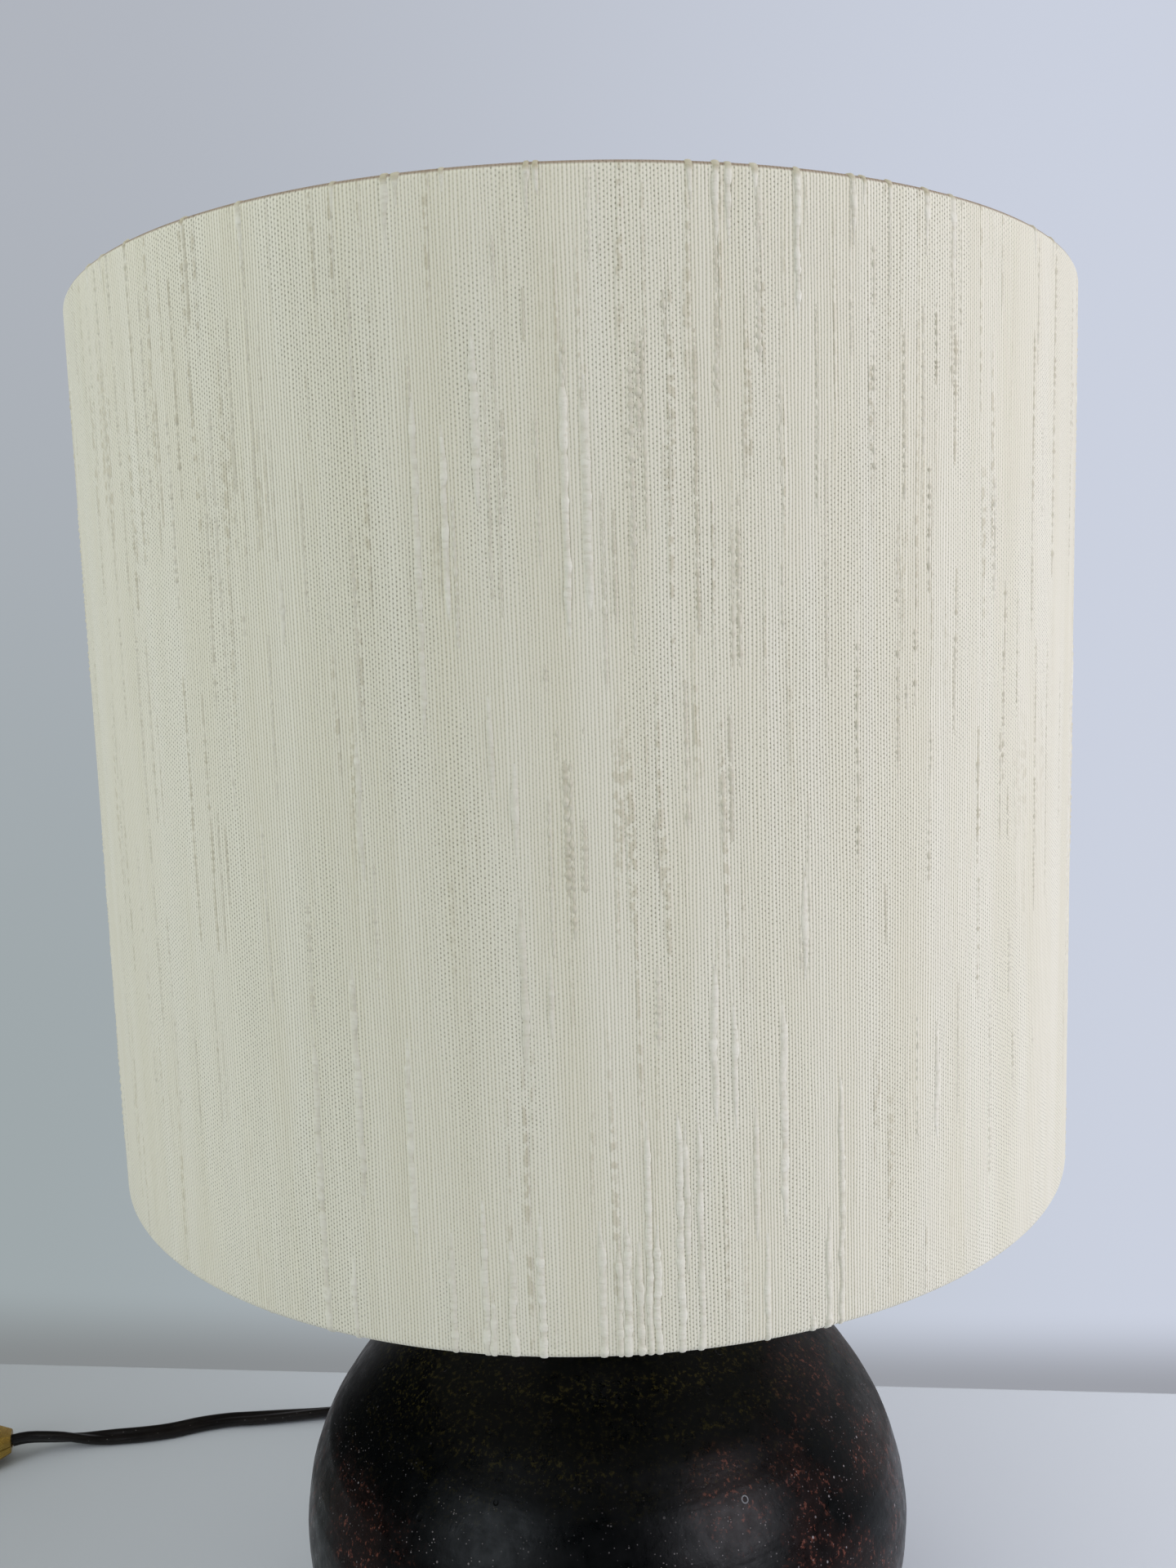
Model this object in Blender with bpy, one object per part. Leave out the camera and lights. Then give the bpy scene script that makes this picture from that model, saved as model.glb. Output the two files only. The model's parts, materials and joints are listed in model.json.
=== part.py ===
"""Stoneware ball table lamp with a drum shade, every piece at its real size, in metres, +Z up.

The origin is the middle of the felt pad's underside, on the table. The cord leaves the ball at the
back (+Y), turns left (-X) to its switch, and ends in a coil and a flat two-pin plug.
"""

import math

import bmesh
import bpy
from mathutils import Matrix, Vector

# Clearances and finish of the faceting
GAP = 0.0003
LOOSE_GAP = 0.0009
WELD = 0.0000005
CUT_OVERRUN = 0.004
SMOOTH_ANGLE = math.radians(32)

# Drum shade
SHADE_RADIUS = 0.125
SHADE_HEIGHT = 0.211
FABRIC_THICK = 0.0006
LINER_THICK = 0.0004
RING_WIRE_RADIUS = 0.00175
TOP_HEM_DEPTH = 0.008
BOTTOM_HEM_TURN = math.radians(195)
TOP_HEM_TURN = math.radians(180)
SPIDER_ARMS = 3
SPIDER_FIRST_ARM = math.radians(90)
SPIDER_ARM_RADIUS = 0.0016
SPIDER_DROP = 0.009
SPIDER_BEND_SHARES = (0.0, 0.12, 0.88, 1.0)
HUB_WIDTH = 0.007
HUB_THICK = 0.0015

# Stoneware ball
BALL_RADIUS = 0.086
BALL_HALF_HEIGHT = 0.0664
BALL_WALL = 0.0065
FOOT_RADIUS = 0.047
FOOT_CHAMFER = 0.0015
FOOT_RING_WIDTH = 0.009
FOOT_RECESS = 0.0015
FLOOR_THICK = 0.007
FLOOR_HOLE_RADIUS = 0.022
NECK_RADIUS = 0.018
NECK_HEIGHT = 0.015
NECK_FLARE = 0.011
NECK_LIP = 0.0012
NECK_BORE_RADIUS = 0.008
CEILING_WIDTH = 0.012
FELT_THICK = 0.002
FELT_INSET = 0.004

# Fixings of the neck
PIPE_RADIUS = 0.005
PIPE_WALL = 0.0012
PIPE_TAIL = 0.003
NUT_SIDES = 6
NUT_ACROSS_FLATS = 0.017
NUT_THICK = 0.005
WASHER_RADIUS = 0.015
WASHER_THICK = 0.002
NECK_CAP_THICK = 0.0012
NECK_CAP_SKIRT = 0.007
NECK_CAP_CROWN = 0.0015

# Lampholder
HOLDER_RADIUS = 0.0193
HOLDER_WALL = 0.0028
HOLDER_BASE_RADIUS = 0.009
HOLDER_CAP_HEIGHT = 0.024
HOLDER_HEIGHT = 0.056
HOLDER_BOSS_HEIGHT = 0.008
HOLDER_LIP = 0.002
INSERT_THICK = 0.007
INSERT_HOLE_RADIUS = 0.0018
SHELL_THICK = 0.0005
SHELL_FLANGE = 0.0014
CONTACT_RISE = 0.0026
CONTACT_WIDTH = 0.005
CONTACT_LENGTH = 0.016
CONTACT_THICK = 0.0005
CONTACT_BEND_SHARE = 0.33
CONTACT_TOP_SHARE = 0.25
TERMINAL_SIZE = 0.005
TERMINAL_PLACE = 0.0095
TERMINAL_SCREW_RADIUS = 0.0016
TERMINAL_SCREW_LENGTH = 0.003
SHADE_SEAT = 0.0392
SHADE_RING_WIDTH = 0.005
SHADE_RING_THICK = 0.0055
SHADE_RING_EDGE = 0.0008

# Bulb
BULB_RADIUS = 0.030
BULB_LENGTH = 0.105
BULB_GLASS = 0.0009
BULB_SHOULDER = math.radians(-38)
BULB_CAP_RADIUS = 0.0130
BULB_CAP_LENGTH = 0.0225
BULB_CAP_WALL = 0.0010
BULB_THREAD_PITCH = 0.00362
BULB_THREAD_DEPTH = 0.0006
BULB_THREADS = 5
BULB_INSULATOR_HEIGHT = 0.0045
BULB_CONTACT_RADIUS = 0.004
BULB_CONTACT_THICK = 0.0012
STEM_RADIUS = 0.0028
STEM_HEIGHT = 0.034
FILAMENT_WIRE = 0.0004
FILAMENT_SPAN = 0.013
FILAMENT_RISE = 0.012
FILAMENT_BOW_SHARES = (1.0, 0.5, 0.0)
FILAMENT_DEPTH_SHARES = (0.0, 0.5, 0.7)

# Cord
CORD_WIDTH = 0.0058
CORD_THICK = 0.0032
CORD_TUBE_RADIUS = math.sqrt(CORD_WIDTH * CORD_THICK) / 2
CORD_STEP = 0.0105
WIRE_RADIUS = 0.0010
SLEEVE_HEIGHT = 0.018
SLEEVE_LENGTH = 0.020
SLEEVE_ROOT_RADIUS = 0.0048
SLEEVE_TIP_RADIUS = 0.0036
SLEEVE_FLANGE = 0.0018
SLEEVE_FLANGE_THICK = 0.002

# Coil and its tie
COIL_CENTRE = (-0.2920, 0.0130)
COIL_MEAN_RADIUS = 0.0310
COIL_TURNS = 3.58
CLIMB_TURNS = 0.5
COIL_PITCH = 0.0049
COIL_LAYER = 0.0050
COIL_START = math.radians(180)
LOOP_POINTS = 24
TIE_WIDTH = 0.008
TIE_THICK = 0.0008
TIE_ANGLE = math.radians(20)
FLOOR_CLEARANCE = 0.0001

# Switch on the cord
SWITCH_NOSE = (-0.2259, 0.1008)
SWITCH_HEADING = math.radians(197)
SWITCH_LENGTH = 0.062
SWITCH_WIDTH = 0.0205
SWITCH_HEIGHT = 0.0150
SWITCH_AXIS_SHARE = 0.47
SWITCH_CHAMFER_SHARE = 0.17
SCREW_DEPTH_SHARE = 0.50
SCREW_SEAT_SHARE = 0.80
SWITCH_WALL = 0.0016
SWITCH_BORE_RADIUS = 0.0024
SWITCH_END_WALL = 0.0056
SWITCH_SCREW_PLACE = 0.0175
SWITCH_SCREW_RADIUS = 0.0012
SWITCH_SCREW_HEAD = 0.0021
SWITCH_SCREW_HEAD_THICK = 0.0012
SWITCH_BOSS_RADIUS = 0.0030
ROCKER_LENGTH = 0.0190
ROCKER_WIDTH = 0.0092
ROCKER_TILT = math.radians(8)
ROCKER_PIN_RADIUS = 0.0010
ROCKER_PIN_SEAT = 0.0008
ROCKER_PROUD = 0.0009
ROCKER_PIVOT_SHARE = 0.50
ROCKER_SKIRT_WALL = 0.0011
ROCKER_SKIRT_SHARE = 0.80
ROCKER_SWEEP_SHARE = 0.55
ROCKER_SWEEP_RISE_SHARE = 0.35
BRIDGE_START = 0.0024
BRIDGE_THICK = 0.0006
BRIDGE_LENGTH = 0.004
BRIDGE_WIDTH = 0.008
CONTACT_BLOCK = 0.003

# Plug
PLUG_WIDTH = 0.0353
PLUG_THICK = 0.0137
PLUG_DEPTH = 0.036
PLUG_BOOT = 0.022
PLUG_BOOT_TIP_WIDTH = 0.0084
PLUG_BOOT_TIP_THICK = 0.0070
BOOT_PLACE_SHARES = (0.0, 0.5, 1.0)
BOOT_SIZE_SHARES = (1.0, 1.2, 1.45)
BODY_PLACE_SHARES = (0.16, 0.42, 0.72, 1.0)
BODY_WIDTH_SHARES = (0.56, 0.92, 1.0, 1.0)
BODY_THICK_SHARES = (0.92, 1.0, 1.0, 1.0)
PLUG_PIN_RADIUS = 0.002
PLUG_PIN_LENGTH = 0.019
PLUG_PIN_SPACING = 0.0186
PLUG_PIN_SEAT = 0.008
CORD_END_LENGTH = 0.026

# Steps of round pieces
SHADE_STEPS = 48
BALL_STEPS = 36
HOLDER_STEPS = 20
BULB_STEPS = 20
SMALL_STEPS = 12
WIRE_STEPS = 6
BALL_ARC_STEPS = 13
BALL_INNER_STEPS = 6
FLARE_STEPS = 3
HEM_STEPS = 4
HOLDER_ARC_STEPS = 5
BULB_ARC_STEPS = 7
BULB_THROAT_STEPS = 4
PLUG_SIDE_STEPS = 6

# Heights that follow from the sizes above
FOOT_Z = FELT_THICK + GAP
BALL_CENTRE_Z = FOOT_Z + BALL_HALF_HEIGHT * math.sqrt(1 - (FOOT_RADIUS / BALL_RADIUS) ** 2)
CROWN_Z = BALL_CENTRE_Z + BALL_HALF_HEIGHT
NECK_Z = CROWN_Z + NECK_HEIGHT
INNER_RADIUS = BALL_RADIUS - BALL_WALL
INNER_HALF_HEIGHT = BALL_HALF_HEIGHT - BALL_WALL
CEILING_RADIUS = NECK_BORE_RADIUS + CEILING_WIDTH
CEILING_Z = BALL_CENTRE_Z + INNER_HALF_HEIGHT * math.sqrt(1 - (CEILING_RADIUS / INNER_RADIUS) ** 2)
NECK_CAP_Z = NECK_Z + GAP + NECK_CAP_THICK
HOLDER_Z = NECK_CAP_Z + GAP
HOLDER_BODY_Z = HOLDER_Z + HOLDER_CAP_HEIGHT + GAP
HOLDER_TOP_Z = HOLDER_Z + HOLDER_HEIGHT
INSERT_Z = HOLDER_BODY_Z + GAP
INSERT_TOP_Z = INSERT_Z + INSERT_THICK
BULB_Z = INSERT_TOP_Z + GAP + CONTACT_RISE + GAP
SEAT_Z = HOLDER_Z + SHADE_SEAT
HUB_Z = SEAT_Z + GAP
RIM_Z = SEAT_Z - SPIDER_DROP
SHADE_TOP_Z = RIM_Z + SHADE_HEIGHT
ROLL_RADIUS = RING_WIRE_RADIUS + GAP + FABRIC_THICK / 2
RING_RADIUS = SHADE_RADIUS - FABRIC_THICK / 2 - ROLL_RADIUS
BOTTOM_RING_Z = RIM_Z + FABRIC_THICK / 2 + ROLL_RADIUS
TOP_RING_Z = SHADE_TOP_Z - FABRIC_THICK / 2 - ROLL_RADIUS
HUB_INNER_RADIUS = HOLDER_RADIUS + LOOSE_GAP
COIL_BASE_Z = FLOOR_CLEARANCE + TIE_THICK + GAP + CORD_TUBE_RADIUS
CORD_Z = FLOOR_CLEARANCE + CORD_TUBE_RADIUS
SWITCH_AXIS_Z = FLOOR_CLEARANCE + SWITCH_HEIGHT * SWITCH_AXIS_SHARE
PLUG_AXIS_Z = FLOOR_CLEARANCE + PLUG_THICK / 2

# Colours, roughness and metallic value of each finish
FINISHES = {
    "stoneware_glaze": ((0.020, 0.012, 0.010), 0.34, 0.0),
    "felt": ((0.035, 0.045, 0.030), 0.95, 0.0),
    "shade_fabric": ((0.62, 0.58, 0.47), 0.85, 0.0),
    "shade_liner": ((0.80, 0.78, 0.70), 0.55, 0.0),
    "white_wire": ((0.70, 0.69, 0.65), 0.40, 0.0),
    "brass": ((0.60, 0.42, 0.14), 0.30, 1.0),
    "gold_lacquer": ((0.33, 0.21, 0.04), 0.35, 0.8),
    "steel": ((0.55, 0.55, 0.56), 0.32, 1.0),
    "bakelite": ((0.015, 0.012, 0.010), 0.30, 0.0),
    "porcelain": ((0.82, 0.81, 0.77), 0.22, 0.0),
    "bulb_glass": ((0.90, 0.90, 0.88), 0.12, 0.0),
    "bulb_cap_metal": ((0.66, 0.66, 0.64), 0.34, 1.0),
    "black_glass": ((0.010, 0.010, 0.012), 0.12, 0.0),
    "solder": ((0.50, 0.50, 0.50), 0.45, 1.0),
    "tungsten": ((0.16, 0.16, 0.17), 0.50, 1.0),
    "cord_plastic": ((0.016, 0.011, 0.009), 0.38, 0.0),
    "wire_brown": ((0.10, 0.045, 0.020), 0.45, 0.0),
    "wire_blue": ((0.03, 0.07, 0.22), 0.45, 0.0),
    "tie_plastic": ((0.02, 0.02, 0.02), 0.50, 0.0),
}


def clear_scene():
    for thing in list(bpy.data.objects):
        bpy.data.objects.remove(thing, do_unlink=True)


def finish(name):
    """The Principled material of one finish, made on first use."""
    if name in bpy.data.materials:
        return bpy.data.materials[name]
    colour, roughness, metallic = FINISHES[name]
    made = bpy.data.materials.new(name)
    made.use_nodes = True
    shader = made.node_tree.nodes["Principled BSDF"]
    shader.inputs["Base Color"].default_value = (*colour, 1)
    shader.inputs["Roughness"].default_value = roughness
    shader.inputs["Metallic"].default_value = metallic
    made.diffuse_color = (*colour, 1)
    return made


def add_object(name, data, finish_name, parent=None):
    """Links an object with its own copy of a finish, under a parent if it has one."""
    made = bpy.data.objects.new(name, data)
    bpy.context.scene.collection.objects.link(made)
    own = finish(finish_name).copy()
    own.name = name
    data.materials.append(own)
    made.parent = parent
    return made


def add_frame(name, place, turn=0.0, parent=None):
    """An empty that carries the pieces modelled about it."""
    made = bpy.data.objects.new(name, None)
    bpy.context.scene.collection.objects.link(made)
    made.location = place
    made.rotation_euler = (0, 0, turn)
    made.parent = parent
    return made


def close_mesh(bm, name):
    """Merges doubles, turns every face outwards and shades the round stretches smooth."""
    bmesh.ops.remove_doubles(bm, verts=bm.verts, dist=WELD)
    bmesh.ops.recalc_face_normals(bm, faces=bm.faces)
    mesh = bpy.data.meshes.new(name)
    bm.to_mesh(mesh)
    bm.free()
    mesh.shade_smooth()
    mesh.set_sharp_from_angle(angle=SMOOTH_ANGLE)
    return mesh


def turned_mesh(name, section, steps, ring=True):
    """Spins (radius, height) points about Z. A ring's section closes on itself."""
    bm = bmesh.new()
    verts = [bm.verts.new((radius, 0, height)) for radius, height in section]
    pairs = list(zip(verts, verts[1:]))
    if ring:
        pairs.append((verts[-1], verts[0]))
    edges = [bm.edges.new(pair) for pair in pairs]
    bmesh.ops.spin(
        bm,
        geom=verts + edges,
        cent=(0, 0, 0),
        axis=(0, 0, 1),
        angle=2 * math.pi,
        steps=steps,
        use_merge=True,
    )
    return close_mesh(bm, name)


def turned(name, section, finish_name, steps, ring=True, parent=None):
    return add_object(name, turned_mesh(name, section, steps, ring), finish_name, parent)


def skinned_mesh(name, sections, ring=False):
    """Skins closed sections of equal point counts, and caps both ends unless the row closes on itself."""
    bm = bmesh.new()
    loops = [[bm.verts.new(point) for point in section] for section in sections]
    followers = loops[1:] + loops[:1] if ring else loops[1:]
    for lower, upper in zip(loops, followers):
        for i in range(len(lower)):
            j = (i + 1) % len(lower)
            bm.faces.new((lower[i], lower[j], upper[j], upper[i]))
    if not ring:
        bm.faces.new(loops[0][::-1])
        bm.faces.new(loops[-1])
    return close_mesh(bm, name)


def skinned(name, sections, finish_name, ring=False, parent=None):
    return add_object(name, skinned_mesh(name, sections, ring), finish_name, parent)


def box_sections(low, high):
    """Two rectangles, at the lowest and the highest X, for skinned_mesh."""
    corners = ((low[1], low[2]), (high[1], low[2]), (high[1], high[2]), (low[1], high[2]))
    return [[(x, y, z) for y, z in corners] for x in (low[0], high[0])]


def pipe(name, points, radius, finish_name, resolution=2, parent=None):
    """A round tube of filled caps along the points."""
    curve = bpy.data.curves.new(name, "CURVE")
    curve.dimensions = "3D"
    curve.bevel_depth = radius
    curve.bevel_resolution = resolution
    curve.use_fill_caps = True
    spline = curve.splines.new("POLY")
    spline.points.add(len(points) - 1)
    for target, point in zip(spline.points, points):
        target.co = (*point, 1)
        target.radius = 1
    spline.use_smooth = True
    return add_object(name, curve, finish_name, parent)


def cutter(name, mesh, parent=None):
    """A hidden helper that a Boolean reads."""
    made = bpy.data.objects.new(name, mesh)
    bpy.context.scene.collection.objects.link(made)
    made.hide_render = True
    made.display_type = "WIRE"
    made.parent = parent
    return made


def boolean(target, other, operation="DIFFERENCE"):
    step = target.modifiers.new(operation.lower() + "_" + other.name, "BOOLEAN")
    step.operation = operation
    step.solver = "EXACT"
    step.object = other


def arc(centre, radii, start, end, steps):
    """Points of an ellipse's arc, both ends included."""
    angles = [start + (end - start) * i / steps for i in range(steps + 1)]
    return [(centre[0] + radii[0] * math.cos(a), centre[1] + radii[1] * math.sin(a)) for a in angles]


def bow(start, corner, end, steps):
    """Points of a curve that leaves start towards corner and reaches end from it, both ends included."""
    shares = [i / steps for i in range(steps + 1)]
    return [
        tuple((1 - t) ** 2 * a + 2 * t * (1 - t) * b + t**2 * c for a, b, c in zip(start, corner, end))
        for t in shares
    ]


def smooth_route(points, step):
    """Evenly spaced points of a smooth curve through the route's own points, with both end spans straight."""
    knots = [Vector(p) for p in points]
    fine = [knots[1]]
    spans = 16
    for before, start, end, after in zip(knots, knots[1:], knots[2:], knots[3:]):
        for i in range(1, spans + 1):
            t = i / spans
            lead = 2 * start + (end - before) * t
            bend = (2 * before - 5 * start + 4 * end - after) * t**2
            twist = (3 * start - before - 3 * end + after) * t**3
            fine.append((lead + bend + twist) / 2)
    lengths = [(b - a).length for a, b in zip(fine, fine[1:])]
    total = sum(lengths)
    count = max(2, round(total / step))
    made = [knots[0], fine[0]]
    walked = 0.0
    span = 0
    for i in range(1, count):
        wanted = total * i / count
        while walked + lengths[span] < wanted:
            walked += lengths[span]
            span += 1
        made.append(fine[span].lerp(fine[span + 1], (wanted - walked) / lengths[span]))
    return made + [fine[-1], knots[-1]]


def route_length(points):
    vectors = [Vector(p) for p in points]
    return sum((b - a).length for a, b in zip(vectors, vectors[1:]))


def heading(angle):
    return Vector((math.cos(angle), math.sin(angle), 0))


def turned_from_z(direction):
    """The rotation that lays a turned piece's axis along a direction."""
    return Vector((0, 0, 1)).rotation_difference(direction)


def lay_along(piece, place, direction):
    piece.rotation_mode = "QUATERNION"
    piece.rotation_quaternion = turned_from_z(direction)
    piece.location = place


def ball_width_at(height, radius, half_height):
    """The radius of the ball's inner or outer surface at a height."""
    return radius * math.sqrt(1 - ((height - BALL_CENTRE_Z) / half_height) ** 2)


def sleeve_flange_face():
    """How far back the sleeve's flange meets the ball's inner wall, at the flange's lowest edge."""
    lowest = SLEEVE_HEIGHT - SLEEVE_ROOT_RADIUS - SLEEVE_FLANGE
    return ball_width_at(lowest, INNER_RADIUS, INNER_HALF_HEIGHT) - LOOSE_GAP


# The ball and its foot


def ball_section():
    foot_start = -math.acos(FOOT_RADIUS / BALL_RADIUS)
    shoulder = math.acos((NECK_RADIUS + NECK_FLARE) / BALL_RADIUS)
    middle = (0, BALL_CENTRE_Z)
    outside = arc(middle, (BALL_RADIUS, BALL_HALF_HEIGHT), foot_start, shoulder, BALL_ARC_STEPS)
    outside[0] = (outside[0][0], FOOT_Z + FOOT_CHAMFER)
    corner = (NECK_RADIUS, CROWN_Z - NECK_LIP)
    flare = bow(outside[-1], corner, (NECK_RADIUS, CROWN_Z + NECK_FLARE / 2), FLARE_STEPS)
    collar = [
        (NECK_RADIUS, NECK_Z - NECK_LIP),
        (NECK_RADIUS - NECK_LIP, NECK_Z),
        (NECK_BORE_RADIUS, NECK_Z),
        (NECK_BORE_RADIUS, CEILING_Z),
    ]
    floor_z = FOOT_Z + FLOOR_THICK
    inner_start = math.acos(CEILING_RADIUS / INNER_RADIUS)
    inner_end = math.asin((floor_z - BALL_CENTRE_Z) / INNER_HALF_HEIGHT)
    inside = arc(middle, (INNER_RADIUS, INNER_HALF_HEIGHT), inner_start, inner_end, BALL_INNER_STEPS)
    foot_inner = FOOT_RADIUS - FOOT_RING_WIDTH
    underside = [
        (FLOOR_HOLE_RADIUS, floor_z),
        (FLOOR_HOLE_RADIUS, FOOT_Z + FOOT_RECESS),
        (foot_inner, FOOT_Z + FOOT_RECESS),
        (foot_inner, FOOT_Z),
        (FOOT_RADIUS - FOOT_CHAMFER, FOOT_Z),
    ]
    return outside + flare[1:] + collar + inside + underside


def add_ball():
    ball = turned("ball_body", ball_section(), "stoneware_glaze", BALL_STEPS)
    hole_start = sleeve_flange_face() - CUT_OVERRUN
    hole_end = BALL_RADIUS + CUT_OVERRUN
    clear = SLEEVE_ROOT_RADIUS + GAP
    section = [(0, hole_start), (clear, hole_start), (clear, hole_end), (0, hole_end)]
    hole = cutter("sleeve_hole", turned_mesh("sleeve_hole", section, SMALL_STEPS, ring=False))
    lay_along(hole, (0, 0, SLEEVE_HEIGHT), Vector((0, 1, 0)))
    boolean(ball, hole)
    felt_radius = FOOT_RADIUS - FELT_INSET
    felt = [(0, 0), (felt_radius, 0), (felt_radius, FELT_THICK), (0, FELT_THICK)]
    turned("felt_pad", felt, "felt", BALL_STEPS, ring=False)


def add_neck_fixings():
    pipe_bottom = CEILING_Z - GAP - WASHER_THICK - GAP - NUT_THICK - PIPE_TAIL
    pipe_top = HOLDER_Z + HOLDER_BOSS_HEIGHT
    bore = PIPE_RADIUS - PIPE_WALL
    section = [(bore, pipe_bottom), (PIPE_RADIUS, pipe_bottom), (PIPE_RADIUS, pipe_top), (bore, pipe_top)]
    turned("threaded_pipe", section, "steel", SMALL_STEPS)
    clear = PIPE_RADIUS + GAP
    washer_z = CEILING_Z - GAP - WASHER_THICK
    section = [
        (clear, washer_z),
        (WASHER_RADIUS, washer_z),
        (WASHER_RADIUS, washer_z + WASHER_THICK),
        (clear, washer_z + WASHER_THICK),
    ]
    turned("neck_washer", section, "steel", HOLDER_STEPS)
    add_hex_nut("neck_nut", washer_z - GAP - NUT_THICK)
    inner = NECK_RADIUS + GAP
    outer = inner + NECK_CAP_THICK
    top = NECK_CAP_Z
    under = top - NECK_CAP_THICK
    section = [(clear, under), (inner - NECK_LIP, under), (inner, under - NECK_LIP)]
    section += [(inner, top - NECK_CAP_SKIRT), (outer, top - NECK_CAP_SKIRT)]
    section += bow((outer, top - NECK_CAP_CROWN), (outer, top), (outer - NECK_CAP_CROWN, top), 2)
    section += [(clear, top)]
    turned("neck_cap", section, "brass", HOLDER_STEPS)


def add_hex_nut(name, height):
    """A hexagon nut about the Z axis, skinned as a ring of rectangular sections."""
    flat = NUT_ACROSS_FLATS / 2
    corner = flat / math.cos(math.pi / NUT_SIDES)
    sections = []
    for i in range(2 * NUT_SIDES):
        angle = math.pi * i / NUT_SIDES
        outer = corner if i % 2 == 0 else flat
        radial = heading(angle)
        inner = PIPE_RADIUS + GAP
        pairs = ((inner, height), (outer, height), (outer, height + NUT_THICK), (inner, height + NUT_THICK))
        sections.append([radial * r + Vector((0, 0, z)) for r, z in pairs])
    skinned(name, sections, "steel", ring=True)


# The lampholder


def add_holder():
    inner = HOLDER_RADIUS - HOLDER_WALL
    clear = PIPE_RADIUS + GAP
    base = HOLDER_Z
    boss_top = base + HOLDER_BOSS_HEIGHT
    top = base + HOLDER_CAP_HEIGHT
    foot = (HOLDER_BASE_RADIUS, base + HOLDER_LIP)
    corner = (HOLDER_RADIUS, base + HOLDER_LIP)
    outside = bow(foot, corner, (HOLDER_RADIUS, top), HOLDER_ARC_STEPS)
    inside = bow((inner, top), (inner, boss_top), (clear, boss_top), HOLDER_ARC_STEPS - 1)
    section = [(clear, base), (HOLDER_BASE_RADIUS, base)] + outside + inside
    turned("holder_cap", section, "bakelite", HOLDER_STEPS)

    low = HOLDER_BODY_Z
    high = HOLDER_TOP_Z
    mouth = BULB_CAP_RADIUS + LOOSE_GAP
    section = [
        (inner, low),
        (HOLDER_RADIUS, low),
        (HOLDER_RADIUS, high - HOLDER_LIP / 2),
        (HOLDER_RADIUS - HOLDER_LIP / 2, high),
        (mouth, high),
        (mouth, high - HOLDER_LIP),
        (inner, high - HOLDER_LIP),
    ]
    turned("holder_body", section, "bakelite", HOLDER_STEPS)

    edge = inner - GAP
    hole = INSERT_HOLE_RADIUS
    section = [(hole, INSERT_Z), (edge, INSERT_Z), (edge, INSERT_TOP_Z), (hole, INSERT_TOP_Z)]
    turned("holder_insert", section, "porcelain", HOLDER_STEPS)

    shell_inner = BULB_CAP_RADIUS + GAP
    shell_outer = shell_inner + SHELL_THICK
    shell_low = INSERT_TOP_Z + GAP
    shell_high = HOLDER_TOP_Z - HOLDER_LIP - GAP
    section = [
        (shell_inner, shell_low),
        (shell_outer + SHELL_FLANGE, shell_low),
        (shell_outer + SHELL_FLANGE, shell_low + SHELL_THICK),
        (shell_outer, shell_low + SHELL_THICK),
        (shell_outer, shell_high),
        (shell_inner, shell_high),
    ]
    turned("thread_shell", section, "brass", HOLDER_STEPS)
    add_centre_contact()
    for number, side in ((1, -1), (2, 1)):
        add_terminal(number, side)
    for name, height in (
        ("shade_ring_lower", SEAT_Z - SHADE_RING_THICK),
        ("shade_ring_upper", HUB_Z + HUB_THICK + GAP),
    ):
        section = rounded_ring(HOLDER_RADIUS + GAP, HOLDER_RADIUS + GAP + SHADE_RING_WIDTH, height)
        turned(name, section, "bakelite", HOLDER_STEPS)


def rounded_ring(inner, outer, low):
    """The section of a shade ring with its outer edges eased."""
    high = low + SHADE_RING_THICK
    return [
        (inner, low),
        (outer - SHADE_RING_EDGE, low),
        (outer, low + SHADE_RING_EDGE),
        (outer, high - SHADE_RING_EDGE),
        (outer - SHADE_RING_EDGE, high),
        (inner, high),
    ]


def add_centre_contact():
    """A bent spring tongue that rises from the porcelain to the bulb's contact."""
    low = INSERT_TOP_Z + GAP
    half = CONTACT_WIDTH / 2
    reach = CONTACT_LENGTH / 2
    tongue = low + CONTACT_RISE - CONTACT_THICK
    path = [(-reach, low), (-reach * CONTACT_BEND_SHARE, low)]
    path += [(reach * CONTACT_TOP_SHARE, tongue), (reach / 2, tongue)]
    sections = []
    for x, z in path:
        high = z + CONTACT_THICK
        sections.append([(x, -half, z), (x, half, z), (x, half, high), (x, -half, high)])
    skinned("centre_contact", sections, "brass")


def add_terminal(number, side):
    """A brass block under the porcelain with its clamping screw, and the wire that comes to it."""
    half = TERMINAL_SIZE / 2
    high = INSERT_Z - GAP
    centre = side * TERMINAL_PLACE
    low = high - TERMINAL_SIZE
    sections = box_sections((centre - half, -half, low), (centre + half, half, high))
    skinned(f"terminal_{number}", sections, "brass")
    radius = TERMINAL_SCREW_RADIUS
    section = [(0, 0), (radius, 0), (radius, TERMINAL_SCREW_LENGTH), (0, TERMINAL_SCREW_LENGTH)]
    screw = turned(f"terminal_screw_{number}", section, "steel", SMALL_STEPS, ring=False)
    lay_along(screw, (centre, -half - GAP, (low + high) / 2), Vector((0, -1, 0)))
    start = HOLDER_Z + HOLDER_BOSS_HEIGHT + GAP
    split = side * (WIRE_RADIUS + GAP / 2)
    route = [
        (split, 0, start),
        (split, 0, start + WIRE_RADIUS),
        ((split + centre) / 2, 0, (start + low) / 2),
        (centre, 0, low - GAP - WIRE_RADIUS),
        (centre, 0, low - GAP),
    ]
    colour = "wire_brown" if number == 1 else "wire_blue"
    pipe(f"holder_wire_{number}", smooth_route(route, WIRE_RADIUS * 2), WIRE_RADIUS, colour)


# The shade


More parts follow.
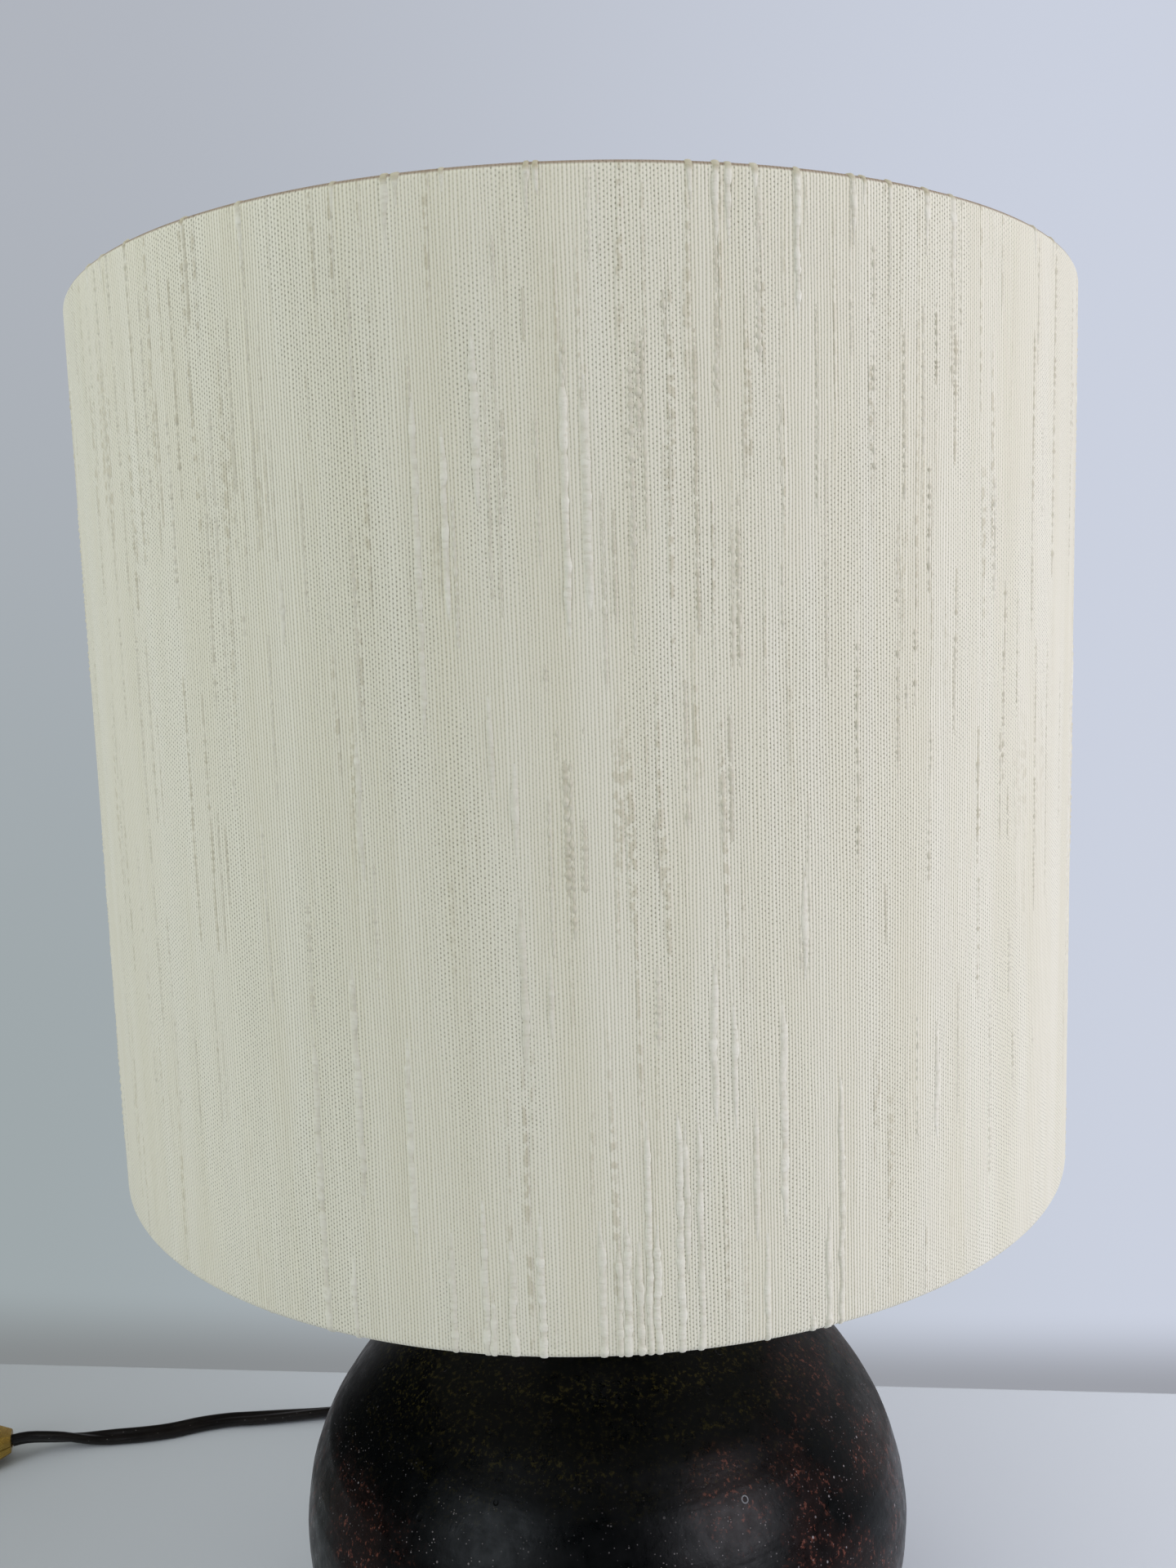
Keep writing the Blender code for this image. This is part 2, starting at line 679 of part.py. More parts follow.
def fabric_section():
    """A thin sheet that comes down the outside and rolls over both wire rings."""
    half = FABRIC_THICK / 2
    roll = (ROLL_RADIUS, ROLL_RADIUS)
    low_turn = arc((RING_RADIUS, BOTTOM_RING_Z), roll, 0, -BOTTOM_HEM_TURN, HEM_STEPS)
    high_turn = arc((RING_RADIUS, TOP_RING_Z), roll, 0, TOP_HEM_TURN, HEM_STEPS)
    hem_end = (high_turn[-1][0], TOP_RING_Z - TOP_HEM_DEPTH)
    middle = low_turn[::-1] + high_turn + [hem_end]
    return sheet_section(middle, half)


def sheet_section(middle, half):
    """Both faces of a sheet whose middle line is given, as one closed section."""
    points = [Vector(p) for p in middle]
    left = []
    right = []
    for i, point in enumerate(points):
        ahead = (points[min(i + 1, len(points) - 1)] - point).normalized()
        behind = (point - points[max(i - 1, 0)]).normalized()
        along = (ahead + behind).normalized()
        lean = 1.0 if i in (0, len(points) - 1) else along.dot(behind)
        across = Vector((-along.y, along.x)) * half / lean
        left.append(tuple(point + across))
        right.append(tuple(point - across))
    return left + right[::-1]


def add_shade():
    turned("shade_fabric", fabric_section(), "shade_fabric", SHADE_STEPS)
    outer = SHADE_RADIUS - FABRIC_THICK - GAP
    inner = outer - LINER_THICK
    low = BOTTOM_RING_Z + ROLL_RADIUS
    high = TOP_RING_Z - ROLL_RADIUS
    section = [(inner, low), (outer, low), (outer, high), (inner, high)]
    turned("shade_liner", section, "shade_liner", SHADE_STEPS)
    wire = (RING_WIRE_RADIUS, RING_WIRE_RADIUS)
    for name, height in (("bottom_ring", BOTTOM_RING_Z), ("top_ring", TOP_RING_Z)):
        section = arc((RING_RADIUS, height), wire, 0, 2 * math.pi, WIRE_STEPS)
        turned(name, section[:-1], "white_wire", SHADE_STEPS)
    hub_outer = HUB_INNER_RADIUS + HUB_WIDTH
    high = HUB_Z + HUB_THICK
    section = [(HUB_INNER_RADIUS, HUB_Z), (hub_outer, HUB_Z), (hub_outer, high), (HUB_INNER_RADIUS, high)]
    turned("shade_hub", section, "white_wire", HOLDER_STEPS)
    start = hub_outer + GAP
    start_height = HUB_Z + HUB_THICK / 2
    end_height = BOTTOM_RING_Z + RING_WIRE_RADIUS + GAP + SPIDER_ARM_RADIUS
    heights = (start_height, start_height, end_height, end_height)
    for i in range(SPIDER_ARMS):
        outward = heading(SPIDER_FIRST_ARM + 2 * math.pi * i / SPIDER_ARMS)
        points = []
        for share, height in zip(SPIDER_BEND_SHARES, heights):
            reach = start + (RING_RADIUS - start) * share
            points.append(outward * reach + Vector((0, 0, height)))
        pipe(f"spider_arm_{i + 1}", points, SPIDER_ARM_RADIUS, "white_wire")


# The bulb


def bulb_glass_outline(inset):
    """From the neck inside the cap up to the crown, drawn in by an inset."""
    neck = BULB_CAP_RADIUS - BULB_CAP_WALL - GAP - inset
    centre = BULB_Z + BULB_LENGTH - BULB_RADIUS
    radius = BULB_RADIUS - inset
    low = BULB_Z + BULB_INSULATOR_HEIGHT + BULB_CAP_LENGTH / 2
    mouth = BULB_Z + BULB_INSULATOR_HEIGHT + BULB_CAP_LENGTH
    shoulder = (radius * math.cos(BULB_SHOULDER), centre + radius * math.sin(BULB_SHOULDER))
    slope = math.tan(math.pi / 2 + BULB_SHOULDER)
    corner_height = shoulder[1] - (shoulder[0] - neck) * slope
    throat = bow((neck, mouth), (neck, max(mouth, corner_height)), shoulder, BULB_THROAT_STEPS)
    crown = arc((0, centre), (radius, radius), BULB_SHOULDER, math.pi / 2, BULB_ARC_STEPS)
    crown[-1] = (0, centre + radius)
    return [(neck, low)] + throat + crown[1:]


def add_bulb():
    outside = bulb_glass_outline(0)
    inside = bulb_glass_outline(BULB_GLASS)
    turned("bulb_glass", outside[::-1] + inside, "bulb_glass", BULB_STEPS, ring=False)
    cap_low = BULB_Z + BULB_INSULATOR_HEIGHT
    cap_high = cap_low + BULB_CAP_LENGTH
    inner = BULB_CAP_RADIUS - BULB_CAP_WALL
    root = BULB_CAP_RADIUS - BULB_THREAD_DEPTH
    threads = []
    first = cap_low + BULB_THREAD_PITCH / 2
    for i in range(BULB_THREADS):
        base = first + i * BULB_THREAD_PITCH
        threads.append((root, base))
        threads.append((BULB_CAP_RADIUS, base + BULB_THREAD_PITCH / 2))
    threads.append((root, first + BULB_THREADS * BULB_THREAD_PITCH))
    section = [(inner, cap_low), (root, cap_low)] + threads + [(root, cap_high), (inner, cap_high)]
    turned("bulb_cap", section, "bulb_cap_metal", BULB_STEPS)
    edge = inner - GAP
    section = [
        (0, BULB_Z + BULB_CONTACT_THICK + GAP),
        (BULB_CONTACT_RADIUS, BULB_Z + BULB_CONTACT_THICK + GAP),
        (edge, cap_low - GAP),
        (edge, cap_low + BULB_CONTACT_THICK),
        (0, cap_low + BULB_CONTACT_THICK),
    ]
    turned("bulb_insulator", section, "black_glass", BULB_STEPS, ring=False)
    rim = BULB_CONTACT_RADIUS
    section = [(0, BULB_Z), (rim / 2, BULB_Z), (rim, BULB_Z + BULB_CONTACT_THICK / 2)]
    section += [(rim, BULB_Z + BULB_CONTACT_THICK), (0, BULB_Z + BULB_CONTACT_THICK)]
    turned("bulb_contact", section, "solder", SMALL_STEPS, ring=False)
    add_bulb_mount(cap_low)


def add_bulb_mount(cap_low):
    """The glass stem in the neck, and the wire that it holds."""
    flare = BULB_CAP_RADIUS - BULB_CAP_WALL - 2 * GAP - BULB_GLASS
    base = cap_low + BULB_CAP_LENGTH / 2
    top = base + STEM_HEIGHT
    section = [
        (0, base),
        (flare, base),
        (flare, base + BULB_GLASS),
        (STEM_RADIUS, base + flare),
        (STEM_RADIUS, top),
        (0, top),
    ]
    turned("bulb_stem", section, "bulb_glass", SMALL_STEPS, ring=False)
    start = top - STEM_RADIUS
    side = STEM_RADIUS + GAP + FILAMENT_WIRE
    rise = top + FILAMENT_RISE
    half = [(-side, 0, start - STEM_RADIUS), (-side, 0, start)]
    for across, deep in zip(FILAMENT_BOW_SHARES, FILAMENT_DEPTH_SHARES):
        half.append((-FILAMENT_SPAN * across, FILAMENT_SPAN * deep, rise))
    path = half + [(-x, y, z) for x, y, z in half[-2::-1]]
    pipe("bulb_filament", path, FILAMENT_WIRE, "tungsten")


# The cord from the lampholder to the switch


def sleeve_mouth():
    return ball_width_at(SLEEVE_HEIGHT, BALL_RADIUS, BALL_HALF_HEIGHT) + SLEEVE_LENGTH


def add_inner_cord():
    """The tapered sleeve in the ball's wall, and the cord from its mouth up into the lampholder."""
    flange = SLEEVE_ROOT_RADIUS + SLEEVE_FLANGE
    flange_face = sleeve_flange_face()
    flange_back = flange_face - SLEEVE_FLANGE_THICK
    bore = CORD_TUBE_RADIUS + GAP
    mouth = sleeve_mouth()
    outer_wall = mouth - SLEEVE_LENGTH
    section = [
        (bore, flange_back),
        (flange, flange_back),
        (flange, flange_face),
        (SLEEVE_ROOT_RADIUS, flange_face),
        (SLEEVE_ROOT_RADIUS, outer_wall),
        (SLEEVE_TIP_RADIUS, mouth),
        (bore, mouth),
    ]
    sleeve = turned("cord_sleeve", section, "cord_plastic", SMALL_STEPS)
    lay_along(sleeve, (0, 0, SLEEVE_HEIGHT), Vector((0, 1, 0)))
    pipe_bottom = CEILING_Z - GAP - WASHER_THICK - GAP - NUT_THICK - PIPE_TAIL
    route = [
        (0, mouth, SLEEVE_HEIGHT),
        (0, outer_wall, SLEEVE_HEIGHT),
        (0, flange_back, SLEEVE_HEIGHT),
        (0, flange_back - CORD_STEP, SLEEVE_HEIGHT),
        (0, FLOOR_HOLE_RADIUS, SLEEVE_HEIGHT + CORD_STEP),
        (0, CORD_WIDTH, (SLEEVE_HEIGHT + pipe_bottom) / 2),
        (0, 0, pipe_bottom),
        (0, 0, HOLDER_Z + HOLDER_BOSS_HEIGHT - CORD_STEP),
        (0, 0, HOLDER_Z + HOLDER_BOSS_HEIGHT),
    ]
    points = smooth_route(route, CORD_STEP)
    pipe("inner_cord", points, CORD_TUBE_RADIUS, "cord_plastic")
    return route_length(points)


def lead_route():
    """From the sleeve's mouth down to the table and along the back, then left to the switch's nose."""
    mouth = sleeve_mouth() + GAP
    end = Vector((*SWITCH_NOSE, SWITCH_AXIS_Z)) - heading(SWITCH_HEADING) * GAP
    before_end = end - heading(SWITCH_HEADING) * CORD_WIDTH
    return [
        (0, mouth, SLEEVE_HEIGHT),
        (0, mouth + CORD_WIDTH, SLEEVE_HEIGHT),
        (-0.0020, 0.1045, 0.0148),
        (-0.0080, 0.1145, 0.0095),
        (-0.0190, 0.1220, 0.0050),
        (-0.0350, 0.1263, 0.0028),
        (-0.0560, 0.1262, CORD_Z),
        (-0.0803, 0.1231, CORD_Z),
        (-0.1077, 0.1203, CORD_Z),
        (-0.1325, 0.1180, CORD_Z),
        (-0.1531, 0.1164, CORD_Z),
        (-0.1676, 0.1117, CORD_Z),
        (-0.1828, 0.1090, CORD_Z),
        (-0.1995, 0.1078, 0.0026),
        (-0.2114, 0.1055, 0.0050),
        tuple(before_end),
        tuple(end),
    ]


def coil_points():
    """The coil's turns: a layer that spirals in, a climb of half a turn, and a layer that spirals out."""
    half_build = COIL_TURNS * COIL_PITCH / 2
    inner = COIL_MEAN_RADIUS - half_build
    turns = 2 * COIL_TURNS
    count = round(turns * LOOP_POINTS)
    points = []
    for i in range(count + 1):
        turn = turns * i / count
        radius = inner + COIL_PITCH * abs(turn - COIL_TURNS)
        climb = min(1, max(0, (turn - COIL_TURNS) / CLIMB_TURNS + 0.5))
        angle = COIL_START + 2 * math.pi * turn
        lift = COIL_BASE_Z + COIL_LAYER * (1 - math.cos(math.pi * climb)) / 2
        points.append(Vector((*COIL_CENTRE, lift)) + heading(angle) * radius)
    start_along = (points[0] - points[1]).normalized()
    end_along = (points[-1] - points[-2]).normalized()
    straight = 2 * CORD_TUBE_RADIUS
    return [points[0] + start_along * straight] + points + [points[-1] + end_along * straight]


def coil_gap(points):
    """The least clear distance between the coil's tube and itself, away from neighbouring points."""
    least = math.inf
    apart = LOOP_POINTS // 2
    for i in range(len(points) - 1):
        for j in range(i + apart, len(points) - 1):
            a = (points[i] + points[i + 1]) / 2
            for b in (points[j], (points[j] + points[j + 1]) / 2):
                least = min(least, (a - b).length, (points[i] - b).length)
    return least - 2 * CORD_TUBE_RADIUS


def add_cord():
    """The lead to the switch, the tail, the coil and the end that goes to the plug."""
    lead = smooth_route(lead_route(), CORD_STEP)
    pipe("cord_lead", lead, CORD_TUBE_RADIUS, "cord_plastic")
    coil = coil_points()
    pipe("cord_coil", coil, CORD_TUBE_RADIUS, "cord_plastic", resolution=1)
    along = (coil[0] - coil[1]).normalized()
    tail_end = coil[0] + along * GAP
    tail_start = Vector((*SWITCH_NOSE, SWITCH_AXIS_Z)) + heading(SWITCH_HEADING) * (SWITCH_LENGTH + GAP)
    route = [
        tuple(tail_start),
        tuple(tail_start + heading(SWITCH_HEADING) * CORD_WIDTH),
        (-0.3053, 0.0752, 0.0045),
        (-0.3152, 0.0670, 0.0034),
        (-0.3230, 0.0555, 0.0034),
        (-0.3280, 0.0420, 0.0034),
        tuple(tail_end + along * CORD_WIDTH),
        tuple(tail_end),
    ]
    tail = smooth_route(route, CORD_STEP)
    pipe("cord_tail", tail, CORD_TUBE_RADIUS, "cord_plastic")
    leaving = (coil[-1] - coil[-2]).normalized()
    end_start = coil[-1] + leaving * GAP
    flat = Vector((leaving.x, leaving.y, 0)).normalized()
    plug_mouth = end_start + flat * CORD_END_LENGTH
    plug_mouth.z = PLUG_AXIS_Z
    end_route = [end_start, end_start + flat * CORD_WIDTH, plug_mouth - flat * CORD_WIDTH, plug_mouth]
    end = smooth_route([tuple(p) for p in end_route], CORD_STEP)
    pipe("cord_end", end, CORD_TUBE_RADIUS, "cord_plastic")
    add_tie()
    print("lead", round(route_length(lead), 4), "tail", round(route_length(tail), 4))
    print("coil", round(route_length(coil), 4), "end", round(route_length(end), 4))
    print("least gap of the coil to itself, mm:", round(coil_gap(coil) * 1000, 3))
    return plug_mouth + flat * GAP, math.atan2(flat.y, flat.x)


def add_tie():
    """A flat band round the coil's turns."""
    half_build = COIL_TURNS * COIL_PITCH / 2 + CORD_TUBE_RADIUS + GAP
    low = COIL_BASE_Z - CORD_TUBE_RADIUS - GAP
    high = COIL_BASE_Z + COIL_LAYER + CORD_TUBE_RADIUS + GAP
    middle = (low + high) / 2
    half_height = (high - low) / 2
    ease = CORD_TUBE_RADIUS
    frame = add_frame("tie_frame", (*COIL_CENTRE, 0), TIE_ANGLE)
    corners = ((1, 1), (-1, 1), (-1, -1), (1, -1))
    sections = []
    for i, (sx, sz) in enumerate(corners):
        for j in range(3):
            angle = math.pi / 4 * (1 + 2 * i) + math.pi / 4 * (j - 1)
            x = sx * (half_build - ease) + ease * math.cos(angle)
            z = sz * (half_height - ease) + ease * math.sin(angle)
            outward = (TIE_THICK * math.cos(angle), TIE_THICK * math.sin(angle))
            y = TIE_WIDTH / 2
            radius = COIL_MEAN_RADIUS + x
            sections.append(
                [
                    (radius, -y, middle + z),
                    (radius + outward[0], -y, middle + z + outward[1]),
                    (radius + outward[0], y, middle + z + outward[1]),
                    (radius, y, middle + z),
                ]
            )
    skinned("coil_tie", sections, "tie_plastic", ring=True, parent=frame)


# The switch on the cord, modelled about its own middle with +X along the cord


def switch_outline(inset, end_inset):
    """Sections of the switch's shell along X, drawn in by a wall: place, half width, half height."""
    half = SWITCH_LENGTH / 2
    width = SWITCH_WIDTH / 2
    place_shares = (-1.0, -0.85, -0.60, -0.35, 0.35, 0.60, 0.85, 1.0)
    width_shares = (0.38, 0.62, 0.90, 1.0, 1.0, 0.90, 0.62, 0.38)
    height_shares = (0.42, 0.58, 0.88, 1.0, 1.0, 0.88, 0.58, 0.42)
    reach = half - end_inset
    rows = []
    for place, w, h in zip(place_shares, width_shares, height_shares):
        x = max(-reach, min(reach, place * half))
        rows.append((x, width * w - inset, h, inset))
    return rows


def switch_section(x, half_width, height_share, inset, low_cut=None, high_cut=None):
    """One eight-sided section of the shell, or the part of it above or below the joint."""
    top = (SWITCH_HEIGHT * (1 - SWITCH_AXIS_SHARE)) * height_share - inset
    bottom = -(SWITCH_HEIGHT * SWITCH_AXIS_SHARE) * height_share + inset
    ease = SWITCH_CHAMFER_SHARE * SWITCH_WIDTH * height_share
    if low_cut is not None:
        return [
            (x, -half_width, low_cut),
            (x, half_width, low_cut),
            (x, half_width, top - ease),
            (x, half_width - ease, top),
            (x, -half_width + ease, top),
            (x, -half_width, top - ease),
        ]
    if high_cut is not None:
        return [
            (x, -half_width, high_cut),
            (x, -half_width, bottom + ease / 2),
            (x, -half_width + ease / 2, bottom),
            (x, half_width - ease / 2, bottom),
            (x, half_width, bottom + ease / 2),
            (x, half_width, high_cut),
        ]
    return [
        (x, -half_width, bottom + ease / 2),
        (x, -half_width + ease / 2, bottom),
        (x, half_width - ease / 2, bottom),
        (x, half_width, bottom + ease / 2),
        (x, half_width, top - ease),
        (x, half_width - ease, top),
        (x, -half_width + ease, top),
        (x, -half_width, top - ease),
    ]


def add_switch():
    centre = Vector((*SWITCH_NOSE, SWITCH_AXIS_Z)) + heading(SWITCH_HEADING) * SWITCH_LENGTH / 2
    frame = add_frame("switch_frame", centre, SWITCH_HEADING)
    joint = GAP / 2
    outer = switch_outline(0, 0)
    cover_sections = [switch_section(*row, low_cut=joint) for row in outer]
    base_sections = [switch_section(*row, high_cut=-joint) for row in outer]
    cover = skinned("switch_cover", cover_sections, "gold_lacquer", parent=frame)
    base = skinned("switch_base", base_sections, "gold_lacquer", parent=frame)
    cavity_rows = switch_outline(SWITCH_WALL, SWITCH_END_WALL)
    cavity = cutter("switch_cavity", skinned_mesh("switch_cavity", unique_rows(cavity_rows)), frame)
    leave_bosses(cavity, frame)
    for shell in (cover, base):
        boolean(shell, cavity)
    add_switch_screws(cover, base, frame)
    for side in (-1, 1):
        inner_end = SWITCH_LENGTH / 2 - SWITCH_END_WALL - WIRE_RADIUS
        outer_end = SWITCH_LENGTH / 2 + CUT_OVERRUN
        radius = SWITCH_BORE_RADIUS
        section = [(0, inner_end), (radius, inner_end), (radius, outer_end), (0, outer_end)]
        name = f"switch_bore_{'in' if side < 0 else 'out'}"
        bore = cutter(name, turned_mesh(name, section, SMALL_STEPS, ring=False), frame)
        lay_along(bore, (0, 0, 0), Vector((side, 0, 0)))
        for shell in (cover, base):
            boolean(shell, bore)
    add_rocker(cover, frame)
    add_switch_inside(frame)


def unique_rows(rows):
    """Sections from outline rows, without two at one place."""
    kept = []
    for row in rows:
        if not kept or row[0] - kept[-1][0] > GAP:
            kept.append(row)
    return [switch_section(*row) for row in kept]


def leave_bosses(cavity, frame):
    """Takes two columns out of the hollow, so that both shells keep a boss for each screw."""
    for number, side in ((1, -1), (2, 1)):
        name = f"switch_boss_{number}"
        half = SWITCH_HEIGHT
        section = [(0, -half), (SWITCH_BOSS_RADIUS, -half), (SWITCH_BOSS_RADIUS, half), (0, half)]
        column = cutter(name, turned_mesh(name, section, SMALL_STEPS, ring=False), frame)
        column.location = (side * SWITCH_SCREW_PLACE, 0, 0)
        boolean(cavity, column)


def add_switch_screws(cover, base, frame):
    """Two screws come up through the base into the bosses of the cover."""
    top = SWITCH_HEIGHT * (1 - SWITCH_AXIS_SHARE) * SCREW_DEPTH_SHARE
    bottom = -SWITCH_HEIGHT * SWITCH_AXIS_SHARE * SCREW_SEAT_SHARE
    hole = SWITCH_SCREW_RADIUS + GAP
    head = SWITCH_SCREW_HEAD + GAP
    seat = bottom + SWITCH_SCREW_HEAD_THICK + GAP
    for number, side in ((1, -1), (2, 1)):
        place = (side * SWITCH_SCREW_PLACE, 0, 0)
        name = f"switch_screw_hole_{number}"
        low = -SWITCH_HEIGHT
        section = [(0, low), (head, low), (head, seat), (hole, seat), (hole, top + GAP), (0, top + GAP)]
        drill = cutter(name, turned_mesh(name, section, SMALL_STEPS, ring=False), frame)
        drill.location = place
        for shell in (cover, base):
            boolean(shell, drill)
        section = [
            (0, seat - GAP - SWITCH_SCREW_HEAD_THICK),
            (SWITCH_SCREW_HEAD, seat - GAP - SWITCH_SCREW_HEAD_THICK),
            (SWITCH_SCREW_HEAD, seat - GAP),
            (SWITCH_SCREW_RADIUS, seat - GAP),
            (SWITCH_SCREW_RADIUS, top),
            (0, top),
        ]
        screw = turned(f"switch_screw_{number}", section, "steel", SMALL_STEPS, ring=False, parent=frame)
        screw.location = place


def rocker_skirt():
    """How far the rocker reaches below its pivot."""
    return ROCKER_PIN_RADIUS + GAP + ROCKER_SKIRT_WALL


def add_rocker(cover, frame):
    """The rocker on its pin, tipped to its resting side, in a window of the cover."""
    top = SWITCH_HEIGHT * (1 - SWITCH_AXIS_SHARE)
    pivot_z = top * ROCKER_PIVOT_SHARE
    pivot = add_frame("rocker_pivot", (0, 0, pivot_z), 0.0, frame)
    inner_half = SWITCH_WIDTH / 2 - SWITCH_WALL
    half_length = ROCKER_LENGTH / 2
    half_width = ROCKER_WIDTH / 2
    middle = top - pivot_z + ROCKER_PROUD
    horn = middle + ROCKER_PROUD
    skirt = -rocker_skirt()
    foot = half_length * ROCKER_SKIRT_SHARE
    sweep = half_length * ROCKER_SWEEP_SHARE
    sweep_z = middle + ROCKER_PROUD * ROCKER_SWEEP_RISE_SHARE
    outline = (
        (-half_length, horn),
        (-half_length, 0),
        (-foot, skirt),
        (foot, skirt),
        (half_length, 0),
        (half_length, horn),
        (sweep, sweep_z),
        (0, middle),
        (-sweep, sweep_z),
    )
    sections = [[(x, y, z) for x, z in outline] for y in (-half_width, half_width)]
    rocker = skinned("switch_rocker", sections, "gold_lacquer", parent=pivot)
    rocker.rotation_euler = (0, -ROCKER_TILT, 0)
    clear = ROCKER_PIN_RADIUS + GAP
    cut_half = half_width + CUT_OVERRUN
    section = [(0, -cut_half), (clear, -cut_half), (clear, cut_half), (0, cut_half)]
    hole_mesh = turned_mesh("rocker_pin_hole", section, SMALL_STEPS, ring=False)
    pin_hole = cutter("rocker_pin_hole", hole_mesh, pivot)
    lay_along(pin_hole, (0, 0, 0), Vector((0, 1, 0)))
    boolean(rocker, pin_hole)
    pin_half = inner_half + ROCKER_PIN_SEAT
    radius = ROCKER_PIN_RADIUS
    section = [(0, -pin_half), (radius, -pin_half), (radius, pin_half), (0, pin_half)]
    pin = turned("rocker_pin", section, "steel", SMALL_STEPS, ring=False, parent=frame)
    lay_along(pin, (0, 0, pivot_z), Vector((0, 1, 0)))
    seat_half = pin_half + GAP
    section = [(0, -seat_half), (clear, -seat_half), (clear, seat_half), (0, seat_half)]
    seat = cutter("rocker_pin_seat", turned_mesh("rocker_pin_seat", section, SMALL_STEPS, ring=False), frame)
    lay_along(seat, (0, 0, pivot_z), Vector((0, 1, 0)))
    boolean(cover, seat)
    swing = horn * math.sin(ROCKER_TILT)
    window_half = half_length + swing + 2 * GAP
    sections = box_sections(
        (-window_half, -half_width - GAP, pivot_z + clear),
        (window_half, half_width + GAP, top + CUT_OVERRUN),
    )
    window = cutter("rocker_window", skinned_mesh("rocker_window", sections), frame)
    boolean(cover, window)


def add_switch_inside(frame):
    """The bridge under the rocker, two fixed contacts that it joins when pressed, and three wires."""
    top = SWITCH_HEIGHT * (1 - SWITCH_AXIS_SHARE)
    pivot_z = top * ROCKER_PIVOT_SHARE
    pivot = bpy.data.objects["rocker_pivot"]
    start = BRIDGE_START
    end = start + BRIDGE_LENGTH
    high = -rocker_skirt() - GAP
    low = high - BRIDGE_THICK
    sections = box_sections((start, -BRIDGE_WIDTH / 2, low), (end, BRIDGE_WIDTH / 2, high))
    bridge = skinned("switch_bridge", sections, "brass", parent=pivot)
    bridge.rotation_euler = (0, -ROCKER_TILT, 0)
    contact_top = pivot_z + low * math.cos(ROCKER_TILT) - end * math.sin(ROCKER_TILT) - GAP
    floor = -SWITCH_HEIGHT * SWITCH_AXIS_SHARE + SWITCH_WALL + GAP
    half = CONTACT_BLOCK / 2
    offset = BRIDGE_WIDTH / 2 - half
    middle = (start + end) / 2
    for name, side in (("contact_in", -1), ("contact_out", 1)):
        sections = box_sections(
            (middle - half, side * offset - half, floor),
            (middle + half, side * offset + half, contact_top),
        )
        skinned(name, sections, "brass", parent=frame)
    add_switch_wires(frame, middle, half, offset, floor + WIRE_RADIUS)


def add_switch_wires(frame, middle, half, offset, low_z):
    """One wire that runs past the contacts, and two that end at them."""
    nose = SWITCH_LENGTH / 2 - 2 * GAP
    bore_end = SWITCH_LENGTH / 2 - SWITCH_END_WALL
    entry = WIRE_RADIUS + GAP / 2
    beside = SWITCH_BOSS_RADIUS + WIRE_RADIUS + 2 * GAP
    screw = SWITCH_SCREW_PLACE
    inner = (screw + ROCKER_LENGTH / 2) / 2
    past = BRIDGE_WIDTH / 2 + WIRE_RADIUS + 2 * GAP
    outer_half = [(nose, entry, 0), (bore_end, entry, 0), (screw + SWITCH_BOSS_RADIUS, beside, 0)]
    outer_half += [(screw, beside, 0), (inner, past, low_z)]
    through = [(-x, y, z) for x, y, z in outer_half] + outer_half[::-1]
    pipe("switch_wire_through", through, WIRE_RADIUS, "wire_blue", parent=frame)
    for name, side in (("switch_wire_in", -1), ("switch_wire_out", 1)):
        stop = middle + side * (half + GAP)
        y_end = side * offset
        route = [(side * x, -y, z) for x, y, z in outer_half]
        route += [(stop + side * WIRE_RADIUS, y_end, low_z), (stop, y_end, low_z)]
        pipe(name, route, WIRE_RADIUS, "wire_brown", parent=frame)


# The plug, modelled about the mouth of its boot with +X towards the pins


def plug_ring(x, half_width, half_thick):
    """A section of the plug's body: flat above and below, round at both sides."""
    side = half_width - half_thick
    radii = (half_thick, half_thick)
    quarter = math.pi / 2
    right = arc((side, 0), radii, -quarter, quarter, PLUG_SIDE_STEPS)
    left = arc((-side, 0), radii, quarter, 3 * quarter, PLUG_SIDE_STEPS)
    return [(x, y, z) for y, z in right + left]


def add_plug(place, turn):
    frame = add_frame("plug_frame", place, turn)
    sections = []
    for along, size in zip(BOOT_PLACE_SHARES, BOOT_SIZE_SHARES):
        half_width = PLUG_BOOT_TIP_WIDTH / 2 * size
        half_thick = PLUG_BOOT_TIP_THICK / 2 * size
        sections.append(plug_ring(PLUG_BOOT * along, half_width, half_thick))
    for along, wide, thick in zip(BODY_PLACE_SHARES, BODY_WIDTH_SHARES, BODY_THICK_SHARES):
        x = PLUG_BOOT + PLUG_DEPTH * along
        sections.append(plug_ring(x, PLUG_WIDTH / 2 * wide, PLUG_THICK / 2 * thick))
    plug = skinned("plug_body", sections, "cord_plastic", parent=frame)
    face = PLUG_BOOT + PLUG_DEPTH
    for number, side in ((1, -1), (2, 1)):
        place = (face, side * PLUG_PIN_SPACING / 2, 0)
        name = f"pin_socket_{number}"
        clear = PLUG_PIN_RADIUS + GAP
        depth = -PLUG_PIN_SEAT - GAP
        section = [(0, depth), (clear, depth), (clear, CUT_OVERRUN), (0, CUT_OVERRUN)]
        socket = cutter(name, turned_mesh(name, section, SMALL_STEPS, ring=False), frame)
        lay_along(socket, place, Vector((1, 0, 0)))
        boolean(plug, socket)
        radius = PLUG_PIN_RADIUS
        shoulder = PLUG_PIN_LENGTH - radius
        section = [(0, -PLUG_PIN_SEAT), (radius, -PLUG_PIN_SEAT), (radius, shoulder)]
        section += arc((0, shoulder), (radius, radius), math.radians(30), math.radians(60), 1)
        section += [(0, PLUG_PIN_LENGTH)]
        pin = turned(f"plug_pin_{number}", section, "brass", SMALL_STEPS, ring=False, parent=frame)
        lay_along(pin, place, Vector((1, 0, 0)))


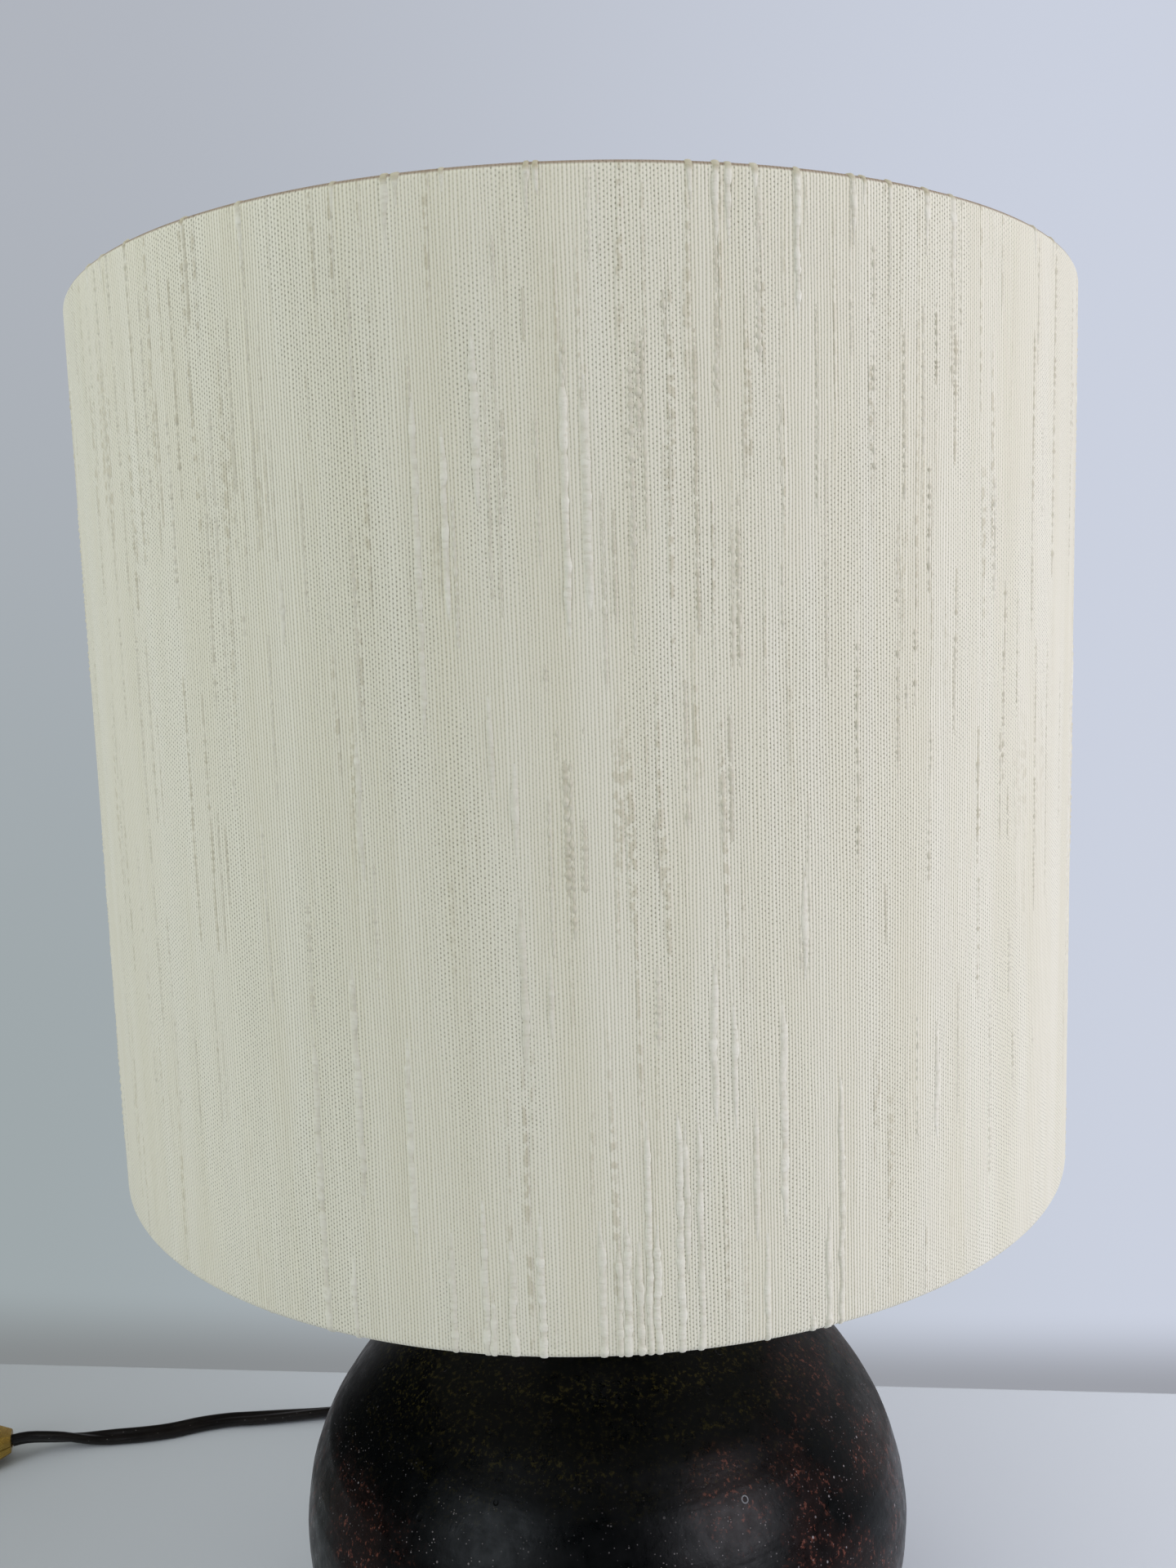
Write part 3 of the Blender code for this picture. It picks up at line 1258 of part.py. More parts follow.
def main():
    clear_scene()
    add_ball()
    add_neck_fixings()
    add_holder()
    add_shade()
    add_bulb()
    print("inner cord", round(add_inner_cord(), 4))
    plug_place, plug_turn = add_cord()
    add_switch()
    add_plug(plug_place, plug_turn)


main()
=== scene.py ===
"""Looks of the stoneware ball lamp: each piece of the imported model, dressed or made anew.

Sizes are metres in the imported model's frame: +Z is up and the origin is the middle of the felt
pad's underside. The cord leaves the ball at the back (+Y) and turns left (-X) to its switch, its
coil and its plug.
"""

import json
import logging
import math
import random
from dataclasses import dataclass
from enum import Enum
from typing import Callable, Optional, Sequence, Union

import bmesh
import bpy
from mathutils import Matrix, Vector, noise


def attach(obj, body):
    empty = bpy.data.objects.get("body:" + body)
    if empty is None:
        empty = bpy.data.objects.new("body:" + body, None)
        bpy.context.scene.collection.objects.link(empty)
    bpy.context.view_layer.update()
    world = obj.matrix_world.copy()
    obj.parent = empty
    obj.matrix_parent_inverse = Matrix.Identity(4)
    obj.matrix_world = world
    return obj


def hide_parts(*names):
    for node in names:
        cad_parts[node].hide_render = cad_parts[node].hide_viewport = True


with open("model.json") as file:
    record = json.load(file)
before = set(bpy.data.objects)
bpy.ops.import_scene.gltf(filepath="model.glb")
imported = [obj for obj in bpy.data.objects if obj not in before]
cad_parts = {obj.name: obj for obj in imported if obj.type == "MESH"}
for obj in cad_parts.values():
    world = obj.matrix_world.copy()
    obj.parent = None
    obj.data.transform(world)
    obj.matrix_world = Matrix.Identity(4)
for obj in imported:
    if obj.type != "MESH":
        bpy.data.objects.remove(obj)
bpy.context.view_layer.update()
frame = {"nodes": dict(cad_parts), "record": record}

LOG = logging.getLogger("lamp")

GAP = 0.0003
WELD = 0.0000005
UP = Vector((0, 0, 1))
TURN = 2 * math.pi
QUARTER = math.pi / 2
CORD_HEADING = math.radians(197)
COIL_CENTRE = (-0.2920, 0.0130)
COIL_RADIUS = 0.0310
BULB_PITCH = 0.00362
Pair = tuple[float, float]
Triple = tuple[float, float, float]
Colour = tuple[float, float, float]
Source = Union[float, Colour, bpy.types.NodeSocket]


# Shapes that every sub-assembly draws on


def bow(start: Sequence[float], corner: Sequence[float], end: Sequence[float], steps: int) -> list[tuple]:
    """Draws a curve that leaves start towards corner and reaches end from it.

    Args:
        start: the first point.
        corner: the point that the curve leans towards.
        end: the last point.
        steps: how many steps lie between the two ends.

    Returns:
        The points, both ends included.
    """
    shares = [i / steps for i in range(steps + 1)]
    return [
        tuple((1 - t) ** 2 * a + 2 * t * (1 - t) * b + t**2 * c for a, b, c in zip(start, corner, end))
        for t in shares
    ]


def arc(centre: Pair, radii: Pair, start: float, end: float, steps: int) -> list[Pair]:
    """Draws an ellipse's arc.

    Args:
        centre: the ellipse's middle.
        radii: its two half widths.
        start: the first angle, in radians.
        end: the last angle.
        steps: how many steps lie between them.

    Returns:
        The points, both ends included.
    """
    angles = [start + (end - start) * i / steps for i in range(steps + 1)]
    return [(centre[0] + radii[0] * math.cos(a), centre[1] + radii[1] * math.sin(a)) for a in angles]


def eased(corners: Sequence[Triple], steps: int = 3) -> list[Pair]:
    """Rounds the corners of a closed section.

    Args:
        corners: radius, height and rounding of each corner, in order.
        steps: how many steps each rounding has.

    Returns:
        The section's points.
    """
    made: list[Pair] = []
    for i, (radius, height, ease) in enumerate(corners):
        here = Vector((radius, height))
        if ease <= 0:
            made.append((radius, height))
            continue
        before = Vector(corners[i - 1][:2]) - here
        after = Vector(corners[(i + 1) % len(corners)][:2]) - here
        made += bow(here + before.normalized() * ease, here, here + after.normalized() * ease, steps)
    return made


def rectangle(low: Pair, high: Pair, ease: float, steps: int = 3) -> list[Pair]:
    """Draws a rectangle with rounded corners.

    Args:
        low: its corner nearest to the axis and the ground.
        high: the corner across from it.
        ease: the rounding.
        steps: how many steps each rounding has.

    Returns:
        The section's points.
    """
    corners = (low, (high[0], low[1]), high, (low[0], high[1]))
    return eased([(*corner, ease) for corner in corners], steps)


def spun(section: Sequence[Pair], steps: int, closed: bool = True) -> bmesh.types.BMesh:
    """Turns a section about the Z axis.

    Args:
        section: (radius, height) points, in order.
        steps: how many steps the full turn has.
        closed: whether the last point joins the first.

    Returns:
        The turned body.
    """
    bm = bmesh.new()
    verts = [bm.verts.new((radius, 0, height)) for radius, height in section]
    pairs = list(zip(verts, verts[1:])) + ([(verts[-1], verts[0])] if closed else [])
    edges = [bm.edges.new(pair) for pair in pairs]
    bmesh.ops.spin(
        bm,
        geom=verts + edges,
        cent=(0, 0, 0),
        axis=UP,
        angle=TURN,
        steps=steps,
        use_merge=True,
    )
    bmesh.ops.remove_doubles(bm, verts=bm.verts, dist=WELD)
    bmesh.ops.recalc_face_normals(bm, faces=bm.faces)
    return bm


def extrude_rings(bm: bmesh.types.BMesh, rings: Sequence[Sequence[Vector]]) -> list:
    """Draws one ring of vertices through the places of all the others, and closes both ends.

    Args:
        bm: the body that takes the new faces.
        rings: the places of each ring's vertices, with the same count in each.

    Returns:
        The vertices of each ring.
    """
    count = len(rings[0])
    current = bmesh.ops.create_circle(bm, segments=count, radius=1.0, cap_ends=False)["verts"]
    first_edges = [bm.edges.get((current[i - 1], current[i])) for i in range(count)]
    edges = first_edges
    rows = []
    for number, ring in enumerate(rings):
        if number:
            made = bmesh.ops.extrude_edge_only(bm, edges=edges)["geom"]
            fresh = {item for item in made if isinstance(item, bmesh.types.BMVert)}
            current = [
                next(edge.other_vert(vert) for edge in vert.link_edges if edge.other_vert(vert) in fresh)
                for vert in current
            ]
            edges = [bm.edges.get((current[i - 1], current[i])) for i in range(count)]
        for vert, place in zip(current, ring):
            vert.co = place
        rows.append(current)
    bmesh.ops.edgeloop_fill(bm, edges=first_edges)
    bmesh.ops.edgeloop_fill(bm, edges=edges)
    return rows


def frames_along(path: Sequence[Vector], side: Optional[Vector] = None) -> list[tuple[Vector, Vector]]:
    """Finds the two directions across a path at each of its points.

    Args:
        path: the points.
        side: the direction that the first of the two keeps to; level ground sets it when none is given.

    Returns:
        The sideways and the upward direction at each point.
    """
    made = []
    for i in range(len(path)):
        along = (path[min(i + 1, len(path) - 1)] - path[max(i - 1, 0)]).normalized()
        if side is None:
            across = UP.cross(along).normalized()
        else:
            across = (side - along * side.dot(along)).normalized()
        made.append((across, along.cross(across)))
    return made


def swept(
    path: Sequence[Vector],
    outline: Sequence[Pair],
    turns: Optional[Sequence[float]] = None,
    side: Optional[Vector] = None,
) -> bmesh.types.BMesh:
    """Draws an outline along a path.

    Args:
        path: the points that the outline's middle follows.
        outline: (sideways, upward) points of the section.
        turns: how far the section is turned at each point, in radians.
        side: the direction that the section's width keeps to.

    Returns:
        The drawn body.
    """
    bm = bmesh.new()
    rings = []
    for i, (place, (across, upward)) in enumerate(zip(path, frames_along(path, side))):
        turn = turns[i] if turns else 0.0
        cos, sin = math.cos(turn), math.sin(turn)
        ring = [(x * cos - y * sin, x * sin + y * cos) for x, y in outline]
        rings.append([place + across * x + upward * y for x, y in ring])
    extrude_rings(bm, rings)
    return bm


def circle(radius: float, steps: int) -> list[Pair]:
    """Gives the outline of a round wire."""
    return arc((0, 0), (radius, radius), 0, TURN, steps)[:-1]


def smooth_route(points: Sequence[Sequence[float]], step: float) -> list[Vector]:
    """Runs a smooth curve through a route's own points, with both end spans straight.

    Args:
        points: the route's points.
        step: how far apart the new points are.

    Returns:
        Evenly spaced points of the curve.
    """
    knots = [Vector(p) for p in points]
    fine = [knots[1]]
    spans = 16
    for before, start, end, after in zip(knots, knots[1:], knots[2:], knots[3:]):
        for i in range(1, spans + 1):
            t = i / spans
            lead = 2 * start + (end - before) * t
            bend = (2 * before - 5 * start + 4 * end - after) * t**2
            twist = (3 * start - before - 3 * end + after) * t**3
            fine.append((lead + bend + twist) / 2)
    return [knots[0]] + even_points(fine, step) + [knots[-1]]


def even_points(points: Sequence[Vector], step: float) -> list[Vector]:
    """Spaces points evenly along a line.

    Args:
        points: the line's own points.
        step: how far apart the new points are.

    Returns:
        The new points, both ends included.
    """
    lengths = [(b - a).length for a, b in zip(points, points[1:])]
    count = max(2, round(sum(lengths) / step))
    made = [points[0]]
    walked = 0.0
    span = 0
    for i in range(1, count):
        wanted = sum(lengths) * i / count
        while walked + lengths[span] < wanted:
            walked += lengths[span]
            span += 1
        made.append(points[span].lerp(points[span + 1], (wanted - walked) / lengths[span]))
    return made + [points[-1]]


def line_length(points: Sequence[Vector]) -> float:
    """Measures a line of points."""
    return sum((b - a).length for a, b in zip(points, points[1:]))


def smooth_step(value: float) -> float:
    """Eases a share from 0 to 1 at both its ends."""
    held = min(1.0, max(0.0, value))
    return held * held * (3 - 2 * held)


def between(keys: Sequence[Pair], place: float) -> float:
    """Reads an eased value between keys.

    Args:
        keys: (place, value) pairs, in order of place.
        place: where to read.

    Returns:
        The value there.
    """
    if place <= keys[0][0]:
        return keys[0][1]
    for (low, from_value), (high, to_value) in zip(keys, keys[1:]):
        if place <= high:
            return from_value + (to_value - from_value) * smooth_step((place - low) / (high - low))
    return keys[-1][1]


def reach_of(place: Vector) -> float:
    """Measures how far a spot lies from the Z axis."""
    return math.hypot(place.x, place.y)


def outwards(place: Vector, by: float) -> Vector:
    """Moves a spot away from the Z axis, or towards it where by is negative."""
    share = 1 + by / reach_of(place)
    return Vector((place.x * share, place.y * share, place.z))


def winding(place: Vector, pitch: float) -> float:
    """Counts the turns of a screw thread up to a spot."""
    return place.z / pitch - math.atan2(place.y, place.x) / TURN


def crest(turns: float) -> float:
    """Gives the height of a round wave, from 0 to 1, with a crest at each whole turn."""
    return 0.5 + 0.5 * math.cos(TURN * turns)


def shaped(bm: bmesh.types.BMesh, move: Callable[[Vector], Vector]) -> bmesh.types.BMesh:
    """Moves each vertex by a rule.

    Args:
        bm: the body.
        move: gives a vertex's new place from its old one.

    Returns:
        The same body.
    """
    for vert in bm.verts:
        vert.co = move(vert.co)
    return bm


def put(bm: bmesh.types.BMesh, matrix: Matrix) -> bmesh.types.BMesh:
    """Moves a whole body.

    Args:
        bm: the body.
        matrix: where its own frame goes.

    Returns:
        The same body.
    """
    bmesh.ops.transform(bm, matrix=matrix, verts=bm.verts)
    return bm


def joined(parts: Sequence[bmesh.types.BMesh]) -> bmesh.types.BMesh:
    """Puts several bodies into one.

    Args:
        parts: the bodies, which are used up.

    Returns:
        One body that holds them all.
    """
    whole = bmesh.new()
    for part in parts:
        bmesh.ops.recalc_face_normals(part, faces=part.faces)
        held = bpy.data.meshes.new("held")
        part.to_mesh(held)
        part.free()
        whole.from_mesh(held)
        bpy.data.meshes.remove(held)
    return whole


def block(low: Sequence[float], high: Sequence[float], ease: float) -> bmesh.types.BMesh:
    """Makes a block with rounded edges.

    Args:
        low: its lowest corner.
        high: its highest corner.
        ease: the rounding.

    Returns:
        The block.
    """
    bm = bmesh.new()
    bmesh.ops.create_cube(bm, size=1.0)
    sizes = [b - a for a, b in zip(low, high)]
    middle = [(a + b) / 2 for a, b in zip(low, high)]
    bmesh.ops.scale(bm, vec=sizes, verts=bm.verts)
    bmesh.ops.translate(bm, vec=middle, verts=bm.verts)
    soften(bm, bm.edges, ease)
    return bm


def soften(
    bm: bmesh.types.BMesh,
    edges: Sequence[bmesh.types.BMEdge],
    ease: float,
    segments: int = 2,
) -> None:
    """Rounds edges.

    Args:
        bm: the body.
        edges: the edges to round.
        ease: how wide the rounding is.
        segments: its steps.
    """
    bmesh.ops.bevel(
        bm,
        geom=list(edges),
        offset=ease,
        offset_type="OFFSET",
        segments=segments,
        profile=0.5,
        affect="EDGES",
        clamp_overlap=True,
        material=-1,
    )


def along_z(place: Sequence[float], direction: Vector) -> Matrix:
    """Gives the frame that lays a turned body's axis along a direction.

    Args:
        place: where the frame's origin goes.
        direction: where its Z axis points.

    Returns:
        The frame.
    """
    turn = UP.rotation_difference(direction).to_matrix().to_4x4()
    return Matrix.Translation(Vector(place)) @ turn


# Wiring of materials


class Graph:
    """Wires one node tree, a material's or a group's."""

    def __init__(self, tree: bpy.types.NodeTree) -> None:
        """Takes the tree to wire."""
        self.tree = tree

    def node(self, kind: str, **settings: object) -> bpy.types.Node:
        """Adds a node.

        Args:
            kind: the node's type without its first word.
            settings: its properties.

        Returns:
            The node.
        """
        made = self.tree.nodes.new("ShaderNode" + kind)
        for name, value in settings.items():
            setattr(made, name, value)
        return made

    def feed(self, socket: bpy.types.NodeSocket, value: Source) -> None:
        """Links an output to an input, or sets the input's own value.

        Args:
            socket: the input.
            value: an output, a number or a colour.
        """
        if isinstance(value, bpy.types.NodeSocket):
            self.tree.links.new(value, socket)
        elif isinstance(value, tuple) and len(socket.default_value) == 4:
            socket.default_value = (*value, 1.0)
        else:
            socket.default_value = value

    def maths(self, operation: str, *values: Source) -> bpy.types.NodeSocket:
        """Works out a number.

        Args:
            operation: the Math node's operation.
            values: its inputs, in order.

        Returns:
            The result.
        """
        made = self.node("Math", operation=operation)
        for socket, value in zip(made.inputs, values):
            self.feed(socket, value)
        return made.outputs[0]

    def times(self, one: Source, other: Source) -> bpy.types.NodeSocket:
        """Multiplies two numbers."""
        return self.maths("MULTIPLY", one, other)

    def plus(self, one: Source, other: Source) -> bpy.types.NodeSocket:
        """Adds two numbers."""
        return self.maths("ADD", one, other)

    def minus(self, one: Source, other: Source) -> bpy.types.NodeSocket:
        """Takes one number from another."""
        return self.maths("SUBTRACT", one, other)

    def larger(self, one: Source, other: Source) -> bpy.types.NodeSocket:
        """Gives the larger of two numbers."""
        return self.maths("MAXIMUM", one, other)

    def mix(self, share: Source, low: Source, high: Source, mode: str = "MIX") -> bpy.types.NodeSocket:
        """Mixes two colours.

        Args:
            share: how much of the second one shows.
            low: the first colour.
            high: the second colour.
            mode: how they mix.

        Returns:
            The colour.
        """
        made = self.node("Mix", data_type="RGBA", blend_type=mode)
        for index, value in ((0, share), (6, low), (7, high)):
            self.feed(made.inputs[index], value)
        return made.outputs[2]

    def span(
        self, value: Source, low: float, high: float, to_low: float = 0.0, to_high: float = 1.0
    ) -> bpy.types.NodeSocket:
        """Maps one range of numbers smoothly onto another.

        Args:
            value: the number.
            low: where the first range starts.
            high: where it ends.
            to_low: where the second range starts.
            to_high: where it ends.

        Returns:
            The mapped number.
        """
        made = self.node("MapRange", interpolation_type="SMOOTHSTEP")
        for socket, given in zip(made.inputs, (value, low, high, to_low, to_high)):
            self.feed(socket, given)
        return made.outputs[0]

    def noise(
        self, vector: Source, scale: float, detail: float = 2.0, roughness: float = 0.5
    ) -> bpy.types.NodeSocket:
        """Adds a noise.

        Args:
            vector: where it is read.
            scale: its scale.
            detail: its finer layers.
            roughness: how strong these are.

        Returns:
            A number between 0 and 1.
        """
        made = self.node("TexNoise")
        given = {"Vector": vector, "Scale": scale, "Detail": detail, "Roughness": roughness}
        for name, value in given.items():
            self.feed(made.inputs[name], value)
        return made.outputs[0]

    def streaks(
        self, vector: Source, scale: Sequence[float], detail: float = 2.0, roughness: float = 0.5
    ) -> bpy.types.NodeSocket:
        """Adds a stretched noise.

        Args:
            vector: where it is read.
            scale: how dense it is on each axis.
            detail: its finer layers.
            roughness: how strong these are.

        Returns:
            A number between 0 and 1.
        """
        return self.noise(self.stretched(vector, scale), 1.0, detail, roughness)

    def towards(self, operation: str, vector: Source, other: Sequence[float]) -> bpy.types.NodeSocket:
        """Sets a vector against a fixed one.

        Args:
            operation: the Vector Math node's operation, a distance or a dot product.
            vector: the vector.
            other: the fixed one.

        Returns:
            The number.
        """
        made = self.node("VectorMath", operation=operation)
        self.feed(made.inputs[0], vector)
        made.inputs[1].default_value = other
        return made.outputs["Value"]

    def cells(self, vector: Source, scale: float) -> bpy.types.Node:
        """Adds a pattern of cells.

        Args:
            vector: where it is read.
            scale: its scale.

        Returns:
            The node.
        """
        made = self.node("TexVoronoi", feature="F1")
        self.feed(made.inputs["Vector"], vector)
        self.feed(made.inputs["Scale"], scale)
        return made

    def stretched(self, vector: Source, scale: Sequence[float], turn: float = 0.0) -> bpy.types.NodeSocket:
        """Stretches a pattern.

        Args:
            vector: where the pattern is read.
            scale: how dense it is on each axis.
            turn: how far it is turned about Z, in radians.

        Returns:
            The vector to read it at.
        """
        made = self.node("Mapping")
        self.feed(made.inputs["Vector"], vector)
        made.inputs["Rotation"].default_value = (0, 0, turn)
        made.inputs["Scale"].default_value = tuple(scale)
        return made.outputs[0]

    def split(self, vector: Source) -> list[bpy.types.NodeSocket]:
        """Splits a vector.

        Args:
            vector: the vector.

        Returns:
            Its three numbers.
        """
        made = self.node("SeparateXYZ")
        self.feed(made.inputs[0], vector)
        return list(made.outputs)

    def place(self) -> bpy.types.NodeSocket:
        """Gives the place on the piece, in metres."""
        return self.node("TexCoord").outputs["Object"]

    def relief(self, height: Source, distance: float, strength: float = 1.0) -> bpy.types.NodeSocket:
        """Turns a height into a bumped normal.

        Args:
            height: the height, from 0 to 1.
            distance: how high 1 is, in metres.
            strength: how much of it shows.

        Returns:
            The normal.
        """
        made = self.node("Bump")
        made.inputs["Strength"].default_value = strength
        made.inputs["Distance"].default_value = distance
        self.feed(made.inputs["Height"], height)
        return made.outputs[0]


class Effect(Enum):
    """Surface effects that several finishes share, each one node group."""

    MOTTLE = "surface_mottle"
    SPECKLE = "surface_speckle"
    HAIRLINES = "surface_hairlines"

    def tree(self) -> bpy.types.NodeTree:
        """Gives the group, which is made on first use.

        Returns:
            The group's tree.
        """
        if self.value in bpy.data.node_groups:
            return bpy.data.node_groups[self.value]
        made = bpy.data.node_groups.new(self.value, "ShaderNodeTree")
        made.interface.new_socket(name="Place", in_out="INPUT", socket_type="NodeSocketVector")
        for name, default in (("Scale", 200.0), ("Amount", 0.5)):
            socket = made.interface.new_socket(name=name, in_out="INPUT", socket_type="NodeSocketFloat")
            socket.default_value = default
        made.interface.new_socket(name="Mask", in_out="OUTPUT", socket_type="NodeSocketFloat")
        graph = Graph(made)
        start = made.nodes.new("NodeGroupInput").outputs
        end = made.nodes.new("NodeGroupOutput").inputs["Mask"]
        graph.feed(end, self.draw(graph, start["Place"], start["Scale"], start["Amount"]))
        return made

    def draw(self, graph: Graph, place: Source, scale: Source, amount: Source) -> bpy.types.NodeSocket:
        """Wires the effect.

        Args:
            graph: the group's tree.
            place: where the effect is read.
            scale: how fine it is.
            amount: how much of it shows.

        Returns:
            The effect's mask.
        """
        if self is Effect.MOTTLE:
            broad = graph.noise(place, scale, 4.0, 0.62)
            return graph.times(graph.span(broad, 0.30, 0.70), amount)
        if self is Effect.SPECKLE:
            cell = graph.cells(place, scale)
            picked, sized, _ = graph.split(cell.outputs["Color"])
            chosen = graph.maths("LESS_THAN", picked, amount)
            size = graph.maths("MULTIPLY_ADD", sized, 0.26, 0.10)
            edge = graph.minus(size, cell.outputs["Distance"])
            return graph.times(chosen, graph.span(edge, 0.0, 0.10))
        fine = graph.noise(graph.stretched(place, (1.0, 1.0, 22.0)), scale, 3.0, 0.7)
        return graph.times(graph.span(fine, 0.42, 0.72), amount)

    def read(self, graph: Graph, place: Source, scale: float, amount: float) -> bpy.types.NodeSocket:
        """Places the effect in a material.

        Args:
            graph: the material's tree.
            place: where the effect is read.
            scale: how fine it is.
            amount: how much of it shows.

        Returns:
            The effect's mask.
        """
        made = graph.node("Group", node_tree=self.tree())
        for name, given in (("Place", place), ("Scale", scale), ("Amount", amount)):
            graph.feed(made.inputs[name], given)
        return made.outputs["Mask"]


@dataclass(frozen=True)
class Finish:
    """A surface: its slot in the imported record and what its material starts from."""

    slot: str
    colour: Colour
    roughness: float
    metallic: float = 0.0
    worn: Colour = (0.5, 0.5, 0.5)
    name: str = ""

    def material(self) -> bpy.types.Material:
        """Gives the material, which is made on first use.

        Returns:
            The material.
        """
        called = self.name or self.slot + "_finish"
        if called in bpy.data.materials:
            return bpy.data.materials[called]
        made = bpy.data.materials.new(called)
        made.use_nodes = True
        made.diffuse_color = (*self.colour, 1.0)
        shader = made.node_tree.nodes["Principled BSDF"]
        shader.inputs["Base Color"].default_value = (*self.colour, 1.0)
        shader.inputs["Roughness"].default_value = self.roughness
        shader.inputs["Metallic"].default_value = self.metallic
        self.dress(Graph(made.node_tree), shader.inputs)
        return made

    def dress(self, graph: Graph, shader: bpy.types.NodeInputs) -> None:
        """Wires what is special to this finish.

        Args:
            graph: the material's tree.
            shader: the shader's inputs.
        """
        raise NotImplementedError


@dataclass(frozen=True)
class Moulded(Finish):
    """A moulded surface, plastic, bakelite or china: faint flow marks, dust and fine orange peel."""

    flow: float = 70.0
    dust_scale: float = 1500.0
    dust_share: float = 0.06
    peel: float = 900.0
    peel_height: float = 0.00002
    gloss: float = 0.5
    dust: Colour = (0.30, 0.29, 0.27)

    def dress(self, graph: Graph, shader: bpy.types.NodeInputs) -> None:
        """Wires flow marks, dust and peel.

        Args:
            graph: the material's tree.
            shader: the shader's inputs.
        """
        place = graph.place()
        flow = Effect.MOTTLE.read(graph, place, self.flow, 0.8)
        dust = Effect.SPECKLE.read(graph, place, self.dust_scale, self.dust_share)
        shade = graph.mix(flow, self.colour, self.worn)
        tone = graph.mix(graph.times(dust, 0.35), shade, self.dust)
        graph.feed(shader["Base Color"], tone)
        rough = graph.span(flow, 0.0, 1.0, self.roughness - 0.06, self.roughness + 0.10)
        graph.feed(shader["Roughness"], rough)
        graph.feed(shader["Normal"], graph.relief(graph.noise(place, self.peel, 3.0), self.peel_height))
        shader["Specular IOR Level"].default_value = self.gloss


@dataclass(frozen=True)
class Metal(Finish):
    """A metal surface: drawn hairlines, dull spots and a tarnish that gathers in patches."""

    lines: float = 300.0
    line_depth: float = 0.000006
    patch_scale: float = 160.0
    spot_scale: float = 900.0
    spot_share: float = 0.10
    tarnish: float = 0.5

    def dress(self, graph: Graph, shader: bpy.types.NodeInputs) -> None:
        """Wires hairlines, spots and tarnish.

        Args:
            graph: the material's tree.
            shader: the shader's inputs.
        """
        place = graph.place()
        patch = Effect.MOTTLE.read(graph, place, self.patch_scale, self.tarnish)
        hair = Effect.HAIRLINES.read(graph, place, self.lines, 1.0)
        spots = Effect.SPECKLE.read(graph, place, self.spot_scale, self.spot_share)
        tone = graph.mix(patch, self.colour, self.worn)
        graph.feed(shader["Base Color"], graph.mix(graph.times(spots, 0.5), tone, self.worn))
        mixed = graph.plus(graph.times(hair, 0.5), graph.times(patch, 0.5))
        rough = graph.span(mixed, 0.0, 1.0, self.roughness - 0.08, self.roughness + 0.18)
        graph.feed(shader["Roughness"], rough)
        graph.feed(shader["Normal"], graph.relief(hair, self.line_depth))


@dataclass(frozen=True)
class Glaze(Finish):
    """Dark stoneware glaze: near black, olive at the crown, rust red where it breaks, pale grit."""

    olive: Colour = (0.024, 0.020, 0.005)
    rust: Colour = (0.105, 0.036, 0.024)
    grit: Colour = (0.34, 0.31, 0.31)
    bloom: Colour = (0.0300, -0.0625, 0.0965)
    bloom_reach: Pair = (0.015, 0.004)
    crown_z: Pair = (0.106, 0.122)
    speck_z: Pair = (0.104, 0.088)
    low_z: Pair = (0.094, 0.050)
    skin: float = 0.00010
    gloss: float = 0.12

    def dress(self, graph: Graph, shader: bpy.types.NodeInputs) -> None:
        """Wires the colour breaks, the grit, the pinholes and the throwing marks.

        Args:
            graph: the material's tree.
            shader: the shader's inputs.
        """
        place = graph.place()
        x, _, z = graph.split(place)
        drift = graph.noise(place, 28.0, 3.0, 0.55)
        high = graph.span(graph.plus(z, graph.times(drift, 0.03)), *self.crown_z)
        outward = graph.plus(x, graph.times(graph.minus(0.108, z), 0.6))
        left = graph.times(graph.span(x, -0.040, -0.062), graph.span(z, 0.094, 0.082))
        aside = graph.larger(graph.span(outward, 0.034, 0.064), left)
        low = graph.span(z, *self.low_z, 0.0, 0.8)
        patches = graph.span(graph.noise(place, 42.0, 4.0, 0.6), 0.42, 0.60)
        far = graph.towards("DISTANCE", place, self.bloom)
        red = graph.times(graph.larger(aside, low), patches)
        red = graph.larger(red, graph.span(far, *self.bloom_reach, 0.0, 0.8))
        grain = graph.span(graph.noise(place, 900.0, 3.0, 0.7), 0.53, 0.64)
        coarse = graph.span(graph.noise(place, 330.0, 3.0, 0.7), 0.44, 0.58)
        hoops = graph.span(graph.streaks(place, (9.0, 9.0, 210.0)), 0.38, 0.65, 0.10, 1.0)
        olive = graph.times(graph.times(grain, high), hoops)
        tone = graph.mix(olive, self.colour, self.olive)
        grainy = graph.maths("MULTIPLY_ADD", graph.times(coarse, grain), 0.95, 0.05)
        tone = graph.mix(graph.times(grainy, red), tone, self.rust)
        fine = Effect.SPECKLE.read(graph, graph.stretched(place, (1.0, 1.0, 1.3)), 1500.0, 0.20)
        big = Effect.SPECKLE.read(graph, place, 900.0, 0.035)
        clouds = graph.span(graph.noise(place, 60.0, 3.0), 0.38, 0.62, 0.25, 1.0)
        specks = graph.times(graph.larger(graph.times(fine, 0.8), big), clouds)
        more = graph.times(specks, graph.span(z, *self.speck_z, 0.03, 0.60))
        graph.feed(shader["Base Color"], graph.mix(more, tone, self.grit))
        dull = graph.noise(place, 260.0, 4.0, 0.6)
        rough = graph.span(dull, 0.25, 0.75, self.roughness - 0.05, self.roughness + 0.12)
        graph.feed(shader["Roughness"], rough)
        shader["Specular IOR Level"].default_value = self.gloss
        rings = graph.streaks(place, (3.0, 3.0, 330.0), 2.0, 0.6)
        peel = graph.noise(place, 520.0, 3.0, 0.6)
        pits = Effect.SPECKLE.read(graph, place, 260.0, 0.05)
        height = graph.plus(graph.times(rings, 0.9), graph.times(peel, 0.55))
        height = graph.minus(height, graph.times(pits, 1.2))
        graph.feed(shader["Normal"], graph.relief(height, self.skin))


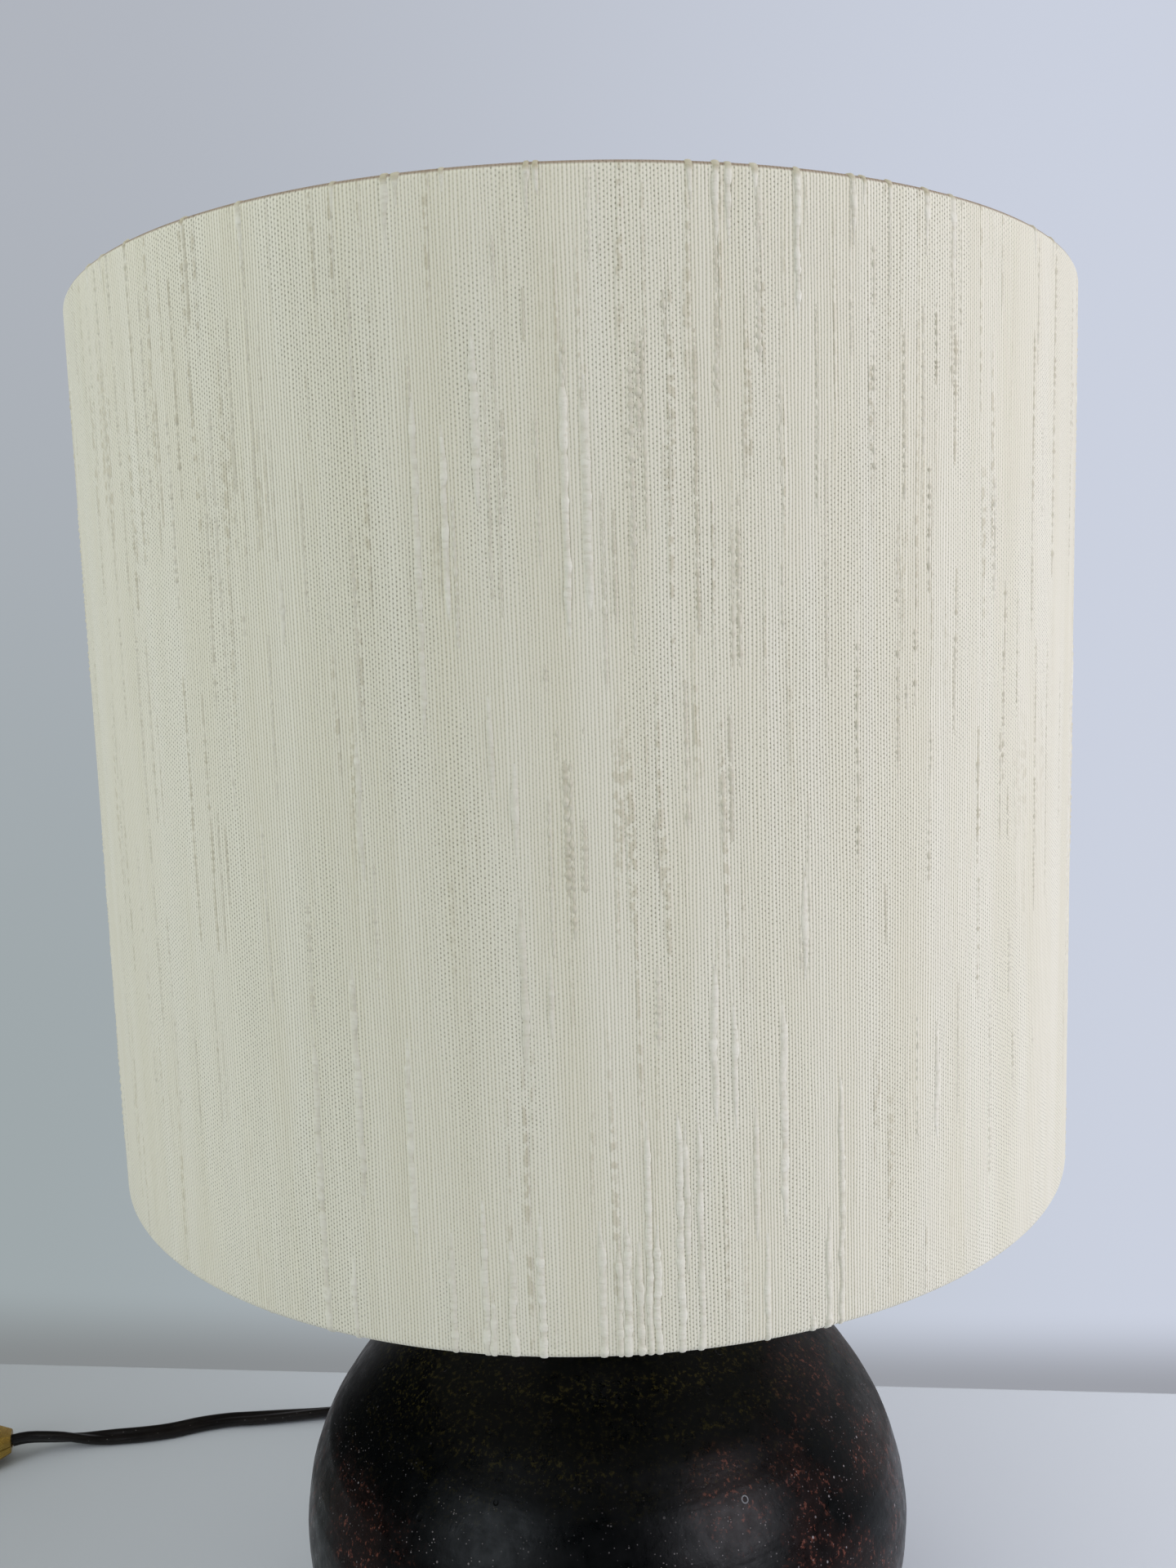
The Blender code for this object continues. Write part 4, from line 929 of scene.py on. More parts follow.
@dataclass(frozen=True)
class Cloth(Finish):
    """Slub cloth: upright ribs, staggered pinholes between them, woven-in thick yarns, and painted light
    and shade on the weave.
    """

    rib: float = 0.00066
    hole_step: float = 0.00082
    stagger: float = 0.47
    hole_half: Pair = (0.27, 0.29)
    # Tan: the woven-in thick yarns' colour, also used as painted shade in the rib valleys.
    tan: Colour = (0.44, 0.39, 0.26)
    # The pinholes are real; their dark colour is painted shade inside them.
    pinhole_shade: Colour = (0.27, 0.26, 0.18)
    # Painted highlight colour for the rib crests.
    pale: Colour = (0.76, 0.745, 0.63)
    edge: Colour = (0.20, 0.13, 0.08)
    crest: float = 0.2098
    nap: float = 0.00015
    sheen: Pair = (0.12, 0.45)

    def dress(self, graph: Graph, shader: bpy.types.NodeInputs) -> None:
        """Wires the weave on the cloth's own map, whose unit is a metre.

        Args:
            graph: the material's tree.
            shader: the shader's inputs.
        """
        cloth = graph.node("UVMap", uv_map="cloth").outputs[0]
        across, along, _ = graph.split(cloth)
        wander = graph.streaks(cloth, (150.0, 14.0, 1.0), 3.0, 0.6)
        ribs = graph.maths("DIVIDE", across, self.rib)
        ribs = graph.plus(ribs, graph.times(wander, 2.2))
        row = graph.maths("ROUND", ribs)
        off = graph.minus(ribs, row)
        rise = graph.times(graph.maths("ABSOLUTE", off), 2.0)
        ridge = graph.span(rise, 0.0, 0.80)
        level = graph.maths("DIVIDE", along, self.hole_step)
        steps = graph.plus(level, graph.times(row, self.stagger))
        steps = graph.plus(steps, graph.streaks(cloth, (260.0, 130.0, 1.0), 2.0))
        beat = graph.minus(graph.maths("FRACT", steps), 0.5)
        wide = graph.maths("POWER", graph.maths("DIVIDE", off, self.hole_half[0]), 2.0)
        tall = graph.maths("POWER", graph.maths("DIVIDE", beat, self.hole_half[1]), 2.0)
        hole = graph.span(graph.plus(wide, tall), 1.0, 0.25)
        open_weave = graph.span(graph.streaks(cloth, (55.0, 13.0, 1.0), 3.0), 0.40, 0.60)
        each = graph.streaks(cloth, (1500.0, 1200.0, 1.0), 1.0)
        hole = graph.times(hole, graph.maths("MULTIPLY_ADD", open_weave, 0.60, 0.40))
        hole = graph.times(hole, graph.span(each, 0.30, 0.62, 0.35, 1.0))
        # Painted shade: the valleys between the ribs are coloured darker tan.
        depth = graph.span(open_weave, 0.0, 1.0, 0.45, 0.12)
        valley_shade = graph.times(graph.span(rise, 0.55, 0.05), depth)
        thick = graph.span(graph.streaks(cloth, (520.0, 15.0, 1.0), 1.5, 0.4), 0.56, 0.66)
        grouped = graph.span(graph.streaks(cloth, (30.0, 8.0, 1.0), 2.0), 0.44, 0.60)
        thick = graph.times(thick, grouped)
        dashes = graph.span(graph.streaks(cloth, (620.0, 520.0, 1.0), 1.0), 0.44, 0.58)
        ladder = graph.times(thick, dashes)
        fibre = graph.streaks(cloth, (5200.0, 1500.0, 1.0), 2.0, 0.6)
        bands = graph.streaks(cloth, (120.0, 5.0, 1.0), 3.0, 0.6)
        tone = graph.mix(graph.span(bands, 0.30, 0.70), self.colour, self.worn)
        # Painted highlight: the rib crests are coloured paler.
        crest_highlight = graph.times(ridge, graph.span(fibre, 0.2, 0.8, 0.15, 0.60))
        tone = graph.mix(crest_highlight, tone, self.pale)
        tone = graph.mix(graph.times(ladder, 0.45), tone, self.tan)
        tone = graph.mix(valley_shade, tone, self.tan)
        # Painted shade: the pinholes are coloured dark.
        tone = graph.mix(graph.times(hole, 0.85), tone, self.pinhole_shade)
        top = graph.maths("ABSOLUTE", graph.minus(along, self.crest))
        tone = graph.mix(graph.span(top, 0.0009, 0.0004, 0.0, 0.80), tone, self.edge)
        graph.feed(shader["Base Color"], tone)
        height = graph.plus(graph.times(ridge, 0.45), graph.times(fibre, 0.30))
        height = graph.minus(height, graph.times(hole, 0.55))
        height = graph.plus(height, graph.times(thick, 0.7))
        height = graph.plus(height, graph.times(ladder, 0.5))
        graph.feed(shader["Normal"], graph.relief(height, self.nap, 0.9))
        weight, roughness = self.sheen
        shader["Sheen Weight"].default_value = weight
        shader["Sheen Roughness"].default_value = roughness


@dataclass(frozen=True)
class Yarn(Finish):
    """The thick yarns that lie on the cloth: twisted fibre, tinted by the piece's own attribute, with
    painted shade where the weft crosses.
    """

    # Painted shade colour for the hollows between weft crossings.
    hollow_shade: Colour = (0.44, 0.40, 0.28)
    nap: float = 0.00016
    sheen: float = 0.15

    def dress(self, graph: Graph, shader: bpy.types.NodeInputs) -> None:
        """Wires the tint and the fibres.

        Args:
            graph: the material's tree.
            shader: the shader's inputs.
        """
        place = graph.place()
        tint = graph.node("Attribute", attribute_name="tint").outputs["Fac"]
        fibre = graph.noise(graph.stretched(place, (1.0, 1.0, 0.5)), 3200.0, 3.0, 0.65)
        crossing = graph.noise(graph.stretched(place, (0.45, 0.45, 1.0)), 1500.0, 2.0, 0.5)
        clumps = graph.noise(place, 520.0, 2.0, 0.5)
        tone = graph.mix(tint, self.colour, self.worn)
        # Painted shade: darker where the crossing noise, and with it the bump, is low.
        hollow_shade_share = graph.times(graph.span(crossing, 0.52, 0.30), 0.30)
        graph.feed(shader["Base Color"], graph.mix(hollow_shade_share, tone, self.hollow_shade))
        height = graph.plus(graph.times(fibre, 0.5), graph.plus(crossing, clumps))
        graph.feed(shader["Normal"], graph.relief(height, self.nap))
        shader["Sheen Weight"].default_value = self.sheen


@dataclass(frozen=True)
class Liner(Finish):
    """The milky sheet behind the cloth: fine grain and a slow yellowing in broad patches."""

    def dress(self, graph: Graph, shader: bpy.types.NodeInputs) -> None:
        """Wires the grain and the yellowing.

        Args:
            graph: the material's tree.
            shader: the shader's inputs.
        """
        place = graph.place()
        age = Effect.MOTTLE.read(graph, place, 14.0, 0.7)
        graph.feed(shader["Base Color"], graph.mix(age, self.colour, self.worn))
        grain = graph.noise(graph.stretched(place, (1.0, 1.0, 0.3)), 1400.0, 3.0, 0.6)
        rough = graph.span(grain, 0.2, 0.8, self.roughness - 0.08, self.roughness + 0.1)
        graph.feed(shader["Roughness"], rough)
        graph.feed(shader["Normal"], graph.relief(grain, 0.00003))


@dataclass(frozen=True)
class Felt(Finish):
    """Pressed felt: matted fibres in every direction, with lighter lint."""

    lint: Colour = (0.35, 0.36, 0.32)
    nap: float = 0.00035
    sheen: float = 0.4

    def dress(self, graph: Graph, shader: bpy.types.NodeInputs) -> None:
        """Wires the fibres and the lint.

        Args:
            graph: the material's tree.
            shader: the shader's inputs.
        """
        place = graph.place()
        mat = graph.noise(graph.stretched(place, (1.0, 0.25, 1.0), 0.6), 1800.0, 4.0, 0.7)
        cross = graph.noise(graph.stretched(place, (0.25, 1.0, 1.0), 0.2), 1500.0, 4.0, 0.7)
        fibre = graph.larger(mat, cross)
        lint = Effect.SPECKLE.read(graph, place, 500.0, 0.05)
        tone = graph.mix(graph.span(fibre, 0.35, 0.80), self.colour, self.worn)
        tone = graph.mix(graph.times(lint, 0.5), tone, self.lint)
        graph.feed(shader["Base Color"], tone)
        graph.feed(shader["Normal"], graph.relief(fibre, self.nap))
        shader["Sheen Weight"].default_value = self.sheen


@dataclass(frozen=True)
class Glass(Finish):
    """Clear blown glass with a faint film of dust."""

    index: float = 1.45
    waves: float = 0.0004

    def dress(self, graph: Graph, shader: bpy.types.NodeInputs) -> None:
        """Wires the film and the light that goes through.

        Args:
            graph: the material's tree.
            shader: the shader's inputs.
        """
        place = graph.place()
        film = Effect.MOTTLE.read(graph, place, 60.0, 1.0)
        graph.feed(shader["Roughness"], graph.span(film, 0.0, 1.0, self.roughness, self.roughness + 0.06))
        graph.feed(shader["Base Color"], graph.mix(film, self.colour, self.worn))
        graph.feed(shader["Normal"], graph.relief(graph.noise(place, 45.0, 2.0), self.waves, 0.3))
        shader["Transmission Weight"].default_value = 1.0
        shader["IOR"].default_value = self.index


GLAZE = Glaze("stoneware_glaze", (0.0008, 0.0011, 0.0012), 0.29)
FELT = Felt("felt", (0.020, 0.030, 0.018), 0.95, worn=(0.060, 0.080, 0.050))
CLOTH = Cloth("shade_fabric", (0.665, 0.64, 0.50), 0.85, worn=(0.72, 0.70, 0.58))
YARN = Yarn("shade_fabric", (0.72, 0.705, 0.60), 0.85, worn=(0.44, 0.40, 0.275), name="slub_yarn_finish")
LINER = Liner("shade_liner", (0.80, 0.79, 0.74), 0.50, worn=(0.74, 0.69, 0.54))
ENAMEL = Moulded("white_wire", (0.78, 0.77, 0.73), 0.34, worn=(0.64, 0.61, 0.53), flow=120.0, peel=700.0)
BRASS = Metal("brass", (0.72, 0.50, 0.18), 0.26, 1.0, worn=(0.36, 0.22, 0.07))
GOLD = Metal("gold_lacquer", (0.42, 0.27, 0.055), 0.34, 0.75, worn=(0.20, 0.12, 0.03), tarnish=0.7)
STEEL = Metal("steel", (0.58, 0.58, 0.60), 0.30, 1.0, worn=(0.30, 0.29, 0.28))
BAKELITE = Moulded("bakelite", (0.016, 0.012, 0.010), 0.28, worn=(0.040, 0.026, 0.018), flow=130.0)
CHINA = Moulded("porcelain", (0.82, 0.81, 0.77), 0.22, worn=(0.74, 0.72, 0.66))
BULB_GLASS = Glass("bulb_glass", (0.96, 0.96, 0.95), 0.02, worn=(0.90, 0.90, 0.87))
CAP_METAL = Metal("bulb_cap_metal", (0.70, 0.70, 0.68), 0.28, 1.0, worn=(0.42, 0.40, 0.36))
BLACK_GLASS = Moulded("black_glass", (0.010, 0.010, 0.012), 0.12, worn=(0.030, 0.030, 0.034))
SOLDER = Metal("solder", (0.52, 0.52, 0.52), 0.42, 1.0, worn=(0.30, 0.30, 0.29))
TUNGSTEN = Metal("tungsten", (0.18, 0.18, 0.19), 0.45, 1.0, worn=(0.08, 0.08, 0.09))
FLEX = Moulded(
    "cord_plastic", (0.0050, 0.0042, 0.0038), 0.40, worn=(0.0100, 0.0075, 0.0065), peel=1300.0, gloss=0.28
)
BUBBLE = Moulded(
    "stoneware_glaze", (0.170, 0.175, 0.185), 0.30, worn=(0.080, 0.080, 0.085), name="burst_bubble_finish"
)
WIRE_BROWN = Moulded("wire_brown", (0.11, 0.045, 0.020), 0.42, worn=(0.15, 0.07, 0.03))
WIRE_BLUE = Moulded("wire_blue", (0.025, 0.070, 0.24), 0.42, worn=(0.05, 0.11, 0.30))
TIE = Moulded("tie_plastic", (0.018, 0.018, 0.019), 0.48, worn=(0.035, 0.035, 0.037), peel=1600.0)
FINISHES = {
    finish.slot: finish
    for finish in (
        GLAZE, FELT, CLOTH, LINER, ENAMEL, BRASS, GOLD, STEEL, BAKELITE, CHINA, BULB_GLASS,
        CAP_METAL, BLACK_GLASS, SOLDER, TUNGSTEN, FLEX, WIRE_BROWN, WIRE_BLUE, TIE,
    )
}


class Body(Enum):
    """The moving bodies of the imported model."""

    BASE = "base"
    SHADE = "shade"
    BULB_LIFT = "bulb_lift"
    BULB = "bulb"
    ROCKER = "rocker"


def set_down(
    name: str,
    bm: bmesh.types.BMesh,
    finish: Finish,
    body: Body,
    nodes: Sequence[str] = (),
    sharp: float = 35.0,
) -> bpy.types.Object:
    """Turns a body into a finished piece that rides where it belongs.

    Args:
        name: the piece's name.
        bm: the body, which is used up.
        finish: its surface.
        body: what it moves with.
        nodes: the model's nodes that it stands for.
        sharp: the angle, in degrees, past which an edge stays sharp.

    Returns:
        The piece.
    """
    bmesh.ops.remove_doubles(bm, verts=bm.verts, dist=WELD)
    bmesh.ops.recalc_face_normals(bm, faces=bm.faces)
    mesh = bpy.data.meshes.new(name)
    bm.to_mesh(mesh)
    bm.free()
    mesh.shade_smooth()
    mesh.set_sharp_from_angle(angle=math.radians(sharp))
    made = bpy.data.objects.new(name, mesh)
    bpy.context.scene.collection.objects.link(made)
    mesh.materials.append(finish.material())
    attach(made, body.value)
    if nodes:
        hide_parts(*nodes)
    LOG.info("%s: %d faces, rides on %s", name, len(mesh.polygons), body.value)
    return made


# The photograph's camera


@dataclass(frozen=True)
class Viewpoint:
    """The photograph's camera: its place, its three directions and its picture."""

    place: Triple = (0.0, -0.34025, 0.30293)
    right: Triple = (0.99954627, -0.00533328, -0.02964473)
    upward: Triple = (0.03006021, 0.11430855, 0.9929904)
    forward: Triple = (0.00190725, 0.99343098, -0.11441701)
    lens: float = 28.425
    sensor: float = 36.0
    middle: Pair = (720.0, 960.0)
    long_side: float = 1920.0

    def ray(self, x: float, y: float) -> Vector:
        """Gives the direction in which a pixel looks.

        Args:
            x: pixels from the picture's left.
            y: pixels from its top.

        Returns:
            The direction, one long.
        """
        focal = self.lens / self.sensor * self.long_side
        aside = (x - self.middle[0]) / focal
        down = (y - self.middle[1]) / focal
        return (Vector(self.forward) + Vector(self.right) * aside - Vector(self.upward) * down).normalized()

    def on_drum(self, x: float, y: float, radius: float) -> Optional[Pair]:
        """Finds the spot of an upright drum about the Z axis that a pixel shows.

        Args:
            x: pixels from the picture's left.
            y: pixels from its top.
            radius: the drum's radius.

        Returns:
            The spot's angle and height, or none where the pixel looks past the drum.
        """
        ray = self.ray(x, y)
        place = Vector(self.place)
        a = ray.x**2 + ray.y**2
        b = 2 * (place.x * ray.x + place.y * ray.y)
        c = place.x**2 + place.y**2 - radius**2
        inside = b * b - 4 * a * c
        if inside < 0:
            return None
        hit = place + ray * ((-b - math.sqrt(inside)) / (2 * a))
        return math.atan2(hit.y, hit.x), hit.z

    def set_up(self) -> None:
        """Makes the camera and gives it to the scene."""
        data = bpy.data.cameras.new("photo_camera")
        data.lens = self.lens
        data.sensor_width = self.sensor
        data.clip_start = 0.01
        made = bpy.data.objects.new("photo_camera", data)
        bpy.context.scene.collection.objects.link(made)
        turn = Matrix((self.right, self.upward, [-v for v in self.forward])).transposed().to_4x4()
        made.matrix_world = Matrix.Translation(Vector(self.place)) @ turn
        bpy.context.scene.camera = made


@dataclass(frozen=True)
class RoomLight:
    """A soft lamp of the room: where it hangs, what it points at, its size, power and tint."""

    name: str
    place: Triple
    target: Triple
    size: Pair
    power: float
    tint: Colour

    def hang(self) -> None:
        """Hangs the lamp."""
        data = bpy.data.lights.new(self.name, "AREA")
        data.shape = "RECTANGLE"
        data.size, data.size_y = self.size
        data.energy = self.power
        data.color = self.tint
        made = bpy.data.objects.new(self.name, data)
        bpy.context.scene.collection.objects.link(made)
        made.visible_glossy = False
        made.location = self.place
        towards = Vector(self.target) - Vector(self.place)
        made.rotation_euler = towards.to_track_quat("-Z", "Y").to_euler()


@dataclass
class Studio:
    """The table, the lamps of the room and what shows behind."""

    back_left: Triple = (-0.258, 0.166, 0.0)
    back_right: Triple = (0.224, 0.120, 0.0)
    table_reach: float = 1.6
    table_thick: float = 0.03
    # Painted light on the backdrop wall: a shadow along its foot, shade at the left and more light at the
    # right.
    cove_shadow_reach: float = 0.050
    ambient: Colour = (0.52, 0.53, 0.515)
    wall_shaded_left: Colour = (0.345, 0.390, 0.405)
    wall_shaded_left_top: Colour = (0.430, 0.455, 0.505)
    wall_lit_right: Colour = (0.600, 0.640, 0.745)
    # Painted light on the table: shaded at the left, lighter at the right, and darker far to the right to
    # damp the right lamp's bright pool.
    table_shaded_left: Colour = (0.375, 0.397, 0.414)
    table_lit_right: Colour = (0.72, 0.76, 0.83)
    table_damped_far: Colour = (0.16, 0.165, 0.178)
    # Painted shadow colour along the wall's foot.
    wall_cove_shadow: Colour = (0.17, 0.165, 0.165)
    gloss_dim: Colour = (0.02, 0.02, 0.02)
    gloss_pale: Colour = (1.0, 1.02, 1.08)
    lamps: tuple[RoomLight, ...] = (
        RoomLight("window_right", (1.14, -0.42, 0.43), (0, 0, 0.2), (0.6, 0.9), 12.2, (0.88, 0.85, 1.0)),
        RoomLight("window_left", (-1.06, -0.52, 0.64), (0, 0, 0.2), (0.42, 0.8), 6.3, (0.88, 0.93, 1.0)),
        RoomLight("ceiling", (-0.3, -0.3, 1.6), (0, 0, 0.1), (1.6, 1.4), 4.5, (1.0, 1.0, 0.95)),
    )
    sheen_edge: Pair = (0.38, 0.17)
    sheens: tuple[tuple[float, float, Colour], ...] = (
        (math.radians(51), math.radians(30), (6.0, 6.0, 6.6)),
        (math.radians(-47), math.radians(29), (3.1, 3.4, 3.7)),
    )

    def set_lights(self) -> None:
        """Hangs the bright lamp on the right, the weak one on the left and a broad one above."""
        for lamp in self.lamps:
            lamp.hang()

    def set_world(self, eye: Vector) -> None:
        """Gives the room's light, and the pale wall that the camera and gloss see, with painted light and
        shade: darker at the left, lighter at the right, and a painted shadow along its foot.

        Args:
            eye: where the camera stands, from which the wall's shaded foot is placed.
        """
        world = bpy.data.worlds.new("room")
        world.use_nodes = True
        bpy.context.scene.world = world
        graph = Graph(world.node_tree)
        direction = graph.node("TexCoord").outputs["Generated"]
        x, y, z = graph.split(direction)
        # Painted light on the wall: darker low at the left, lighter towards the right.
        left = graph.mix(graph.span(z, -0.35, 0.45), self.wall_shaded_left, self.wall_shaded_left_top)
        wall = graph.mix(graph.span(x, -0.45, 0.45), left, self.wall_lit_right)
        across = (Vector(self.back_right) - eye).cross(Vector(self.back_left) - eye).normalized()
        above = graph.towards("DOT_PRODUCT", direction, across * (1 if across.z > 0 else -1))
        # Painted shadow along the wall's foot, where it meets the table.
        foot = graph.span(above, self.cove_shadow_reach, 0.0)
        wall = graph.mix(graph.times(foot, 0.60), wall, self.wall_cove_shadow)
        rays = graph.node("LightPath").outputs
        far = graph.span(y, 0.70, 0.95, 0.0, 0.40)
        right = graph.times(graph.span(x, 0.30, 0.75), graph.span(y, -0.15, 0.40, 0.0, 0.50))
        gloss = graph.mix(graph.larger(far, right), self.gloss_dim, self.gloss_pale)
        rim, heart = (math.cos(angle) for angle in self.sheen_edge)
        for turn, lift, strength in self.sheens:
            level = math.cos(lift)
            aim = (math.sin(turn) * level, -math.cos(turn) * level, math.sin(lift))
            share = graph.span(graph.towards("DOT_PRODUCT", direction, aim), rim, heart)
            gloss = graph.mix(1.0, gloss, graph.mix(share, (0.0, 0.0, 0.0), strength), "ADD")
        seen = graph.mix(rays["Is Glossy Ray"], self.ambient, gloss)
        seen = graph.mix(rays["Is Camera Ray"], seen, wall)
        seen = graph.mix(rays["Is Transmission Ray"], seen, wall)
        shader = world.node_tree.nodes["Background"]
        graph.feed(shader.inputs["Color"], seen)

    def set_table(self) -> None:
        """Lays the pale table that the lamp stands on, its back edge along the wall, with painted light and
        shade in its colour.
        """
        reach = self.table_reach
        bm = block((-reach, -reach, -self.table_thick), (reach, 0.0, 0.0), 0.002)
        edge = Vector(self.back_right) - Vector(self.back_left)
        turn = Matrix.Rotation(math.atan2(edge.y, edge.x), 4, "Z")
        put(bm, Matrix.Translation(Vector(self.back_left).lerp(Vector(self.back_right), 0.5)) @ turn)
        mesh = bpy.data.meshes.new("table")
        bm.to_mesh(mesh)
        bm.free()
        made = bpy.data.objects.new("table", mesh)
        bpy.context.scene.collection.objects.link(made)
        material = bpy.data.materials.new("table_paint")
        material.use_nodes = True
        graph = Graph(material.node_tree)
        shader = material.node_tree.nodes["Principled BSDF"].inputs
        place = graph.place()
        # Painted light: the table's colour runs from shaded at the left to lighter at the right, then
        # darkens again far right under the right lamp.
        shade = graph.plus(graph.split(place)[0], graph.times(graph.noise(place, 5.0, 3.0), 0.05))
        tone = graph.mix(graph.span(shade, -0.35, 0.30), self.table_shaded_left, self.table_lit_right)
        tone = graph.mix(graph.span(shade, 0.27, 0.62), tone, self.table_damped_far)
        graph.feed(shader["Base Color"], tone)
        shader["Roughness"].default_value = 0.60
        shader["Specular IOR Level"].default_value = 0.06
        graph.feed(shader["Normal"], graph.relief(graph.noise(place, 500.0, 3.0), 0.00002))
        mesh.materials.append(material)

    def set_up(self, eye: Vector) -> None:
        """Sets the whole room.

        Args:
            eye: where the camera stands.
        """
        bpy.context.scene.view_settings.view_transform = "Standard"
        self.set_world(eye)
        self.set_lights()
        self.set_table()


# The cord


@dataclass
class Flex:
    """The flat twin cord: two cores side by side, twisted a little where it lies loose."""

    width: float = 0.0058
    thick: float = 0.0032
    groove: float = 0.00026
    step: float = 0.0105
    fine_step: float = 0.0026
    clearance: float = 0.0001
    tube_radius: float = 0.002154
    flat_z: float = 0.002254
    mouth: Triple = (0.0, 0.088735, 0.018)
    heading: float = CORD_HEADING
    nose: Triple = (-0.2259, 0.1008, 0.00715)
    switch_length: float = 0.062
    coil_centre: Pair = COIL_CENTRE
    coil_radius: float = COIL_RADIUS
    coil_turns: float = 3.58
    coil_pitch: float = 0.0049
    coil_layer: float = 0.0050
    coil_base: float = 0.0033541
    climb_turns: float = 0.5
    loop_points: int = 24
    end_length: float = 0.026
    plug_axis: float = 0.00695
    lead_turns: tuple[Pair, ...] = (
        (0.000, 0.0), (0.040, 4.0), (0.095, 22.0), (0.128, 30.0), (0.168, -10.0),
        (0.196, -27.0), (0.214, -30.0), (0.240, 50.0), (0.254, 56.0),
    )
    coil_lean: float = 45.0

    def outline(self) -> list[Pair]:
        """Gives the section: two round cores with a shallow groove between them.

        Returns:
            Its (sideways, upward) points.
        """
        core = self.thick / 2
        aside = self.width / 2 - core
        reach = math.radians(112)
        right = arc((aside, 0), (core, core), -reach, reach, 9)
        left = arc((-aside, 0), (core, core), math.pi - reach, math.pi + reach, 9)
        dip = core - self.groove
        half = aside * 0.25
        return right + [(half, dip), (-half, dip)] + left + [(-half, -dip), (half, -dip)]

    def half_height(self, turn: float) -> float:
        """Gives how far the section reaches up from its middle when it is turned."""
        core = self.thick / 2
        return (self.width / 2 - core) * abs(math.sin(turn)) + core

    def lifted(self, path: Sequence[Vector], turns: Sequence[float]) -> list[Vector]:
        """Raises a path where its turned section would sink into the table.

        Args:
            path: the cord's middle.
            turns: how far the section is turned at each point.

        Returns:
            The raised path.
        """
        raised = []
        for place, turn in zip(path, turns):
            low = self.half_height(turn) + self.clearance
            raised.append(Vector((place.x, place.y, max(place.z, low))))
        return raised

    def turns_along(self, path: Sequence[Vector], keys: Sequence[Pair]) -> list[float]:
        """Reads the section's turn at each point of a path.

        Args:
            path: the points.
            keys: (length from the start, degrees) pairs.

        Returns:
            The turns, in radians.
        """
        walked = 0.0
        turns = []
        for i, place in enumerate(path):
            walked += (place - path[i - 1]).length if i else 0.0
            turns.append(math.radians(between(keys, walked)))
        return turns

    def lead_route(self) -> list[Sequence[float]]:
        """Gives the route from the sleeve's mouth along the table to the switch.

        Returns:
            The route's own points.
        """
        ahead = Vector((math.cos(self.heading), math.sin(self.heading), 0))
        start = Vector(self.mouth) + Vector((0, GAP, 0))
        end = Vector(self.nose) - ahead * GAP
        z = self.flat_z
        return [
            start,
            start + Vector((0, self.width, 0)),
            (-0.0020, 0.1045, 0.0148),
            (-0.0080, 0.1145, 0.0095),
            (-0.0190, 0.1220, 0.0050),
            (-0.0350, 0.1263, 0.0028),
            (-0.0560, 0.1262, z),
            (-0.0803, 0.1231, z),
            (-0.1077, 0.1203, z),
            (-0.1325, 0.1180, z),
            (-0.1531, 0.1164, z),
            (-0.1676, 0.1117, z),
            (-0.1828, 0.1090, z),
            (-0.1995, 0.1078, 0.0026),
            (-0.2114, 0.1055, 0.0050),
            end - ahead * self.width,
            end,
        ]

    def coil_points(self) -> list[Vector]:
        """Gives the coil: a layer that winds in, a climb of half a turn and a layer that winds out.

        Returns:
            The points that its middle follows.
        """
        inner = self.coil_radius - self.coil_turns * self.coil_pitch / 2
        turns = 2 * self.coil_turns
        count = round(turns * self.loop_points)
        points = []
        for i in range(count + 1):
            turn = turns * i / count
            radius = inner + self.coil_pitch * abs(turn - self.coil_turns)
            climb = min(1.0, max(0.0, (turn - self.coil_turns) / self.climb_turns + 0.5))
            angle = math.pi + TURN * turn
            lift = self.coil_base + self.coil_layer * (1 - math.cos(math.pi * climb)) / 2
            spoke = Vector((math.cos(angle), math.sin(angle), 0)) * radius
            points.append(Vector((*self.coil_centre, lift)) + spoke)
        start = (points[0] - points[1]).normalized() * 2 * self.tube_radius
        end = (points[-1] - points[-2]).normalized() * 2 * self.tube_radius
        return [points[0] + start] + points + [points[-1] + end]

    def rest_route(self) -> tuple[list[Vector], int, int]:
        """Gives the route from the switch through the coil to the plug.

        Returns:
            The points, and the numbers of the coil's first and last point.
        """
        ahead = Vector((math.cos(self.heading), math.sin(self.heading), 0))
        coil = self.coil_points()
        along = (coil[0] - coil[1]).normalized()
        meets = coil[0] + along * GAP
        start = Vector(self.nose) + ahead * (self.switch_length + GAP)
        tail = smooth_route(
            [
                start,
                start + ahead * self.width,
                (-0.3053, 0.0752, 0.0045),
                (-0.3152, 0.0670, 0.0034),
                (-0.3230, 0.0555, 0.0034),
                (-0.3280, 0.0420, 0.0034),
                meets + along * self.width,
                meets,
            ],
            self.step,
        )
        leaving = (coil[-1] - coil[-2]).normalized()
        flat = Vector((leaving.x, leaving.y, 0)).normalized()
        first = coil[-1] + leaving * GAP
        mouth = first + flat * self.end_length
        mouth.z = self.plug_axis
        end = smooth_route([first, first + flat * self.width, mouth - flat * self.width, mouth], self.step)
        return tail[:-1] + coil[1:-1] + end[1:], len(tail) - 1, len(tail) + len(coil) - 4

    def build_lead(self) -> tuple[bpy.types.Object, list[Vector]]:
        """Makes the cord from the ball to the switch.

        Returns:
            The piece and the points that it follows.
        """
        path = smooth_route(self.lead_route(), self.step)
        path = self.lifted(path, self.turns_along(path, self.lead_turns))
        fine = even_points(smooth_route([path[0], *path, path[-1]], self.fine_step)[1:-1], self.fine_step)
        turns = self.turns_along(fine, self.lead_turns)
        bm = swept(self.lifted(fine, turns), self.outline(), turns)
        return set_down("flex_lead", bm, FLEX, Body.BASE, ["cord_lead"], 60.0), path

